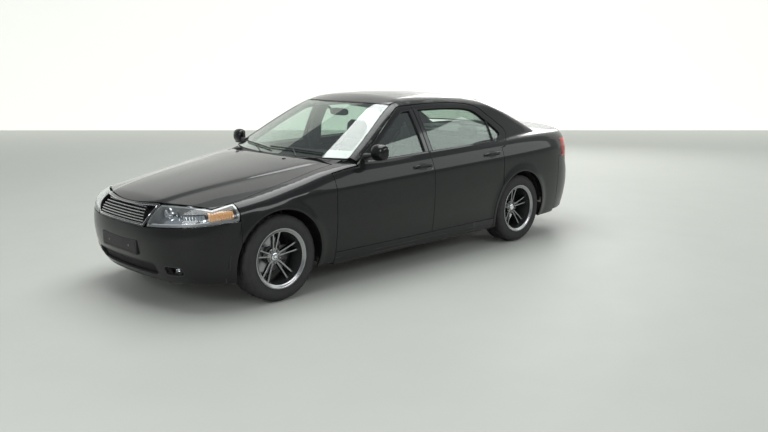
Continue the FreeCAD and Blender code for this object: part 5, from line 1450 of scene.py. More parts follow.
# ================================================================ fittings of the body
def inset(loop, d):
    """Closed flat loop moved inward by d."""
    p = thin_loop(np.asarray(loop, float), 1.5)
    ar = .5 * np.sum(p[:, 0] * np.roll(p[:, 1], -1) - np.roll(p[:, 0], -1) * p[:, 1])
    if ar < 0:
        p = p[::-1]
    a, b = np.roll(p, 1, 0), np.roll(p, -1, 0)
    t = (b - p) / np.maximum(np.linalg.norm(b - p, axis=1, keepdims=True), 1e-9) + (p - a) / np.maximum(np.linalg.norm(p - a, axis=1, keepdims=True), 1e-9)
    t /= np.maximum(np.linalg.norm(t, axis=1, keepdims=True), 1e-9)
    q = p + np.stack([-t[:, 1], t[:, 0]], 1) * d
    if d > 0:
        keep = seg_dist(q, p) > d * .93
        q = q[keep]
    return thin_loop(q, 2.0)


def close_dense(pts, step=10):
    pts = list(pts)
    return dense(pts + [pts[0]], step)[:-1]


def on_path(bag, pts, f, prof, m=0, closed=False):
    return bag.sweep(pts, grad(f, pts), prof, m, closed)


LIP = [(-4.2, -8), (-4.2, .4), (-2.6, 1.7), (2.6, 1.7), (4.2, .4), (4.2, -8)]
G_DOORS = ("front_door_left", "front_door_right")

# ---- screens
zz = np.linspace(992, 1383, 60)
cs = np.array([screen_corner(z) for z in zz])
w_side = np.stack([cs[:, 1] - 49], 1)[:, 0]
wl = ahead(w_side, zz, 1)
yt = np.linspace(1, -1, 40) * (w_side[-1] - 4)
wt = upward(262 - 3.56e-4 * yt ** 2 + 7, yt, f_cabin, 1100)
yb = np.linspace(-1, 1, 50) * (w_side[0] - 4)
wb = ahead(yb, np.full(50, 992.0), 1)
wl = wl[wl[:, 2] < wt[0][2] - 3]
screen_xy = np.concatenate([wl, wt, (wl * [1, -1, 1])[::-1], wb])[:, :2]
SCH = Up(f_cabin, 900)
screen_xy = round_corners(screen_xy, 22)
panel("windshield_glass", SCH, screen_xy, "body_shell", MT["screen"], "glass", h=34, t=4.5, edge=1.0, lift=-2.2,
      replaces=("windshield",))
frit_hole = inset(screen_xy, 26)
frit_hole[:, 0] = np.where(frit_hole[:, 0] > 930 - 3.56e-4 * frit_hole[:, 1] ** 2, 930 - 3.56e-4 * frit_hole[:, 1] ** 2, frit_hole[:, 0])
panel("windshield_border", SCH, inset(screen_xy, 1.5), "body_shell", MT["gloss"], "trim_plastic", holes=[thin_loop(frit_hole, 6)], h=34,
      t=1.4, edge=.3, lift=-7.6)
b = Bag(MT["seal"])
p = SCH.solid(screen_xy)
on_path(b, p + grad(f_cabin, p) * -1.6, f_cabin, [(-4.4, -6), (-4.4, .2), (-2.6, 1.6), (2.6, 1.6), (4.4, .2), (4.4, -6)], 0, True)
b.made("windshield_seal", "body_shell", "trim_plastic")
zz = np.linspace(1104, 1383, 46)
cs = np.array([back_corner(z) for z in zz])
bl = ahead(cs[:, 1] - 59, zz, -1)
yt = np.linspace(1, -1, 40) * (cs[-1, 1] - 63)
bt = upward(-1118 + 2.6e-4 * yt ** 2 - 7, yt, f_cabin, 1100)
bl = bl[bl[:, 2] < bt[0][2] - 3]
yb = np.linspace(-1, 1, 44) * (cs[0, 1] - 63)
bb_ = ahead(yb, np.full(44, 1104.0), -1)
back_xy = round_corners(np.concatenate([bl, bt, (bl * [1, -1, 1])[::-1], bb_])[:, :2], 24)
panel("rear_window_glass", SCH, back_xy, "body_shell", MT["glass"], "glass", h=34, t=4.5, edge=1.0, lift=-2.2,
      replaces=("rear_window",))
panel("rear_window_border", SCH, inset(back_xy, 1.5), "body_shell", MT["gloss"], "trim_plastic", holes=[inset(back_xy, 30)], h=34,
      t=1.4, edge=.3, lift=-7.6)
b = Bag(MT["seal"], MT["amber_dim"])
p = SCH.solid(back_xy)
on_path(b, p + grad(f_cabin, p) * -1.6, f_cabin, [(-4.4, -6), (-4.4, .2), (-2.6, 1.6), (2.6, 1.6), (4.4, .2), (4.4, -6)], 0, True)
for z in np.linspace(1140, 1350, 10):
    yc = back_corner(z)[1] - 92
    q = ahead(np.linspace(-yc, yc, 26), np.full(26, z), -1)
    b.tube(q - grad(f_cabin, q) * 8.0, .8, 1, 5)
b.made("rear_window_seal_and_heater", "body_shell", "trim_plastic")

# ---- side glass, window seals, belt strips, pillar covers
for nm, poly, bodies, xb, cut in (("front", wf_poly, DOORS, (-30, 690), None), ("rear", wr_poly, RDOORS, (-960, -50), -962.0)):
    hole = lateral(poly[:, 0], poly[:, 1])
    fl = inset(DCH.flat(hole), -9)
    panel(nm + "_side_glass", DCH, fl, bodies, MT["glass"], "glass", h=40, t=4.2, edge=.8, lift=-11, both=True,
          replaces=((nm + "_door_glass_left",), (nm + "_door_glass_right",)))
    b = Bag(MT["seal"], MT["gloss"])
    on_path(b, hole, f_body, LIP, 0, True)
    x = np.arange(xb[0], xb[1], 12.0)
    q = lateral(x, belt_z(x) + 4)
    on_path(b, q, f_body, [(-9, -3), (-9, 1.2), (-6, 3.2), (5, 3.4), (8, 1.6), (8, -3)], 1)
    if cut:
        z = np.linspace(float(belt_z(cut)) + 8, 1196, 20)
        q = lateral(np.full(20, cut), z)
        q = q - grad(f_body, q) * 7
        on_path(b, q, f_body, [(-9, -4), (-9, 4), (-6, 6), (6, 6), (9, 4), (9, -4)], 0)
    pair(b, nm + "_window_trim", bodies, "trim_plastic")
for nm, x0, x1, bodies in (("front", -36.5, 0.0, DOORS), ("rear", -85.0, -47.5, RDOORS)):
    zt = [float(z_rail(x)) - 10 for x in (x0, x1)]
    zb = [float(belt_z(x)) + 12 for x in (x0, x1)]
    o = close_dense([(x0, zb[0]), (x1, zb[1]), (x1, zt[1] - 20), (x0, zt[0] - 20)], 12)
    fl = np.array(fillet([tuple(v) for v in DCH.flat(lateral(np.array([x0, x1, x1, x0]), np.array([zb[0], zb[1], zt[1] - 22, zt[0] - 22])))], 3))
    panel(nm + "_pillar_cover", DCH, close_dense(fl, 12), bodies, MT["gloss"], "trim_plastic", h=16, t=2.2, edge=.8, lift=1.5, both=True)

# ---- door handles: dished pocket and pull bar
for nm, x0, z0, bodies in (("front", 92, 872, DOORS), ("rear", -842, 898, RDOORS)):
    b = Bag(PAINT, MT["inner"], MT["seal"])
    t = np.linspace(0, 1, 26)
    lift = 3 + 31 * np.clip(np.sin(np.pi * t) * 2.2, 0, 1) ** .8
    xs = x0 + 100 * (1 - 2 * t)
    q = lateral(xs, z0 + 3 * np.sin(np.pi * t))
    n = grad(f_body, q)
    pts = q + n * lift[:, None]
    rr = 9.5 + 3.5 * np.sin(np.pi * t) ** .5
    rr[0] = rr[-1] = 8.5
    b.tube(pts, rr, 0, 14, flat=1.0, up=(0, 0, 1))
    for dx in (-100, 100):
        c = lateral(x0 + dx, z0)[0]
        b.turn([(0, 7.5), (8, 7.2), (13, 5.4), (15.5, 2.4), (16, -6)], c, 0, 28)
    c = lateral(x0, z0)
    ring = []
    a = np.arange(40) * 2 * np.pi / 40
    for k, (rx, rz, d) in enumerate(((64, 27, 1.6), (60, 24, 2.2), (57, 22, 1.3), (44, 15, .9), (20, 7, .7))):
        q = lateral(x0 + rx * np.sign(np.cos(a)) * np.abs(np.cos(a)) ** .75, z0 + rz * np.sign(np.sin(a)) * np.abs(np.sin(a)) ** .9)
        ring.append(q + grad(f_body, q) * d)
    b.loft(ring, 1)
    pair(b, nm + "_door_handle", bodies, "body_paint")
# key barrel on the driver's door only would break the mirror image, so both sides carry one
b = Bag(MT["steel"], MT["seal"])
c = lateral(-22 + 8, 846)[0]
b.turn([(0, 3.0), (7, 2.8), (8.4, 1.6), (8.8, -3)], c, 0, 24).box(c + [-.9, 2.6, -4], c + [.9, 3.5, 4], 1, .2)
pair(b, "door_lock", DOORS, "steel")

# ---- outside mirrors
b = Bag(PAINT, MT["trim"], MT["mirror"], MT["seal"], MT["amber_dim"])
a = np.arange(44) * 2 * np.pi / 44
ca, sa = np.cos(a), np.sin(a)
rows = [(905, .5, .55, 14), (909, .64, .68, 11), (918, .8, .85, 6), (932, .93, .95, 3), (950, 1, 1, 0), (975, 1, 1, -1), (1000, .97, .97, -2),
        (1016, .90, .91, -5), (1028, .82, .82, -8), (1036, .66, .66, -11), (1040, .5, .5, -14)]
rings = []
for y, sx, sz, dx in rows:
    x = np.where(ca > 0, 58 * np.abs(ca) ** .9, -22 * np.abs(ca) ** .45) * sx
    z = 64 * sz * np.sign(sa) * np.abs(sa) ** .82
    rings.append(np.stack([660 + dx + x, np.full(44, float(y) - .6), 1046 + z], 1))
b.loft(rings, 0)
# black lower edge band and seam
g = []
for y, sx, sz, dx in rows[1:-3]:
    g.append([660 + dx + 20 * sx, y - .6, 1046 - 64.6 * sz])
gp = np.array(g)
b.sweep(gp, np.tile([0.0, 0, -1], (len(gp), 1)), [(-14, -6), (-14, .8), (-11, 1.4), (11, 1.4), (14, .8), (14, -6)], 1)
# glass in its bezel, set in the rear face
def plate(cx, yc, zc, hy, hz, pw=.5, n=40, dx=0.0):
    t = np.arange(n) * 2 * np.pi / n
    y = yc + hy * np.sign(np.cos(t)) * np.abs(np.cos(t)) ** pw
    z = zc + hz * np.sign(np.sin(t)) * np.abs(np.sin(t)) ** pw
    return np.stack([cx + dx * (y - yc) / hy, y, z], 1)
b.loft([plate(648, 972, 1046, 56, 56), plate(634.6, 972, 1046, 56, 55, dx=-3), plate(633.4, 972, 1046, 53, 52, dx=-3), plate(634.5, 972, 1046, 50, 49, dx=-3)], 1)
b.loft([plate(640, 972, 1046, 49.6, 48.6), plate(633.9, 972, 1046, 49.6, 48.6, dx=-3), plate(633.5, 972, 1046, 48.6, 47.6, dx=-3)], 2)
arm = []
for t in np.linspace(0, 1, 9):
    y = 822 + (928 - 822) * t
    xa, xb_ = 640 + 6 * t, 720 - 20 * t
    za, zb_ = 985 + 20 * t, 1030 + 10 * t
    s = 1 - .18 * math.sin(math.pi * t)
    xm, zm = (xa + xb_) / 2, (za + zb_) / 2
    arm.append(np.stack([xm + (xb_ - xa) / 2 * s * np.sign(ca) * np.abs(ca) ** .7, np.full(44, y), zm + (zb_ - za) / 2 * s * np.sign(sa) * np.abs(sa) ** .7], 1))
b.loft(arm, 1)
# foot plate on the corner of the window
fp = [(718, 992), (700, 960), (600, 962), (600, 1002), (640, 1022)]
q = lateral(np.array([v[0] for v in fp]), np.array([v[1] for v in fp]))
pair(b, "outside_mirror", DOORS, "body_paint", replaces=(("mirror_left",), ("mirror_right",)))
fpf = np.array(fillet([tuple(v) for v in DCH.flat(q)], 6))
panel("mirror_foot", DCH, close_dense(fpf, 8), DOORS, MT["trim"], "trim_plastic", h=12, t=9, edge=1.5, lift=2.5, both=True)

# ---- cowl with slots, wipers


def cowl_front(y):
    """Front edge of the cowl; its corners stay behind the sweep of the open bonnet."""
    w = np.clip((np.abs(y) - 400) / 100, 0, 1)
    w = w * w * (3 - 2 * w)
    return (hood_rear(y) - 14) * (1 - w) + 948 * w


y = np.linspace(-1, 1, 120) * 724
fr = np.stack([cowl_front(y), y], 1)
yb = np.linspace(1, -1, 80) * 724
bk = ahead(yb, np.full(80, 986.0), 1)[:, :2] + [3, 0]
cowl = np.concatenate([fr, bk])
panel("cowl_panel", Up(f_body, 700), cowl, "body_shell", MT["trim"], "trim_plastic", h=20, t=16, edge=1.5, lift=-4)
b = Bag(MT["trim"], MT["seal"])
yy = np.linspace(-660, 660, 70)
xs = ahead(yy, np.full(70, 986.0), 1)[:, 0]
for k in range(6):
    u = .18 + .12 * k
    x = xs + (cowl_front(yy) - xs) * u
    q = upward(x, yy, f_body, 700)
    on_path(b, q, f_body, [(-2.6, -6), (-2.6, -1.8), (2.6, -1.8), (2.6, -6)], k % 2)
for yr in np.arange(-640, 641, 40):
    u = np.linspace(.14, .84, 6)
    x0 = float(np.interp(yr, yy, xs))
    q = upward(x0 + (cowl_front(yr) - x0) * u, np.full(6, float(yr)), f_body, 700)
    on_path(b, q, f_body, [(-1.5, -6), (-1.5, -1.4), (1.5, -1.4), (1.5, -6)], 0)
b.made("cowl_slots", "body_shell", "trim_plastic")
b = Bag(MT["trim"])
for ya, yb_ in ((412, 612), (668, 722)):
    yg = np.linspace(ya, yb_, 24)
    xa, xb = cowl_front(yg) - 2, hood_rear(yg) - 3
    za, zb = upward(xa, yg, f_body, 700)[:, 2], upward(xb, yg, f_body, 700)[:, 2]
    b.loft([[(p, v, r - 16), (p, v, r - 46), (q_, v, s_ - 46), (q_, v, s_ - 50), (p - 4, v, r - 50), (p - 4, v, r - 16)]
            for p, v, r, q_, s_ in zip(xa, yg, za, xb, zb)], 0)
pair(b, "cowl_gutter", "body_shell", "trim_plastic")
b = Bag(MT["trim"], MT["seal"], MT["steel_black"])
for ys, ye, yp in ((540, -70, 335), (-30, -600, -110)):
    t = np.linspace(0, 1, 30)
    q = ahead(ys + (ye - ys) * t, 1017 + 14 * t + 6 * np.sin(np.pi * t), 1)
    n = grad(f_cabin, q)
    b.sweep(q + n * 6, n, [(-1, -6), (-1, 0), (-4.5, 1), (-6, 6), (2, 8), (5, 5), (4.5, 1), (1, 0), (1, -6)], 1)
    b.sweep(q[2:-2] + n[2:-2] * 12, n[2:-2], [(-3, -2), (-3, 1), (3, 1), (3, -2)], 2)
    m = q[15] + n[15] * 13
    pv = upward(ahead(yp, 986, 1)[0][0] + 5, yp, f_body, 700)[0]
    nv = grad(f_body, pv[None])[0]
    arm = np.array([pv + nv * 1, pv + nv * 1 + (m - pv) * .2, pv + nv * .5 + (m - pv) * .55, m + (m - pv) * -.08, m])
    arm = np.array([np.array([np.interp(s, np.linspace(0, 1, 5), arm[:, i]) for i in range(3)]) for s in np.linspace(0, 1, 16)])
    b.tube(arm, np.linspace(5.2, 3.8, 16), 0, 12, flat=.8)
    b.tube([pv - nv * 12, pv + nv * 5, pv + nv * 7, pv + nv * 8], [11, 11, 9, 5], 0, 24)
    b.box(m - [9, 14, 7], m + [9, 14, 2], 0, 3)
b.made("wiper_set", "body_shell", "trim_plastic", replaces=("wipers",))

# ---- roof joint strips
b = Bag(MT["seal"])
x = np.linspace(70, -1020, 120)
q = upward(x, ROOF_Y(x) + 2.4, f_cabin, 1100)
on_path(b, q, f_cabin, [(-3, -9), (-3, -2.6), (-1.5, -1.4), (1.5, -1.4), (3, -2.6), (3, -9)], 0)
pair(b, "roof_joint", SHELL, "trim_plastic")

# ---- headlamps
HCH = Ball(f_low, (1880, 330, 560), 500, .75)
a = np.linspace(36.9, 87.7, 60)
lo = polar(FX, a, BUMP_TOP(a) + GAP)
tp = upward(np.array([1929.0]), HOOD_Y(1929.0) + GAP + 1)[0]
z = np.linspace(lo[-1][2] + 6, tp[2] - 12, 12)
ends = lateral(np.full(12, 1929.0), z, f_low)
x = np.linspace(1929, 2087, 22)
up1 = upward(x, HOOD_Y(x) + GAP + 1)
s = np.linspace(1, 0, 46)[1:]
y = 395 + 352 * s
up2 = upward(hood_front(y * 740 / 747) + GAP, y + GAP * s)
lamp_fl = close_dense(np.concatenate([HCH.flat(lo), HCH.flat(ends), HCH.flat(up1), HCH.flat(up2)]), 9)
lamp_fl = round_corners(thin_loop(lamp_fl, 3), 9)
lamp_in = inset(lamp_fl, 15)
hl = panel("headlamp_lens", HCH, lamp_fl, SHELL, MT["clear"], "lamp_clear", h=24, t=3.2, edge=1.4, both=True,
           replaces=(("headlamps",), ()))
panel("headlamp_bezel", HCH, inset(lamp_fl, 2.0), SHELL, MT["housing"], "trim_plastic", holes=[lamp_in], h=20, t=80, edge=.5, lift=-5,
      both=True)
panel("headlamp_back", HCH, inset(lamp_fl, 5), SHELL, MT["reflector"], "trim_plastic", h=22, t=4, edge=.5, lift=-78, both=True)
b = Bag(MT["reflector"], MT["chrome"], MT["housing"], MT["clear"], MT["bulb"], MT["amber"], MT["white_lens"])
for yc, zc, r, kind in ((468, 693, 46, "bowl"), (592, 703, 50, "eye")):
    ring = np.arange(0, 360, 30)
    fx = ahead(yc + (r + 6) * np.cos(np.radians(ring)), zc + (r + 6) * np.sin(np.radians(ring)), 1, f_low, 0)[:, 0].min() - 9
    c = (fx, yc, zc)
    b.turn([(r + 6, -46), (r + 6, -3), (r + 4, 0), (r + 1, 0), (r - 1, -3)], c, 2 if kind == "eye" else 1, 48, 0)
    if kind == "bowl":
        prof = [(r - 1, -3)] + [(r * math.cos(t), -3 - 40 * math.sin(t)) for t in np.linspace(.05, 1.35, 12)] + [(0, -44)]
        b.turn(prof, c, 0, 48, 0)
        b.turn([(0, -12), (7, -13), (9, -17), (9, -30), (5, -44)], c, 1, 24, 0)
        b.turn([(0, -16), (4, -17), (5.5, -22), (5.5, -36)], c, 4, 20, 0)
        for k in range(12):
            t = math.radians(30 * k)
            b.tube([(c[0] - 8, yc + (r - 3) * math.cos(t), zc + (r - 3) * math.sin(t)),
                    (c[0] - 42, yc + 12 * math.cos(t), zc + 12 * math.sin(t))], .9, 1, 6)
    else:
        b.turn([(r - 1, -3), (r - 3, -14), (r - 9, -20), (r - 12, -20)], c, 1, 48, 0)
        dome = [((r - 12) * math.sin(t), -20 + 26 * math.cos(t) * .85 - 0) for t in np.linspace(0, math.pi / 2, 10)]
        b.turn([(q_[0], q_[1] - 2) for q_ in dome] + [(r - 12, -24)], c, 3, 48, 0)
        b.turn([(0, -34), (r - 16, -34), (r - 13, -26)], c, 0, 48, 0)
# guide strip along the lower edge, and stepped reflector towards the amber end
a = np.linspace(40, 84, 60)
q = polar(FX, a, BUMP_TOP(a) + GAP + 20)
n = grad(f_low, q)
b.sweep(q - n * 24, n, [(-4, -8), (-4, 4), (0, 7), (4, 4), (4, -8)], 6)
for k in range(7):
    a0 = 61 + k * 1.7
    zl = float(BUMP_TOP(a0)) + GAP + 34
    z = np.linspace(zl, zl + 62, 8)
    q = polar(FX, np.full(8, a0), z)
    n = grad(f_low, q)
    b.sweep(q - n * 46, n, [(-10, -10), (-9, 0), (9, 6), (10, -10)], 0)
am = []
for k in range(9):
    a0 = 74.2 + k * 1.35
    zl = float(BUMP_TOP(a0)) + GAP + 26
    q1 = polar(FX, np.full(9, a0), np.linspace(zl, zl + 74 - 2 * k, 9))
    n = grad(f_low, q1)
    b.sweep(q1 - n * 17, n, [(-9.2, -20), (-9.2, 1.5), (-4, 4), (4, 4), (9.2, 1.5), (9.2, -20)], 5)
pair(b, "headlamp_inside", SHELL, "lamp_clear")

# ---- grille
y = np.linspace(-383, 383, 90)
up = upward(hood_front(y) + GAP, y)
a = np.radians(np.linspace(34.2, -34.2, 80))
lo = np.stack([FCH.r * a, np.full(80, 605.5)], 1)
gr = round_corners(thin_loop(close_dense(np.concatenate([FCH.flat(up), lo]), 9), 3), 12)
panel("grille_surround", FCH, gr, "body_shell", MT["gloss"], "trim_plastic", holes=[inset(gr, 12)], h=16, t=34, edge=2.2, lift=.5,
      replaces=("grille",))
b = Bag(MT["satin"], MT["trim"], MT["chrome"], MT["housing"])
gin = inset(gr, 10)
q = FCH.solid(inset(gr, 11.5))
on_path(b, q, f_low, [(-1.6, -4), (-1.6, 1.4), (0, 2.2), (1.6, 1.4), (1.6, -4)], 2, True)
for z in np.arange(624, 758, 19.0):
    aa = np.linspace(-33.4, 33.4, 120)
    fl = np.stack([FCH.r * np.radians(aa), np.full(120, z)], 1)
    ok = inside(fl, gin)
    if ok.sum() < 6:
        continue
    q = FCH.solid(fl[ok])
    n = grad(f_low, q)
    b.sweep(q - n * 6, n, [(-3.6, -22), (-5.6, -6), (-4.0, 1.5), (0, 3.4), (4.0, 1.5), (5.6, -6), (3.6, -22)], 0)
for aa in np.arange(-31, 31.1, 3.1):
    z = np.linspace(612, 770, 26)
    fl = np.stack([np.full(26, FCH.r * math.radians(aa)), z], 1)
    ok = inside(fl, gin)
    if ok.sum() < 3:
        continue
    q = FCH.solid(fl[ok])
    n = grad(f_low, q)
    b.sweep(q - n * 22, n, [(-2, -10), (-2, 2), (2, 2), (2, -10)], 1)
b.made("grille_bars", "body_shell", "trim_plastic")
panel("grille_back", FCH, inset(gr, 4), "body_shell", MT["seal"], "trim_plastic", h=24, t=3, edge=.4, lift=-44)

# ---- bumper fittings: intake mesh, fog lamps, plate pad, lower lip
b = Bag(MT["trim"], MT["gloss"], MT["reflector"], MT["clear"], MT["seal"], MT["bulb"], MT["steel"])
ikd = close_dense(ik, 10)
q = FCH.solid(ikd)
on_path(b, q, f_low, [(-5, -14), (-5, 0), (-3, 2.0), (2, 2.0), (4, .4), (4, -14)], 0, True)
for z in np.arange(262, 345, 11.0):
    t = np.linspace(-43, 43, 130)
    fl = np.stack([FCH.r * np.radians(t), np.full(130, z)], 1)
    fl = fl[inside(fl, inset(ikd, -3))]
    if len(fl) > 3:
        q = FCH.solid(fl)
        n = grad(f_low, q)
        b.sweep(q - n * 26, n, [(-1.6, -5), (-1.6, 3), (1.6, 3), (1.6, -5)], 0)
for t in np.arange(-42, 42.1, 1.25):
    fl = np.stack([np.full(14, FCH.r * math.radians(t)), np.linspace(250, 350, 14)], 1)
    fl = fl[inside(fl, inset(ikd, -3))]
    if len(fl) > 3:
        q = FCH.solid(fl)
        n = grad(f_low, q)
        b.sweep(q - n * 26, n, [(-1.3, -5), (-1.3, 2.4), (1.3, 2.4), (1.3, -5)], 0)
q = FCH.solid(ikd)
n = grad(f_low, q)
rr_ = [q - n * e for e in (6, 20, 40, 60, 76)]
b.loft(rr_, 4, caps=(False, False))
b.made("intake_mesh", "body_shell", "trim_plastic")
panel("intake_back", FCH, inset(ikd, -6), "body_shell", MT["seal"], "trim_plastic", h=30, t=3, edge=.4, lift=-74)
b = Bag(MT["trim"], MT["gloss"], MT["reflector"], MT["clear"], MT["chrome"], MT["bulb"])
fo = fogs[0]
q = FCH.solid(fo)
on_path(b, q, f_low, [(-5, -14), (-5, 0), (-3, 2.0), (2, 2.0), (4, .4), (4, -14)], 0, True)
c = ahead(592, 302, 1, f_low, 0)[0] - [26, 22, 0]
b.turn([(44, -12), (40, 0), (35, 2), (32, 0), (31, -5)], c, 0, 40, 0)
b.turn([(31, -5)] + [(31 * math.cos(t), -5 - 26 * math.sin(t)) for t in np.linspace(.05, 1.4, 10)] + [(0, -31)], c, 2, 40, 0)
b.turn([(0, -14), (4, -15), (5, -18), (5, -30)], c, 5, 20, 0)
b.turn([(0, 4), (12, 3.4), (24, 1.2), (31.4, -3), (31.4, -6)], c, 3, 40, 0)
n = grad(f_low, FCH.solid(fo))
b.loft([FCH.solid(fo) - n * e for e in (6, 20, 40, 64)], 0, caps=(False, False))
for z in (280, 296, 312, 326):
    q = ahead(np.linspace(508, 548, 8), np.full(8, float(z)), 1, f_low, 0)
    n = grad(f_low, q)
    b.sweep(q - n * 16, n, [(-2, -8), (-2, 4), (2, 4), (2, -8)], 0)
pair(b, "fog_lamp", SHELL, "lamp_clear")
panel("fog_back", FCH, inset(fo, -4), SHELL, MT["trim"], "trim_plastic", h=20, t=3, edge=.4, lift=-62, both=True)
b = Bag(MT["trim"], MT["steel"], MT["seal"])
b.box((2397, -260, 388), (2420.5, 260, 497), 0, 7, 3)
b.box((2414, -250, 396), (2422.5, 250, 489), 0, 3, 2)
for k in (-150, 150):
    b.turn([(0, .8), (6, .6), (7.4, -.6), (7.4, -3)], (2422.8, k, 442.5), 1, 20, 0)
    b.box((2423.2, k - 5, 441.9), (2423.9, k + 5, 443.1), 2, .1)
for k in range(-5, 6):
    b.box((2420.6, k * 42 - 17, 404), (2423.2, k * 42 + 17, 406.5), 2, .5)
b.made("front_plate_pad", "body_shell", "trim_plastic")
b = Bag(MT["trim"])
aa = np.linspace(-62, 62, 150)
end = np.clip((np.abs(aa) - 50) / 12, 0, 1) ** 1.5
q = polar(FX, aa, 212)
n = grad(f_low, q)
q = q - n * (13 * end)[:, None] + np.outer(end, (0, 0, 15))
b.sweep(q, n, [(-11, -16), (-11, -1), (-7, 2.2), (5, 2.8), (10, -1), (10, -16)], 0)
b.made("front_lower_lip", "body_shell", "trim_plastic")

# ---- tail lamps
a = np.linspace(LAMP_IN + .4, LAMP_OUT, 50)
lo = polar(RX, 180 - a, REAR_TOP(a) + 13)
tp = polar(RX, 180 - a[::-1], np.full(50, LAMP_TOP))
tl = close_dense(np.concatenate([RCH.flat(lo), RCH.flat(tp)]), 9)
tl = round_corners(thin_loop(tl, 3), 11)
panel("tail_lamp_lens", RCH, tl, SHELL, MT["red_clear"], "lamp_red", h=18, t=3.4, edge=2.2, both=True, replaces=(("tail_lamps",), ()))
panel("tail_lamp_back", RCH, inset(tl, 3), SHELL, MT["red"], "lamp_red", h=18, t=30, edge=.5, lift=-18, both=True)
b = Bag(MT["red"], MT["white_lens"], MT["chrome"], MT["amber"], MT["housing"])
zs0, zs1 = 788.0, 945.0
for z in np.arange(zs0, zs1, 11.0):
    fl = np.stack([RCH.r * np.radians(np.linspace(LAMP_IN + 1.5, LAMP_OUT - 1, 50)), np.full(50, z)], 1)
    fl = fl[inside(fl, inset(tl, 9))]
    if len(fl) < 5:
        continue
    q = RCH.solid(fl)
    n = grad(f_low, q)
    mi = 1 if 842 < z < 866 else 3 if 866 <= z < 890 else 0
    b.sweep(q - n * 13, n, [(-4.9, -8), (-4.9, 0), (0, 5), (4.9, 0), (4.9, -8)], mi)
for z in (836.5, 893.0):
    fl = np.stack([RCH.r * np.radians(np.linspace(LAMP_IN + 1.0, LAMP_OUT - .6, 50)), np.full(50, z)], 1)
    fl = fl[inside(fl, inset(tl, 6))]
    q = RCH.solid(fl)
    n = grad(f_low, q)
    b.sweep(q - n * 8, n, [(-1.4, -8), (-1.4, 1), (1.4, 1), (1.4, -8)], 2)
pair(b, "tail_lamp_inside", SHELL, "lamp_red")

# ---- rear fittings: plate pocket, plate, lamps, guard strip, reflectors, tailpipe
b = Bag(MT["trim"], MT["plate"], MT["steel"], MT["white_lens"], MT["gloss"], MT["chrome"])
ph = LCH.solid(close_dense(pl, 10))
inn = ph + [26, 0, 0]
inn[:, 1] *= .985
inn[:, 2] = 804 + (inn[:, 2] - 804) * .95
b.loft([ph + [2, 0, 0], ph + [6, 0, 0], inn], 0, caps=(False, True))
xp = float(ph[:, 0].min()) + 12
yv, zv = [], []
base = np.array(fillet([(-254, 749), (254, 749), (254, 859), (-254, 859)], 8))
sl = (float(ahead(0, 860, -1, f_low, -1200)[0][0]) - float(ahead(0, 748, -1, f_low, -1200)[0][0])) / 112
def at_plate(d, k=1.0):
    yy_, zz_ = base[:, 0] * k, 804 + (base[:, 1] - 804) * k
    return np.stack([xp + 6 + (zz_ - 804) * sl + d, yy_, zz_], 1)
b.loft([at_plate(3.0), at_plate(0.6), at_plate(0, .996)], 1)
b.loft([at_plate(-.9, .985)[::-1], at_plate(-.1, .990)[::-1]], 1)
for ky in (-150, 150):
    b.turn([(0, -2.6), (5.5, -2.2), (6.6, -.6), (6.6, 3)], (xp + 6 + 38 * sl, ky, 842), 2, 18, 0)
b.made("rear_plate_and_pocket", "trunk_lid", "trim_plastic")
b = Bag(MT["gloss"], MT["white_lens"], MT["chrome"])
q = ahead(np.linspace(-300, 300, 60), np.full(60, 878.0), -1, f_low, -1200)
n = grad(f_low, q)
b.sweep(q, n, [(-8, -6), (-8, 3), (-5, 8), (4, 9), (8, 5), (8, -6)], 0)
for ky in (-95, 95):
    q = ahead(np.linspace(ky - 26, ky + 26, 8), np.full(8, 868.5), -1, f_low, -1200)
    b.sweep(q, grad(f_low, q), [(-2.4, -3), (-2.4, 3), (2.4, 3), (2.4, -3)], 1)
b.made("lid_grip_strip", "trunk_lid", "body_paint")
b = Bag(MT["trim"], MT["red"], MT["seal"])
b.box((-2421.5, -296, 483), (-2398, 296, 527), 0, 6, 3)
for z in (492, 501, 510, 519):
    b.box((-2423.4, -288, z - 1.6), (-2418, 288, z + 1.6), 0, .8)
for k in (-1, 1):
    q = polar(RX, 180 - k * np.linspace(50, 60, 16), 470)
    b.sweep(q, grad(f_low, q), [(-13, -3), (-13, 1.6), (-10, 3), (10, 3), (13, 1.6), (13, -3)], 1)
aa = np.linspace(-76, 76, 150)
q = polar(RX, 180 + aa, 252)
b.sweep(q, grad(f_low, q), [(-15, -14), (-15, .6), (-11, 2.4), (9, 2.4), (14, .4), (14, -14)], 0)
b.made("rear_bumper_fittings", "body_shell", "trim_plastic")
b = Bag(MT["chrome"], MT["seal"], MT["steel"])
ang = rot("Y", 0)
for r0, r1, xa_, xb2, m in ((36, 34, -2240, -2396, 0),):
    b.turn([(r1 - 4, -2240), (r0, -2244), (r0 + 2, -2300), (r0 + 3, -2380), (r0 + 2, -2392), (r0 - 1, -2395), (r1 - 5, -2390), (r1 - 6, -2300), (r1 - 7, -2244)],
           (0, 490, 222), 0, 44, 0)
    b.turn([(r1 - 7, -2300), (12, -2296), (0, -2296)], (0, 490, 222), 1, 44, 0)
b.made("tailpipe_tip", "body_shell", "steel")

# ---- fuel flap, right side
zc, xc = 893.0, -1568.0
sq = np.array(fillet([(xc - 78, zc - 66), (xc + 78, zc - 66), (xc + 78, zc + 66), (xc - 78, zc + 66)], 34))
fl0 = BCH.flat(lateral(sq[:, 0], sq[:, 1]))
panel("fuel_flap_seam", BCH, close_dense(fl0, 9), SHELL, MT["seal"], "trim_plastic", h=16, t=2.0, edge=.3, lift=.35, both=True, sides=(-1,))
panel("fuel_flap", BCH, close_dense(inset(close_dense(fl0, 9), 2.6), 9), SHELL, PAINT, "body_paint", h=16, t=2.2, edge=.8, lift=.9, both=True,
      sides=(-1,))
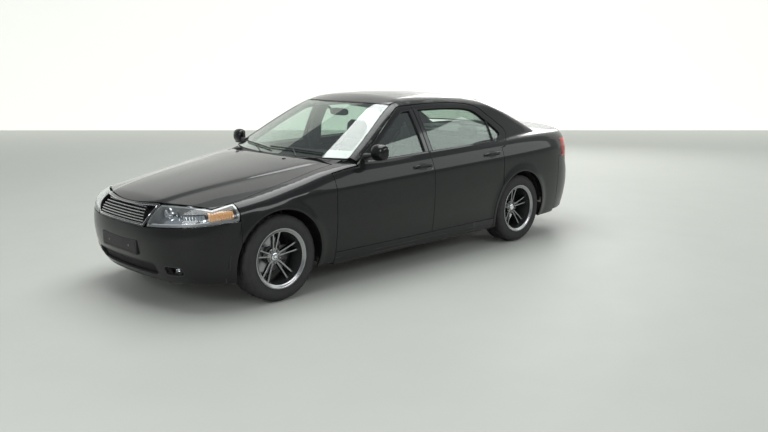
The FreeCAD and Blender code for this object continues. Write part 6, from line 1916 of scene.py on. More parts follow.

# ---- third brake light behind the rear window, washer jets
b = Bag(MT["red"], MT["trim"])
b.box((-1632, -150, 1052), (-1600, 150, 1084), 1, 5, 2)
for k in range(15):
    b.box((-1635, -142 + k * 19, 1056), (-1628, -126 + k * 19, 1080), 0, 2)
b.made("third_brake_light", "body_shell", "lamp_red")
b = Bag(MT["trim"])
for ky in (-330, 330):
    q = upward(1130, ky, f_low)[0]
    n = grad(f_low, q[None])[0]
    b.box(q + [-14, -9, -2], q + [12, 9, 5], 0, 3)
b.made("washer_jets", "hood", "trim_plastic")


# ================================================================ wheels, tyres, brakes
RIMP = [(200, 96), (203, 88), (199, 70), (196, 40), (196, -40), (198, -60), (204, -80), (211, -104), (228.5, -106.5), (230, -103), (227, -100), (221, -99),
        (217, -96), (214, -84), (206, -60), (205, 40), (207, 60), (210, 78), (214, 94), (219, 100), (227, 101), (230.5, 104), (230.5, 107.5), (228, 109.5),
        (222, 109), (215.5, 105), (209.5, 100.5), (205, 98), (200, 96)]
TYP = [(219, -100), (228, -108), (236, -109), (250, -111.5), (262, -112.8), (276, -112.4), (290, -111.2), (300, -108.6), (310, -104.2), (317, -98), (321.5, -91),
       (324.6, -84), (326, -76), (326.9, -64), (321.5, -63), (321.5, -57), (327.3, -56), (327.7, -24), (321.5, -23), (321.5, -17), (327.8, -16), (327.8, 16),
       (321.5, 17), (321.5, 23), (327.7, 24), (327.3, 56), (321.5, 57), (321.5, 63), (326.9, 64), (326, 76), (324.6, 84), (321.5, 91), (317, 98), (310, 104.2),
       (300, 108.6), (290, 111.2), (276, 112.4), (262, 112.8), (250, 111.5), (236, 109), (228, 108), (219, 100)]


def wheel_pieces(tag, xc, sgn):
    """Rim with spokes and disc, and the tyre, for one corner; sgn is +1 on the left."""
    c = np.array([xc, 777.0, TYRE_R])
    b = Bag(MT["alloy"], MT["alloy_in"], MT["disc"], MT["chrome"], MT["steel"], MT["seal"])
    b.turn([RIMP[k] for k in range(0, 16)], c, 1, 96)
    b.turn([RIMP[k] for k in range(15, len(RIMP))], c, 0, 96)
    a = np.arange(12) * 2 * np.pi / 12
    for k in range(5):
        ph = math.radians(90 + 72 * k)
        er, et = np.array([math.cos(ph), 0, math.sin(ph)]), np.array([-math.sin(ph), 0, math.cos(ph)])
        for s in (-1, 1):
            rings = []
            for t in np.linspace(0, 1, 12):
                r = 46 + 161.5 * t
                lat = s * 17 * (.66 + 1.26 * t ** 1.15)
                face = 799.5 + 3 * math.sin(math.pi * t) + 33 * t ** 1.25 - (6 if t > .97 else 0)
                foot = 771 + 30 * t ** 1.2
                w = 12.4 - 2.2 * math.sin(math.pi * min(1, t * 1.15)) + (5.0 * max(0, t - .8) / .2)
                cw = np.sign(np.cos(a)) * np.abs(np.cos(a)) ** .62 * w
                hh = (face - foot) / 2
                cy = np.sign(np.sin(a)) * np.abs(np.sin(a)) ** .75 * hh
                cw = cw * np.where(cy > 0, .82, 1.0)
                p = er * r + et * (lat + cw)[:, None] + np.array([0, 1.0, 0]) * ((face + foot) / 2 + cy - 777)[:, None]
                rings.append(c + p)
            b.loft(rings, 0)
        # floor between the two bars of a pair, near the hub
        web = []
        for t in np.linspace(0, .36, 5):
            r = 50 + 161.5 * t
            wd = 17 * (.66 + 1.26 * t ** 1.15)
            fy = 790 + 22 * t
            web.append([c + er * r + et * q + np.array([0, y - 777, 0]) for q, y in ((-wd, fy), (wd, fy), (wd, fy - 12), (-wd, fy - 12))])
        b.loft(web, 1)
        pb = math.radians(126 + 72 * k)
        q = c + 48.5 * np.array([math.cos(pb), 0, math.sin(pb)])
        b.turn([(11.5, 20.5), (13.5, 23.5), (13.5, 12)], q, 1, 24)
        b.turn([(0, 28.5), (6.2, 28.2), (8.0, 26.6), (8.4, 24), (8.4, 17)], q, 4, 6)
        b.turn([(8.4, 19.5), (11.0, 18.8), (11.2, 16)], q, 4, 20)
    b.turn([(66, -20), (66, 12), (63.5, 16.5), (58, 19), (40, 20.5), (34, 22), (33, 24.5), (31.5, 25.4)], c, 0, 60)
    b.turn([(31, 23), (30.5, 27), (28, 29.2), (20, 30.6), (10, 31.1), (0, 31.2)], c, 3, 48)
    b.turn([(66, -20), (30, -24), (0, -24)], c, 1, 40)
    # brake disc: two rubbing faces with vanes between, hat with nuts' face
    d = c + [0, -77, 0]
    b.turn([(78, 3), (84, 3), (139, 3), (140, 5), (140, 9.5), (138.5, 11), (84, 11), (74, 11.5), (66, 14), (62, 20), (61, 46), (57, 50), (20, 50), (0, 50)], d, 2, 96)
    b.turn([(78, -3), (84, -3), (139, -3), (140, -5), (140, -9.5), (138.5, -11), (84, -11), (78, -9), (78, -3)], d, 2, 96)
    for k in range(36):
        ph = math.radians(10 * k)
        er, et = np.array([math.cos(ph), 0, math.sin(ph)]), np.array([-math.sin(ph), 0, math.cos(ph)])
        v = [d + er * r + et * w + np.array([0, y, 0]) for r in (84, 136) for w in (-2.2, 2.2) for y in (-3.5, 3.5)]
        b.put(v, [(0, 1, 3, 2), (4, 6, 7, 5), (0, 4, 5, 1), (2, 3, 7, 6), (0, 2, 6, 4), (1, 5, 7, 3)], 1)
    b.turn([(2.2, 4), (5.5, 3.5), (5.8, -12)], c + [203 * math.cos(.63), 96, 203 * math.sin(.63)], 5, 12)
    if sgn < 0:
        b = b.mirror()
    b.made("road_wheel_" + tag, "wheel_" + tag, "alloy", 34, ("wheel_" + tag,))
    # tyre: grooves round the tread, cross cuts in the ribs and shoulders
    n = 120
    prof = np.array(TYP)
    ang = np.arange(n) * 2 * np.pi / n
    k = len(prof)
    rad = np.repeat(prof[:, 0][:, None], n, 1)
    off = np.abs(prof[:, 1])
    step = np.arange(n) % 5
    for i in range(k):
        if prof[i, 0] > 324 and off[i] >= 64:
            rad[i] -= np.where(step == 0, 6.0, 0)
        elif 316 < prof[i, 0] <= 324.7 and off[i] >= 84:
            rad[i] -= np.where(step == 0, 3.2, 0)
        elif prof[i, 0] > 325 and 23 < off[i] < 57:
            rad[i] -= np.where((np.arange(n) + 2) % 5 == 0, 5.0, 0)
    skew = np.radians(.55 * np.sin(prof[:, 1] / 60 * 1.4) * 6)[:, None]
    th = ang[None] + skew
    v = np.stack([c[0] + rad * np.cos(th), c[1] + np.repeat(prof[:, 1][:, None], n, 1), c[2] + rad * np.sin(th)], 2).reshape(-1, 3)
    v[:, 2] = np.maximum(v[:, 2], .4)
    f = [(i * n + j, (i + 1) * n + j, (i + 1) * n + (j + 1) % n, i * n + (j + 1) % n) for i in range(k - 1) for j in range(n)]
    t = Bag(MT["tyre"])
    t.put(v, f, 0)
    for side_ in (-1, 1):
        for r0, w, h in ((232.5, 2.4, 2.2), (246, 1.1, .9), (297, 1.2, 1.0), (303, .8, .8)):
            yo = float(np.interp(r0, [p[0] for p in TYP[1:14]], [-p[1] for p in TYP[1:14]]))
            t.turn([(r0 - w, side_ * (yo - .6)), (r0 - w * .6, side_ * (yo + h)), (r0 + w * .6, side_ * (yo + h)), (r0 + w, side_ * (yo - .6))], c, 0, 120)
    if sgn < 0:
        t = t.mirror()
    t.made("road_tyre_" + tag, "wheel_" + tag, "tyre", 28, ("tyre_" + tag,))


for tag, xc, sg in (("front_left", X_FRONT, 1), ("front_right", X_FRONT, -1), ("rear_left", X_REAR, 1), ("rear_right", X_REAR, -1)):
    wheel_pieces(tag, xc, sg)

# calipers over the discs, riding on the knuckles in front and on the shell behind
for nm, xc, bodies, sx in (("front", X_FRONT, ("knuckle_left", "knuckle_right"), -1), ("rear", X_REAR, SHELL, 1)):
    b = Bag(MT["cast"], MT["steel"], MT["steel_black"], MT["trim"])
    x0, x1 = (xc + sx * 93, xc + sx * 164)
    xa, xb_ = min(x0, x1), max(x0, x1)
    out = []
    for y, k_ in ((714.6, .86), (719, .96), (727, 1.0), (728.5, .97), (729.6, .88)):
        t = np.arange(24) * 2 * np.pi / 24
        out.append(np.stack([(xa + xb_) / 2 + (xb_ - xa) / 2 * k_ * np.sign(np.cos(t)) * np.abs(np.cos(t)) ** .45, np.full(24, y),
                             328 + 58 * k_ * np.sign(np.sin(t)) * np.abs(np.sin(t)) ** .45], 1))
    b.loft(out, 0)
    out = []
    for y in (673, 676, 684.6):
        t = np.arange(24) * 2 * np.pi / 24
        out.append(np.stack([(xa + xb_) / 2 + (xb_ - xa) / 2 * .98 * np.sign(np.cos(t)) * np.abs(np.cos(t)) ** .45, np.full(24, float(y)),
                             328 + 57 * np.sign(np.sin(t)) * np.abs(np.sin(t)) ** .45], 1))
    b.loft(out, 0)
    xo = xc + sx * 153
    b.box((min(xo, xc + sx * 164), 674, 276), (max(xo, xc + sx * 164), 728, 380), 0, 4)
    for z in (294, 362):
        b.turn([(0, 4), (5, 4), (7, 2), (7, -6)], (xc + sx * 128, 728, z), 1, 6)
        b.tube([(xc + sx * 128, 650, z), (xc + sx * 128, 676, z)], 6, 1, 12)
    b.turn([(0, -24), (18, -24), (22, -20), (23, -4)], (xc + sx * 128, 678, 328), 2, 28)
    pair(b, nm + "_caliper_cover", bodies, "cast_metal")


# ================================================================ cabin
def bump1(x, c, w):
    return np.exp(-((x - c) / w) ** 2)


def cushion(name, path, y0, half, depth, body, split=.62, channels=(), side=9.0, dish=0.0, panels=(), up=1.0, both=True,
            n=112, rows=64, replaces=((), ()), cap=.55, low_flat=.8, arch=4.0):
    """Crowned pad along a line of (x, z, share of width, share of depth), with pulled seams and quilting channels."""
    P = np.array(path, float)
    d = np.concatenate([[0], np.cumsum(np.linalg.norm(np.diff(P[:, :2], axis=0), axis=1))])
    s = np.linspace(0, d[-1], rows)
    cols = []
    for c in range(4):
        t = Tab(*[(a, b) for a, b in zip(d, P[:, c])])
        cols.append(t(s))
    x, z, sw, sd = cols
    tx, tz = np.gradient(x, s), np.gradient(z, s)
    l = np.hypot(tx, tz)
    tx, tz = tx / l, tz / l
    ends = []
    for k, sgn in ((0, -1), (-1, 1)):
        e = depth / 2 * sd[k] * cap
        ends.append([(x[k] + sgn * tx[k] * e * math.sin(f), z[k] + sgn * tz[k] * e * math.sin(f), sw[k] - (1 - math.cos(f)) * e / half * .8,
                      max(sd[k] * math.cos(f) ** .8, .02), tx[k], tz[k], s[k] + sgn * e * math.sin(f)) for f in np.radians([14, 28, 42, 56, 68, 78, 86, 90])])
    row = [r for r in ends[0][::-1]] + [(x[i], z[i], sw[i], sd[i], tx[i], tz[i], s[i]) for i in range(rows)] + ends[1]
    a = np.arange(n) * 2 * np.pi / n
    ca, sa = np.cos(a), np.sin(a)
    v = np.sign(ca) * np.abs(ca) ** .62
    w = np.sign(sa) * np.abs(sa) ** .70
    rings = []
    for (xx, zz, ws, ds, ax, az, ss) in row:
        nx, nz = -az * up, ax * up
        top = np.clip(sa * 3, 0, 1)
        hgt = depth / 2 * ds * np.where(w > 0, w, w * low_flat)
        f = arch * (1 - v ** 2) * top * ds
        edge = bump1(np.abs(v), split, .045)
        f = f - side * .62 * edge * top
        f = f + side * np.clip((np.abs(v) - split) / .22, 0, 1) * top * (1 - .5 * np.clip((np.abs(v) - .86) / .14, 0, 1)) * (ds > .3)
        f = f - dish * (1 - (np.clip(np.abs(v) / split, 0, 1)) ** 2) * top
        for c in channels:
            f = f - 6.5 * bump1(ss / d[-1], c, .016) * top * (np.abs(v) < split) + 1.6 * (bump1(ss / d[-1], c - .04, .02) + bump1(ss / d[-1], c + .04, .02)) * top * (np.abs(v) < split)
        for c in panels:
            f = f - 7.0 * bump1(v, c, .016) * top
        rr = hgt + f
        sidepull = 1 - .020 * bump1(w, 0.0, .10)
        rings.append(np.stack([xx + nx * rr, y0 + v * half * ws * sidepull, zz + nz * rr], 1))
    rings = np.array(rings)
    b = Bag(MT["cloth"], MT["cloth_side"], MT["thread"])
    k = n
    f, m = [], []
    for i in range(len(rings) - 1):
        for j in range(k):
            j2 = (j + 1) % k
            f.append((i * k + j, i * k + j2, (i + 1) * k + j2, (i + 1) * k + j))
            vc = abs((v[j] + v[j2]) / 2)
            m.append(0 if (vc < split and sa[j] + sa[j2] > .25) else 1)
    f += [tuple(range(k))[::-1], tuple((len(rings) - 1) * k + j for j in range(k))]
    m += [1, 1]
    b.put(rings.reshape(-1, 3), f, 0)
    b.m = m
    # piping along the seams between the middle and the bolsters, stitches beside it
    for sg in (-1, 1):
        j = int(np.argmin(np.abs(v - sg * split) + (sa < 0) * 9))
        line = rings[6:-6, j]
        b.tube(line + 0, 2.0, 1, 8)
        j2 = int(np.argmin(np.abs(v - sg * (split - .045)) + (sa < 0) * 9))
        ln = rings[8:-8, j2]
        up_n = np.array([-row[len(row) // 2][5] * up, 0, row[len(row) // 2][4] * up])
        L_ = np.concatenate([[0], np.cumsum(np.linalg.norm(np.diff(ln, axis=0), axis=1))])
        for q in np.arange(6, L_[-1] - 6, 11.0):
            p0 = np.array([np.interp(q, L_, ln[:, i]) for i in range(3)])
            p1 = np.array([np.interp(q + 5.5, L_, ln[:, i]) for i in range(3)])
            b.tube([p0 + up_n * .4, p1 + up_n * .4], .7, 2, 5)
    jl, jr = int(np.argmin(np.abs(v - 1) + np.abs(sa) * .5)), int(np.argmin(np.abs(v + 1) + np.abs(sa) * .5))
    for j in (jl, jr):
        b.tube(rings[3:-3, j], 2.2, 1, 8)
    out = []
    todo = ((1, name + "_left"), (-1, name + "_right")) if both else ((1, name),)
    for sg, nm in todo:
        bb2 = b if sg > 0 else b.mirror()
        o = bb2.made(nm, body, "seat_cloth", 40, replaces[0 if sg > 0 else 1])
        out.append(o)
    return out


# ---- front seats
cushion("front_seat_cushion", [(368, 416, .86, .55), (340, 420, .97, .9), (200, 416, 1, 1), (0, 400, 1, 1), (-130, 392, .98, .95), (-190, 392, .9, .7)], 372, 256, 148,
        "body_shell", .60, (.24, .40, .56, .72), 13, 7, up=-1.0, replaces=(("front_seats",), ()))
cushion("front_seat_back", [(-128, 400, .88, .7), (-160, 470, .98, 1), (-205, 620, 1, 1), (-250, 780, .97, .92), (-292, 920, .86, .75), (-305, 965, .7, .5)], 372, 260, 146,
        "body_shell", .58, (.22, .36, .50, .64, .78), 16, 8, up=-1.0)
cushion("front_headrest", [(-296, 1010, .8, .6), (-302, 1040, 1, 1), (-318, 1130, 1, 1), (-324, 1160, .8, .6)], 372, 126, 98, "body_shell", .8, (), 3, 3,
        up=-1.0, n=64, rows=26, cap=.45)
b = Bag(MT["trim"], MT["steel"], MT["chrome"], MT["seal"], MT["cloth_side"])
for k in (-50, 50):
    b.tube([(-297, 372 + k, 940), (-299, 372 + k, 985), (-300, 372 + k, 1035)], 6, 2, 16)
    b.turn([(6, 8), (13, 6), (15, 0), (15, -14)], (-297, 372 + k, 962), 0, 24, 2)
for k in (-200, 200):
    b.box((-150, 372 + k - 18, 201), (300, 372 + k + 18, 222), 1, 3)
    b.box((-140, 372 + k - 12, 222), (290, 372 + k + 12, 236), 1, 3)
    for x in (-120, 262):
        b.box((x - 16, 372 + k - 15, 226), (x + 16, 372 + k + 15, 348), 1, 4)
        b.turn([(0, 9), (7, 9), (8, 7), (8, 0)], (x, 372 + k + 14, 300), 1, 6)
b.box((-165, 150, 318), (322, 594, 352), 4, 10)
shell = []
for xx, zl, zh in ((-190, 352, 412), (-160, 330, 428), (-60, 322, 420), (120, 322, 400), (250, 328, 392), (300, 342, 382)):
    shell.append([(xx, 630, zl), (xx, 634, zl + 6), (xx, 636, (zl + zh) / 2), (xx, 632, zh - 4), (xx, 626, zh), (xx, 612, zh - 4), (xx, 612, zl + 4)])
b.loft(shell, 0)
b.tube([(60, 640, 372), (96, 646, 378), (150, 646, 384), (186, 641, 382)], [7, 9, 9, 6], 0, 12, flat=.5)
b.turn([(0, 12), (26, 11), (30, 6), (30, 0)], (-148, 628, 402), 0, 36)
b.box((-176, 100, 420), (-164, 112, 428), 3, 2)
b.box((-145, 112, 385), (-105, 134, 470), 3, 5)
b.box((-140, 114, 462), (-110, 132, 474), 0, 3)
pair(b, "front_seat_frame", SHELL, "trim_plastic")
back = []
for t, (xx, zz, w) in enumerate(((-205, 430, .80), (-232, 500, .86), (-276, 640, .88), (-316, 790, .82), (-346, 900, .70), (-352, 940, .55))):
    ang = np.linspace(0, np.pi, 15)
    back.append([(xx - 9 * math.sin(q) ** .6, 372 + 262 * w * math.cos(q) / max(abs(math.cos(q)), abs(math.sin(q))) ** .3 * .97, zz) for q in ang] +
                [(xx + 12, 372 - 262 * w * .9, zz), (xx + 12, 372 + 262 * w * .9, zz)])
b = Bag(MT["dash"], MT["cloth_side"])
b.loft(back, 0)
b.sweep([(-262, 372 + q, 620) for q in np.linspace(-170, 170, 20)], [(-.96, 0, .26)] * 20, [(-110, 2), (-110, 26), (-100, 32), (100, 22), (108, 14), (108, 2)], 1)
pair(b, "seat_back_shell", SHELL, "trim_plastic")

# ---- rear bench
cushion("rear_seat_cushion", [(-440, 430, .93, .6), (-470, 434, .99, .95), (-600, 430, 1, 1), (-800, 415, 1, 1), (-880, 412, .97, .8)], 0, 638, 138,
        "body_shell", .90, (.2, .4, .6, .8), 8, -2, (-.26, .26), up=-1.0, both=False, n=200, rows=48, replaces=(("rear_seat",), ()))
cushion("rear_seat_back", [(-868, 420, .95, .7), (-900, 500, .98, 1), (-975, 700, .98, 1), (-1050, 900, .98, .9), (-1085, 985, .94, .5)], 0, 630, 118,
        "body_shell", .88, (.25, .42, .58, .75), 9, -2, (-.26, .26), up=-1.0, both=False, n=200, rows=56)
cushion("rear_headrest", [(-1078, 1000, .8, .6), (-1082, 1020, 1, 1), (-1096, 1080, 1, 1), (-1100, 1098, .8, .6)], 390, 118, 78, "body_shell", .8, (), 3, 2,
        up=-1.0, n=64, rows=24, cap=.4)
b = Bag(MT["cloth_side"], MT["trim"], MT["seal"], MT["chrome"], MT["webbing"])
for k in (-1, 1):
    b.box((-872, k * 152, 206), (-520, k * 556, 380), 0, 14)
for y in (-215, 215, 30):
    b.box((-868, y - 12, 470), (-838, y + 12, 505), 1, 4)
    b.box((-858, y - 8, 498), (-846, y + 8, 508), 2, 2)
for y in (-300, 300, -130):
    b.sweep([(-905 - 4, y, 520), (-880, y * 1.0, 492), (-850, y, 490), (-800, y, 494)], [(.3, 0, 1)] * 4, [(-23, -1), (-23, 1), (23, 1), (23, -1)], 4)
b.made("rear_bench_fittings", "body_shell", "trim_plastic")

# ---- dashboard
DASH = [(640, 640), (628, 760), (640, 855), (690, 893), (850, 905), (925, 868), (940, 640), (860, 560), (720, 560)]
dpr = close_dense(np.array(fillet(DASH, [30, 40, 34, 60, 60, 40, 20, 30, 40])), 14)
ys = np.concatenate([[-684.5], np.linspace(-682, 682, 70), [684.5]])
rings = []
for y in ys:
    k = .965 if abs(y) > 684 else 1.0
    x = 790 + (dpr[:, 0] - 790) * k - 2.5e-4 * y * y
    z = 735 + (dpr[:, 1] - 735) * k - np.where(dpr[:, 1] > 850, 12 * (abs(y) / 685) ** 2, 0)
    rings.append(np.stack([x, np.full(len(x), y), z], 1))
b = Bag(MT["dash"], MT["dash_light"], MT["gloss"], MT["trim"], MT["chrome"], MT["display"], MT["dial"], MT["seal"], MT["amber_dim"])
b.loft(rings, 0)


def dface(y, z, d=0.0):
    """Point on the face of the dashboard towards the seats."""
    x = np.interp(z, [640, 760, 855, 880], [640, 628, 640, 668])
    y, x = np.asarray(y, float), np.asarray(x, float)
    return np.stack([x - 2.5e-4 * y * y - d, y, z + 0 * y], -1)


def face_box(ya, yb, za, zb, d, m, bevel=3.0):
    a, c = dface((ya + yb) / 2, za), dface((ya + yb) / 2, zb)
    tilt = math.atan2(c[0] - a[0], zb - za)
    turn_ = rot("Z", 0)
    mid = (a + c) / 2
    h, w = math.hypot(c[0] - a[0], zb - za) / 2, abs(yb - ya) / 2
    yaw = math.atan2(-5.0e-4 * (ya + yb) / 2, 1)
    q = Bag(MT["dash"])
    q.box((-d, -w, -h), (6, w, h), 0, bevel)
    R_ = np.array(Matrix.Rotation(-yaw, 3, "Z") @ Matrix.Rotation(tilt, 3, "Y"))
    vs = (R_ @ q.v[0].T).T + mid
    b.put(vs, [tuple(i for i in f) for f in q.f], m)


# lighter lower part, centre stack, glove box lid, vents, screen, keys
face_box(-118, 118, 655, 850, 6, 2, 8)
face_box(-96, 96, 762, 838, 9, 5, 5)
for k in range(6):
    face_box(-88 + 31 * k, -88 + 31 * k + 24, 742, 754, 9.5, 3, 2)
for y in (-82, 0, 82):
    c = dface(y, 705, 0)
    b.turn([(0, -20), (16, -19.5), (19, -17), (20, -3), (25, -1), (25, 8)], c, 3, 36, 0)
    b.turn([(20.5, -14), (22, -15), (23, -6), (23, 2)], c, 4, 36, 0)
for k in range(5):
    face_box(-60 + 26 * k, -60 + 26 * k + 18, 666, 678, 9, 3, 2)
for yc, w in ((-560, 74), (-178, 52), (178, 52), (586, 64)):
    face_box(yc - w, yc + w, 786, 842, 7, 4, 7)
    face_box(yc - w + 5, yc + w - 5, 790, 838, 8.5, 7, 6)
    for k in range(5):
        face_box(yc - w + 7, yc + w - 7, 794 + 9.4 * k, 797 + 9.4 * k, 11.5, 3, 1)
    face_box(yc - 5, yc + 5, 805, 823, 15, 3, 2)
face_box(-600, -235, 655, 770, 5, 1, 12)
face_box(-448, -392, 742, 758, 10, 3, 4)
face_box(-596, -240, 774, 779, 6, 4, 2)
face_box(240, 500, 655, 730, 4, 1, 12)
face_box(520, 610, 690, 750, 6, 3, 6)
for k in range(3):
    face_box(528 + 27 * k, 550 + 27 * k, 706, 730, 9, 7, 3)
q = np.linspace(-640, 640, 90)
line = np.stack([668 - 2.5e-4 * q * q, q, np.full(90, 884.0)], 1)
b.sweep(line + [4, 0, 5], [(-.5, 0, .86)] * 90, [(-1.3, -2), (-1.3, 1.4), (1.3, 1.4), (1.3, -2)], 7)
# speaker and demister grilles along the screen
for k in range(-30, 31):
    y = k * 20.0
    x = 872 - 2.5e-4 * y * y
    b.box((x - 16, y - 3, 900 - 10 * (y / 685) ** 2), (x + 16, y + 3, 903.4 - 10 * (y / 685) ** 2), 7, 1)
# instruments under a hood
bx = -35.0
hood_prof = [(598, 858), (612, 892), (652, 911), (700, 911), (758, 896)]
rg = []
for y, k in ((306, .90), (312, .97), (330, 1.0), (372, 1.01), (414, 1.0), (432, .97), (438, .90)):
    top = np.array([(x, 860 + (z - 860) * k) for x, z in hood_prof])
    low = np.array([(758, 880), (700, 888), (655, 890), (622, 878), (606, 852)])
    pr = np.concatenate([top, low])
    rg.append(np.stack([pr[:, 0], np.full(len(pr), float(y)), pr[:, 1]], 1))
b.loft(rg, 0)
for k in (-1, 1):
    yy_ = 372 + k * 66
    b.put([(604, yy_, 858), (612, yy_, 890), (700, yy_, 908), (700, yy_, 780), (616, yy_, 786), (604, yy_ - k * 7, 858), (612, yy_ - k * 7, 890), (700, yy_ - k * 7, 908), (700, yy_ - k * 7, 780), (616, yy_ - k * 7, 786)],
          [(0, 1, 2, 3, 4), (5, 6, 7, 8, 9), (0, 1, 6, 5), (1, 2, 7, 6), (2, 3, 8, 7), (3, 4, 9, 8), (4, 0, 5, 9)], 0)
T_ = rot("Y", 14)


def on_dials(p, m, faces):
    p = (T_ @ np.asarray(p, float).T).T + np.array([622, 372, 838])
    b.put(p, faces, m)


t = np.arange(48) * 2 * np.pi / 48
pl_ = np.array(fillet([(-62, -42), (62, -42), (62, 36), (-62, 36)], 12))
b2 = [(0, p[0], p[1]) for p in pl_]
on_dials(b2 + [(7, p[0], p[1]) for p in pl_], 5, [tuple(range(len(pl_))), tuple(range(len(pl_), 2 * len(pl_)))[::-1]] +
         [(i, (i + 1) % len(pl_), (i + 1) % len(pl_) + len(pl_), i + len(pl_)) for i in range(len(pl_))])
for cy, r in ((30, 29), (-30, 29), (0, 13)):
    o_ = [(-3, cy + r * math.cos(u), (-14 if r < 20 else 0) + r * math.sin(u)) for u in t] + [(-3, cy + (r - 2) * math.cos(u), (-14 if r < 20 else 0) + (r - 2) * math.sin(u)) for u in t] + \
         [(1, cy + r * math.cos(u), (-14 if r < 20 else 0) + r * math.sin(u)) for u in t]
    on_dials(o_, 4, [(i, (i + 1) % 48, 48 + (i + 1) % 48, 48 + i) for i in range(48)] + [(i, (i + 1) % 48, 96 + (i + 1) % 48, 96 + i) for i in range(48)])
    for k in range(21 if r > 20 else 9):
        u = math.radians(225 - 270 * k / (20 if r > 20 else 8))
        l0, w = (r - 7 if k % 2 == 0 else r - 5), .45
        er, et = np.array([math.cos(u), math.sin(u)]), np.array([-math.sin(u), math.cos(u)])
        pts = [er * l0 - et * w, er * (r - 3) - et * w, er * (r - 3) + et * w, er * l0 + et * w]
        on_dials([(-1.2, cy + p[0], (-14 if r < 20 else 0) + p[1]) for p in pts], 6, [(0, 1, 2, 3)])
    u = math.radians(205 if cy > 0 else 215)
    er, et = np.array([math.cos(u), math.sin(u)]), np.array([-math.sin(u), math.cos(u)])
    pts = [-er * 4 - et * 1.0, er * (r - 6) - et * .4, er * (r - 6) + et * .4, -er * 4 + et * 1.0]
    on_dials([(-2.2, cy + p[0], (-14 if r < 20 else 0) + p[1]) for p in pts], 8, [(0, 1, 2, 3)])
b.made("dashboard_shell", "body_shell", "dash_plastic", replaces=("dashboard",))

# ---- centre console
b = Bag(MT["dash"], MT["gloss"], MT["leather"], MT["chrome"], MT["seal"], MT["cloth_side"], MT["dash_light"])
rg = []
for x, zt, w in ((-328, 440, 84), (-322, 456, 92), (-300, 462, 94), (-60, 466, 95), (-40, 452, 95), (-20, 436, 95), (60, 432, 95), (330, 436, 96), (420, 452, 97), (520, 520, 98), (600, 600, 98), (636, 660, 98)):
    rg.append([(x, -w, 322), (x, -w - 1, 380), (x, -w, zt - 14), (x, -w + 12, zt - 3), (x, -w + 26, zt), (x, w - 26, zt), (x, w - 12, zt - 3), (x, w, zt - 14), (x, w + 1, 380), (x, w, 322)])
b.loft(rg, 0)
b.box((-318, -84, 458), (-62, 84, 482), 2, 9, 3)
b.box((-60, -52, 466), (-52, 52, 476), 3, 3)
for x in (0, 92):
    b.turn([(40, 1.5), (43, 4.0), (46, 3.0), (46.5, -4)], (x, 0, 433), 3, 40, 2)
    b.turn([(40, 1.5), (39, -30), (0, -31)], (x, 0, 434), 4, 40, 2)
b.box((150, -72, 428), (330, 72, 440), 1, 6)
b.turn([(30, 0), (27, 10), (21, 22), (17, 33), (12, 44)], (232, 0, 438), 2, 36, 2)
b.tube([(232, 0, 470), (228, 0, 510), (222, 0, 540)], [6, 6, 7], 3, 16)
b.turn([(0, 34), (10, 33), (18, 28), (21, 18), (19, 6), (12, -2), (8, -6)], (221, 0, 538), 2, 32, 2)
for k in range(6):
    b.box((176 + 17 * k, 50, 439), (188 + 17 * k, 60, 441.5), 3, 1)
b.tube([(-20, -70, 452), (60, -70, 462), (120, -70, 474), (150, -70, 480)], [8, 9, 10, 9], 2, 16)
b.box((350, -60, 448), (392, 60, 456), 4, 3)
b.made("console_shell", "body_shell", "dash_plastic", replaces=("center_console",))

# ---- steering wheel on its own joint
cc = math.cos(math.radians(24))
sc_ = math.sin(math.radians(24))
C0, EX, EU, EY = np.array([468.0, 372, 872]), np.array([cc, 0, -sc_]), np.array([sc_, 0, cc]), np.array([0, 1.0, 0])


def sw(p):
    p = np.asarray(p, float)
    return C0 + p[..., 0:1] * EX + p[..., 1:2] * EY + p[..., 2:3] * EU


b = Bag(MT["leather"], MT["dash"], MT["chrome"], MT["trim"], MT["thread"], MT["seal"])
N_, K_ = 120, 18
vr = []
for i in range(N_):
    f = 2 * np.pi * i / N_
    thick = 14.4 + 2.0 * (bump1(abs((math.degrees(f) % 360) - 35), 0, 14) + bump1(abs((math.degrees(f) % 360) - 145), 0, 14))
    for j in range(K_):
        g = 2 * np.pi * j / K_
        r = 176 + thick * math.cos(g) * .93
        vr.append((thick * math.sin(g), r * math.cos(f), r * math.sin(f)))
vv = sw(np.array(vr))
b.put(vv, [(i * K_ + j, i * K_ + (j + 1) % K_, ((i + 1) % N_) * K_ + (j + 1) % K_, ((i + 1) % N_) * K_ + j) for i in range(N_) for j in range(K_)], 0)
for k in range(90):
    f = 2 * np.pi * k / 90
    b.tube([sw((1.5, 162.2 * math.cos(f), 162.2 * math.sin(f))), sw((-3.0, 162.6 * math.cos(f + .022), 162.6 * math.sin(f + .022)))], .8, 4, 5)
rg = []
for d_, k in ((36, .80), (28, .97), (8, 1.0), (-2, .97), (-7, .86), (-10, .62), (-11, .3)):
    t = np.arange(48) * 2 * np.pi / 48
    rg.append(sw(np.stack([np.full(48, float(d_)), 66 * k * np.sign(np.cos(t)) * np.abs(np.cos(t)) ** .7, 48 * k * np.sign(np.sin(t)) * np.abs(np.sin(t)) ** .8 - 4], 1)))
b.loft(rg, 1)
t = np.arange(60) * 2 * np.pi / 60
ln = sw(np.stack([np.full(60, -3.0), 60 * np.sign(np.cos(t)) * np.abs(np.cos(t)) ** .7, 43 * np.sign(np.sin(t)) * np.abs(np.sin(t)) ** .8 - 4], 1))
b.sweep(ln, np.tile(-EX, (60, 1)), [(-1, -2), (-1, 1.2), (1, 1.2), (1, -2)], 5, True)
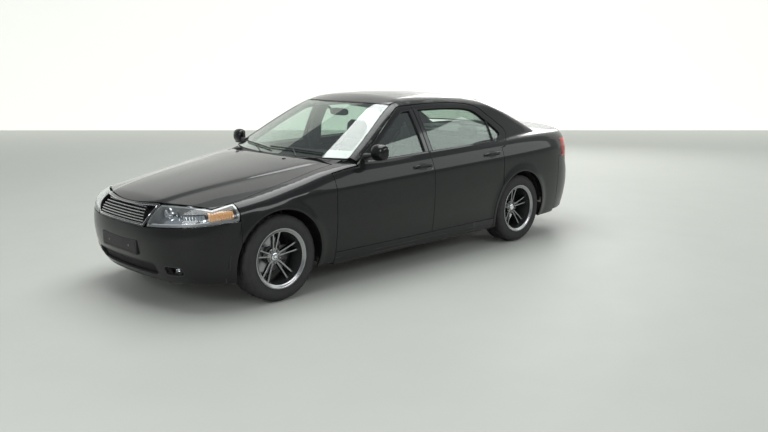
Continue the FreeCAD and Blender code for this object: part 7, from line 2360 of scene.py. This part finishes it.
for f0, wd in ((20, 17), (160, 17), (270, 15)):
    f = math.radians(f0)
    er, et = np.array([0, math.cos(f), math.sin(f)]), np.array([0, -math.sin(f), math.cos(f)])
    rg = []
    for r, w, th, dd in ((44, wd * 1.5, 9, 6), (70, wd * 1.25, 8, 5), (110, wd, 6.5, 2), (145, wd * 1.05, 6.5, 0), (168, wd * 1.3, 8, 0)):
        t = np.arange(16) * 2 * np.pi / 16
        rg.append(sw(er * r + et * (w * np.sign(np.cos(t)) * np.abs(np.cos(t)) ** .6)[:, None] + np.array([1.0, 0, 0]) * (dd + th * np.sign(np.sin(t)) * np.abs(np.sin(t)) ** .7)[:, None]))
    b.loft(rg, 3 if f0 == 270 else 1)
for s_ in (-1, 1):
    for k in range(3):
        f = math.radians(20)
        c_ = np.array([-7.5, s_ * (92 + 13 * k) * math.cos(f), (92 + 13 * k) * math.sin(f)])
        t = np.arange(20) * 2 * np.pi / 20
        b.loft([sw(c_ + np.stack([np.full(20, q), r * np.cos(t), r * np.sin(t)], 1)) for q, r in ((6, 5.2), (0, 5.2), (-1.5, 4.2))], 2 if k == 1 else 5)
q = sw(np.array([(d_, 0, 0) for d_ in (30, 60, 120, 200, 270)], float))
b.tube(q, [14, 13, 13, 12, 12], 3, 24)
b.made("steering_wheel_trim", "steering_wheel", "dash_plastic", replaces=("steering_wheel",))
b = Bag(MT["dash"], MT["trim"])
rg = []
for d_, r in ((70, 30), (74, 38), (110, 42), (160, 46), (215, 50)):
    t = np.arange(32) * 2 * np.pi / 32
    rg.append(sw(np.stack([np.full(32, float(d_)), r * np.sign(np.cos(t)) * np.abs(np.cos(t)) ** .8, r * .95 * np.sign(np.sin(t)) * np.abs(np.sin(t)) ** .8 - 4], 1)))
b.loft(rg, 0)
for s_ in (-1, 1):
    q = sw(np.array([(88, s_ * 30, 8), (82, s_ * 70, 22), (70, s_ * 118, 34), (66, s_ * 140, 38)], float))
    b.tube(q, [6, 6, 7.5, 8], 1, 14, flat=.7)
b.made("column_shroud", "body_shell", "dash_plastic")

# ---- door cards
def card(nm, pts, bodies, hx, arm_x):
    fl = np.array(fillet([tuple(v) for v in DCH.flat(lateral(np.array([p[0] for p in pts]), np.array([p[1] for p in pts])))], 34))
    panel(nm + "_card", DCH, close_dense(fl, 12), bodies, MT["dash"], "dash_plastic", h=26, t=9, edge=2.5, lift=-76, both=True)
    b = Bag(MT["cloth_side"], MT["dash"], MT["chrome"], MT["trim"], MT["seal"], MT["dash_light"])
    xs = np.linspace(arm_x[0], arm_x[1], 26)
    q = lateral(xs, 640 + 0 * xs)
    n = np.tile([0.0, -1, 0], (26, 1))
    q[:, 1] = q[:, 1] - 84
    sc2 = np.clip(np.minimum(np.arange(26), 25 - np.arange(26)) / 3.0, .25, 1) ** .5
    rg = []
    for i in range(26):
        k = sc2[i]
        rg.append([(xs[i], q[i][1] + 6, 640 - 34 * k), (xs[i], q[i][1] - 30 * k, 640 - 20 * k), (xs[i], q[i][1] - 52 * k, 640 + 6 * k), (xs[i], q[i][1] - 52 * k, 640 + 20 * k),
                   (xs[i], q[i][1] - 44 * k, 640 + 28 * k), (xs[i], q[i][1] + 6, 640 + 32 * k)])
    b.loft(rg, 1)
    # cloth insert above, pocket below, handle, window key, speaker
    xs2 = np.linspace(arm_x[0] + 10, arm_x[1] - 10, 24)
    q = lateral(xs2, 740 + 0 * xs2)
    b.sweep(q - grad(f_body, q) * 84, -grad(f_body, q), [(-52, -4), (-54, 3), (-44, 9), (44, 9), (54, 3), (52, -4)], 0)
    xs3 = np.linspace(arm_x[0] + 30, arm_x[1] - 30, 20)
    q = lateral(xs3, 400 + 0 * xs3)
    b.sweep(q - grad(f_body, q) * 82, -grad(f_body, q), [(-56, -4), (-56, 10), (-48, 34), (40, 30), (52, 22), (54, 18), (52, 14), (44, 20), (-40, 24), (-46, -2)], 1)
    c_ = lateral(hx, 790)[0] - [0, 88, 0]
    b.box(c_ + [-52, -6, -20], c_ + [52, 4, 20], 3, 6)
    b.tube([c_ + [-40, -8, 0], c_ + [-10, -16, 2], c_ + [34, -15, 3]], [7, 8, 6], 2, 14, flat=.6)
    c_ = lateral(hx - 30, 668)[0] - [0, 108, 0]
    for k in range(2):
        b.box(c_ + [-30 + 34 * k, -10, -1], c_ + [-6 + 34 * k, 10, 7], 3, 3)
    cs_ = lateral(arm_x[1] - 70, 430)[0] - [0, 92, 0]
    b.turn([(0, 0), (60, 0), (68, 3), (72, 6), (74, 14)], cs_, 3, 48)
    for r in range(8, 62, 9):
        b.turn([(r - 2, -1.2), (r, -3), (r + 2, -1.2)], cs_, 4, 40)
    pair(b, nm + "_card_fittings", bodies, "dash_plastic")


card("front_door", [(24, 338), (944, 338), (950, 860), (780, 918), (24, 930)], DOORS, 620, (90, 700))
card("rear_door", [(-874, 640), (-806, 470), (-760, 338), (-148, 338), (-148, 932), (-930, 940), (-960, 860)], RDOORS, -330, (-800, -200))

# ---- carpets, shelf, headliner, visors, mirror, pedals, belts
b = Bag(MT["carpet"], MT["seal"], MT["trim"])
for k in (-1, 1):
    b.box((-905, k * 111, 200.6), (1080, k * 690, 207), 0, 3)
    b.box((1072, k * 112, 206), (1083, k * 560, 640), 0, 4)
    for x0, x1 in ((430, 930), (-420, -60)):
        b.box((x0, k * 150, 207), (x1, k * 560, 213), 0, 3, 2)
        for j in range(14):
            b.box((x0 + 22 + j * (x1 - x0 - 60) / 13, k * 172, 212.4), (x0 + 30 + j * (x1 - x0 - 60) / 13, k * 538, 214.6), 0, 1)
    b.box((-928, k * 111, 201), (-911, k * 620, 352), 0, 4)
rg = [[(x, -115, 203), (x, -114, 300), (x, -104, 322), (x, -80, 326), (x, 80, 326), (x, 104, 322), (x, 114, 300), (x, 115, 203)] for x in (-908, 1080)]
b.loft(rg, 0)
b.made("floor_carpet", "body_shell", "trim_plastic")
b = Bag(MT["carpet"], MT["trim"])
rg = []
for x, z in ((-1146, 1032), (-1152, 1044), (-1300, 1050), (-1500, 1055), (-1650, 1060), (-1752, 1062), (-1756, 1050)):
    w = 606 if x > -1600 else 560
    rg.append([(x, -w, z - 8), (x, -w, z), (x, w, z), (x, w, z - 8)])
b.loft(rg, 0)
for k in (-1, 1):
    b.box((-1420, k * 250, 1048), (-1240, k * 470, 1062), 1, 8, 3)
    for j in range(15):
        b.box((-1408 + j * 11.5, k * 262, 1060), (-1403 + j * 11.5, k * 458, 1064.5), 1, 1)
b.made("rear_shelf", "body_shell", "trim_plastic")
x = np.linspace(214, -1066, 60)
hw = ROOF_Y(x) - 26
hx_ = np.concatenate([np.stack([x, hw], 1), np.stack([np.full(30, -1066.0), np.linspace(hw[-1], -hw[-1], 30)], 1)[1:-1], np.stack([x[::-1], -hw[::-1]], 1),
                      np.stack([214 - 0 * np.linspace(-1, 1, 30), np.linspace(-hw[0], hw[0], 30)], 1)[1:-1]])
panel("headliner", Up(f_cabin, 1100), round_corners(hx_, 40), "body_shell", MT["headliner"], "trim_plastic", h=40, t=5, edge=2, lift=-35)
b = Bag(MT["headliner"], MT["trim"], MT["clear"], MT["mirror"], MT["gloss"], MT["chrome"])
for k in (-1, 1):
    q = upward(np.linspace(60, 196, 8), np.full(8, 60.0 * k), f_cabin, 1100)
    vis = []
    for t in np.linspace(0, 1, 14):
        y = k * (70 + 330 * t)
        q = upward(np.array([190.0, 64.0]), np.full(2, y), f_cabin, 1100) + [[0, 0, -58], [0, 0, -50]]
        s = 1 if 0 < t < 1 else .7
        vis.append([q[0] + [0, 0, -7 * s], q[0] + [5, 0, 0], q[0] + [0, 0, 7 * s], q[1] + [0, 0, 7 * s], q[1] + [-4, 0, 0], q[1] + [0, 0, -7 * s]])
    b.loft(vis, 0)
    for x0 in (-180, -760):
        q = upward(np.array([x0 + 80.0, x0 + 60, x0 - 60, x0 - 80]), np.full(4, 470.0 * k), f_cabin, 1100)
        p = q + [[0, 0, -44], [0, -k * 12, -70], [0, -k * 12, -70], [0, 0, -44]]
        p = np.array([[np.interp(t, [0, .2, .8, 1], p[:, i]) for i in range(3)] for t in np.linspace(0, 1, 14)])
        b.tube(p, 8, 1, 12, flat=.7)
q = upward(150, 0, f_cabin, 1100)[0]
b.box(q + [-70, -60, -62], q + [55, 60, -42], 1, 8, 3)
b.box(q + [-55, -48, -65], q + [-12, -6, -60], 2, 3)
b.box(q + [-55, 6, -65], q + [-12, 48, -60], 2, 3)
m = np.array([245.0, 0, 1300])
qs = ahead(0, 1345, 1)[0]
b.tube([qs + [-6, 0, -2], qs + [-40, 0, -20], m + [12, 0, 6]], [12, 8, 8], 1, 16)
rg = []
for d_, s in ((14, .82), (10, .95), (0, 1.0), (-5, 1.0), (-8, .96)):
    t = np.arange(40) * 2 * np.pi / 40
    rg.append(np.stack([np.full(40, m[0] + d_) + .10 * 0, 120 * s * np.sign(np.cos(t)) * np.abs(np.cos(t)) ** .55, m[2] + 33 * s * np.sign(np.sin(t)) * np.abs(np.sin(t)) ** .7], 1))
b.loft(rg, 4)
t = np.arange(40) * 2 * np.pi / 40
b.loft([np.stack([np.full(40, m[0] + d_), 113 * s * np.sign(np.cos(t)) * np.abs(np.cos(t)) ** .55, m[2] + 27 * s * np.sign(np.sin(t)) * np.abs(np.sin(t)) ** .7], 1) for d_, s in ((-6, 1), (-8.6, 1), (-9, .98))], 3)
b.made("roof_fittings", "body_shell", "trim_plastic")
b = Bag(MT["seal"], MT["steel"], MT["trim"])
for y, w, x, z in ((300, 26, 962, 330), (395, 34, 940, 352), (470, 30, 940, 352)):
    b.tube([(x + 62, y, z + 190), (x + 40, y, z + 90), (x + 12, y, z + 12)], 6, 1, 12)
    bx_ = Bag(MT["seal"])
    bx_.box((-7, -w, -38), (7, w, 38), 0, 5)
    R_ = rot("Y", 32)
    b.put((R_ @ bx_.v[0].T).T + [x, y, z], bx_.f, 0)
    for k in range(4):
        bx_ = Bag(MT["seal"])
        bx_.box((-9.5, -w + 5, -30 + 17 * k), (-6, w - 5, -23 + 17 * k), 0, 1)
        b.put((R_ @ bx_.v[0].T).T + [x, y, z], bx_.f, 2)
b.made("pedals", "body_shell", "trim_plastic")
b = Bag(MT["webbing"], MT["trim"], MT["steel"])
for yk in (1,):
    xb_ = -78.0
    top = np.array([-100.0, 700, 1130])
    low = np.array([-118.0, 742, 300])
    pts = np.array([top + (low - top) * t + [0, 26 * math.sin(math.pi * t) * .6, 0] for t in np.linspace(0, 1, 30)])
    b.sweep(pts, np.tile([.25, -.97, 0], (30, 1)), [(-23, -.8), (-23, .8), (23, .8), (23, -.8)], 0)
    b.box(top + [-22, -8, -20], top + [22, 14, 34], 1, 6)
    b.box(low + [-30, -14, -60], low + [30, 20, 10], 1, 6)
    b.box(np.array([-118, 722, 520]), np.array([-82, 736, 560]), 1, 3)
pair(b, "front_belt", SHELL, "trim_plastic")


# ================================================================ under the bonnet and in the boot
b = Bag(MT["trim"], MT["cast"], MT["seal"], MT["steel"], MT["amber_dim"], MT["plate"], MT["gloss"], MT["chrome"])
# engine cover with ribs, cam covers, intake
b.box((1262, -168, 781), (1640, 168, 806), 0, 14, 3)
for k in range(7):
    b.box((1290, -120 + 40 * k - 5, 804), (1600, -120 + 40 * k + 5, 811), 0, 2)
b.turn([(0, 7), (22, 6.5), (25, 4), (27, -4)], (1668, -96, 790), 2, 32, 2)
b.box((1640, -210, 770), (1790, 210, 792), 1, 10, 3)
for k in range(8):
    b.turn([(0, 5), (6, 5), (7, 3), (7, -3)], (1655 + 120 * (k % 2), -190 + 54 * k, 792), 3, 6, 2)
tb = np.array([[1650, 150, 800], [1700, 230, 806], [1780, 300, 790], [1860, 350, 770], [1900, 362, 752]], float)
tb = np.array([[np.interp(t, np.linspace(0, 1, 5), tb[:, i]) for i in range(3)] for t in np.linspace(0, 1, 40)])
b.tube(tb, 30 + 2.2 * np.cos(np.arange(40) * 2.1), 2, 20)
# air box, battery, fuse box, reservoirs
b.box((1850, 300, 560), (2030, 430, 742), 0, 16, 3)
b.box((1846, 296, 684), (2034, 434, 696), 0, 4)
for k in range(5):
    b.box((1862 + 32 * k, 316, 740), (1874 + 32 * k, 414, 748), 0, 2)
b.box((1180, 466, 640), (1400, 640, 800), 0, 10, 3)
b.box((1184, 470, 798), (1396, 636, 812), 6, 4)
for x in (1215, 1365):
    b.turn([(0, 26), (9, 25), (10, 22), (11, 0)], (x, 500, 800), 3, 24, 2)
b.tube([(1215, 500, 818), (1190, 470, 826), (1150, 420, 800), (1130, 380, 700)], 8, 4, 12)
b.tube([(1365, 500, 818), (1400, 460, 820), (1440, 420, 760), (1445, 400, 660)], 7, 2, 12)
b.box((1180, -560, 690), (1320, -440, 816), 0, 10, 3)
b.box((1176, -564, 780), (1324, -436, 790), 0, 3)
b.tube([(1240, -470, 700), (1230, -420, 640), (1238, -330, 560)], 16, 2, 14)
b.turn([(0, 60), (44, 56), (52, 44), (52, -40), (0, -42)], (1180, 330, 800), 5, 36, 2)
b.turn([(0, 78), (22, 77), (26, 72), (26, 56)], (1180, 330, 800), 6, 28, 2)
b.box((1850, -470, 590), (2010, -330, 740), 5, 20, 3)
b.turn([(0, 26), (24, 25), (28, 20), (28, -2)], (1930, -400, 740), 6, 28, 2)
b.turn([(0, 20), (20, 19), (24, 14), (24, -30)], (2082, 250, 690), 7, 28, 2)
for s_ in (1, -1):
    hs = np.array([[2095, 250 * s_, 660 if s_ > 0 else 470], [2040, 230 * s_, 690 if s_ > 0 else 450], [1940, 180 * s_, 720 if s_ > 0 else 470], [1850, 120 * s_, 730 if s_ > 0 else 520]], float)
    b.tube([[np.interp(t, np.linspace(0, 1, 4), hs[:, i]) for i in range(3)] for t in np.linspace(0, 1, 24)], 19, 2, 18)
# belt drive at the front of the engine
for y, z, r in ((0, 420, 78), (-120, 560, 48), (120, 580, 44), (0, 690, 40)):
    b.turn([(0, 0), (r * .35, 1), (r * .5, 8), (r - 6, 8), (r - 3, 16), (r, 16), (r - 4, 12), (r, 8), (r - 4, 4), (r, 0)], (1851, y, z), 3, 48, 0)
b.tube([(1866, -78, 420), (1866, -168, 560), (1866, -100, 606), (1866, 0, 652), (1866, 100, 622), (1866, 164, 580), (1866, 78, 420)], 6, 2, 8, flat=.5)
for k in range(-6, 7):
    b.tube([(1240, k * 38, 340), (1236, k * 38, 760)], 7, 1, 8)
b.made("engine_dressing", "body_shell", "cast_metal")

# radiator tanks, fans
b = Bag(MT["trim"], MT["steel"], MT["seal"])
for z in (424, 672):
    b.box((2092, -380, z - 16), (2144, 380, z + 16), 0, 9, 3)
for yc in (-180, 180):
    b.turn([(150, -6), (158, -6), (160, -2), (160, 14), (154, 16), (150, 14), (150, -6)], (2080, yc, 552), 0, 60, 0)
    b.turn([(0, -22), (34, -22), (40, -14), (40, 2)], (2086, yc, 552), 0, 36, 0)
    for k in range(7):
        f = 2 * np.pi * k / 7
        er, et = np.array([0, math.cos(f), math.sin(f)]), np.array([0, -math.sin(f), math.cos(f)])
        rg = []
        for r, tw in ((36, 16), (80, 13), (120, 11), (144, 9)):
            c_ = np.array([2080.0, yc, 552]) + er * r + et * (r * .12)
            rg.append([c_ + et * -tw * 1.6 + [-tw * .5, 0, 0], c_ + [-1.5, 0, 0], c_ + et * tw * 1.6 + [tw * .5, 0, 0], c_ + et * tw * 1.6 + [tw * .5 + 2.5, 0, 0], c_ + [2, 0, 0], c_ + et * -tw * 1.6 + [-tw * .5 + 2.5, 0, 0]])
        b.loft(rg, 0)
b.made("cooling_fans", "body_shell", "trim_plastic")

# bonnet underside: stiffening ribs, latch loop, hinge arms
b = Bag(MT["inner"], MT["steel"], MT["trim"], MT["seal"])
for k in (-1, 1):
    x = np.linspace(1120, 2200, 40)
    y = k * (90 + 300 * (x - 1120) / 1080)
    q = upward(x, y, f_low)
    n = grad(f_low, q)
    b.sweep(q - n * 24, n, [(-26, 6), (-22, -8), (22, -8), (26, 6)], 0)
    q = upward(x, k * (560 - 160 * (x - 1120) / 1080), f_low)
    n = grad(f_low, q)
    b.sweep(q - n * 24, n, [(-22, 6), (-18, -7), (18, -7), (22, 6)], 0)
for x0 in (1150, 1560, 2120):
    y = np.linspace(-520, 520, 40)
    q = upward(np.full(40, float(x0)) - 60 * (y / 520) ** 2, y, f_low)
    n = grad(f_low, q)
    b.sweep(q - n * 24, n, [(-24, 6), (-20, -8), (20, -8), (24, 6)], 0)
q = upward(2250, 0, f_low)[0]
b.tube([q + [0, -16, -18], q + [2, -16, -44], q + [2, 16, -44], q + [0, 16, -18]], 4, 1, 10)
for ky in (-640, 640):
    xt = np.array([1180.0, 1140, 1100, 1060, 1030, 1006])
    zt = upward(xt, np.full(6, float(abs(ky))), f_low)[:, 2] - 20.5
    pr = [(976, 922), (979, 915), (985, 912.5), (1180, 906)] + list(zip(xt, np.maximum(zt, 912))) + [(994, 931), (985, 931), (979, 928)]
    pr = [pr[0], pr[1], pr[2], pr[3]] + pr[4:]
    b.loft([[(x, ky + o, z) for x, z in pr] for o in (-5, 5)], 1)
    b.turn([(0, 9), (5.5, 9), (6.5, 8), (6.5, 5), (0, 5), (0, 9)], (985, ky - 3, 922), 1, 24, 1)
b.made("hood_ribs", "hood", "body_paint")

# boot lid underside and boot lining
b = Bag(MT["trim"], MT["steel"], MT["carpet"], MT["seal"])
for k in (-1, 1):
    q = upward(np.linspace(-1850, -2240, 24), k * np.linspace(430, 380, 24), f_low)
    n = grad(f_low, q)
    b.sweep(q - n * 22, n, [(-26, 6), (-22, -7), (22, -7), (26, 6)], 0)
q = upward(np.full(30, -1900.0), np.linspace(-520, 520, 30), f_low)
b.sweep(q - grad(f_low, q) * 22, grad(f_low, q), [(-26, 6), (-22, -7), (22, -7), (26, 6)], 0)
q = upward(np.full(30, -2200.0), np.linspace(-520, 520, 30), f_low)
b.sweep(q - grad(f_low, q) * 22, grad(f_low, q), [(-26, 6), (-22, -7), (22, -7), (26, 6)], 0)
b.made("lid_ribs", "trunk_lid", "body_paint")
b = Bag(MT["carpet"], MT["trim"], MT["steel"], MT["seal"])
b.box((-2244, -592, 355.5), (-1690, 592, 363), 0, 3)
b.box((-2246, -560, 362), (-2236, 560, 690), 1, 4)
b.box((-2300, -420, 700), (-2240, 420, 708), 1, 3)
for k in range(-9, 10):
    b.box((-2290, k * 42 - 12, 706), (-2250, k * 42 + 12, 710.5), 3, 1.5)
b.box((-2262, -24, 690), (-2236, 24, 722), 2, 4)
b.box((-1760, -120, 362), (-1700, 120, 372), 0, 3)
b.made("boot_lining", "body_shell", "trim_plastic")
b = Bag(MT["carpet"], MT["trim"], MT["seal"])
wp = np.array([(-1694, 604), (-1740, 632), (-1800, 644), (-2000, 652), (-2160, 656), (-2220, 640), (-2250, 600), (-2260, 540), (-2262, 470)], float)
rg = []
for z, o in ((364, 0), (520, 6), (700, 10), (840, 8), (880, 0)):
    rg.append([(x, y + o, z) for x, y in wp])
for z, o in ((880, 4), (700, 14), (364, 4)):
    rg.append([(x - (4 if x < -2240 else 0), y + o, z) for x, y in wp])
b.loft(rg, 0, caps=(False, False), closed=False)
for k in range(4):
    z = 460 + 90 * k
    b.tube([(x + 1, y + 5, z) for x, y in wp[2:-3]], 3, 1, 6)
pair(b, "boot_side_lining", SHELL, "trim_plastic")
b = Bag(MT["trim"])
zs = np.linspace(206, 344, 10)
ye = lateral(np.full(10, 2022.0), zs, f_low)[:, 1] - 8
rg = [[(2018, 560, z), (2018, y, z), (2023, y, z), (2023, 560, z)] for z, y in zip(zs, ye)]
b.loft(rg, 0)
for k in range(5):
    b.tube([(2017, 590 + 52 * k, 212), (2017, 590 + 52 * k, 336)], 4, 0, 6)
ye = lateral(np.full(10, -1674.0), zs, f_low)[:, 1] - 8
b.loft([[(-1671, 560, z), (-1671, y, z), (-1676, y, z), (-1676, 560, z)] for z, y in zip(zs, ye)], 0)
pair(b, "arch_end_shield", SHELL, "trim_plastic")

# underside: plastic shields, brake and fuel lines, heat shields, sill seams
b = Bag(MT["trim"], MT["steel"], MT["steel_black"], MT["seal"], MT["cast"])
for k in (-1, 1):
    b.tube([(1000, k * 610, 176), (400, k * 612, 174), (-500, k * 610, 174), (-900, k * 604, 176)], 4.5, 1, 8)
    b.tube([(1000, k * 592, 176), (400, k * 594, 174), (-500, k * 592, 174), (-900, k * 586, 176)], 3.2, 2, 8)
    for x in np.linspace(-840, 960, 10):
        b.box((x - 8, k * 580, 171), (x + 8, k * 618, 180), 0, 2)
    for x in (-620, -200, 220, 640):
        b.box((x - 150, k * 260, 172), (x + 150, k * 540, 180), 2, 4)
        for j in (-1, 1):
            b.box((x - 140, k * (400 + 60 * j) - 8, 169.5), (x + 140, k * (400 + 60 * j) + 8, 173), 2, 2)
b.box((1910, -440, 196), (2180, 440, 202), 0, 3)
for k in range(-4, 5):
    b.box((1930, k * 110 - 20, 193.5), (2270, k * 110 + 20, 197), 0, 2)
b.made("underside_dressing", "body_shell", "trim_plastic")

# hinge pins and front door latches seen with the doors open
b = Bag(MT["steel"], MT["seal"], MT["trim"])
for ax, ay in ((994.0, 895.389), (-112.0, 899.822)):
    for z in (500, 720):
        b.turn([(0, 21), (5, 21), (6, 19.5), (6, -19.5), (5, -21), (0, -21)], (ax, ay - .0, z), 0, 20, 2)
pair(b, "hinge_pins", SHELL, "steel")
b = Bag(MT["steel"], MT["seal"])
for x, z in ((-30, 660),):
    b.box((x - 3, 800, z - 40), (x + 3, 846, z + 40), 0, 4)
    b.box((x - 8, 812, z - 8), (x - 2, 836, z + 8), 1, 2)
pair(b, "front_latch", DOORS, "steel")
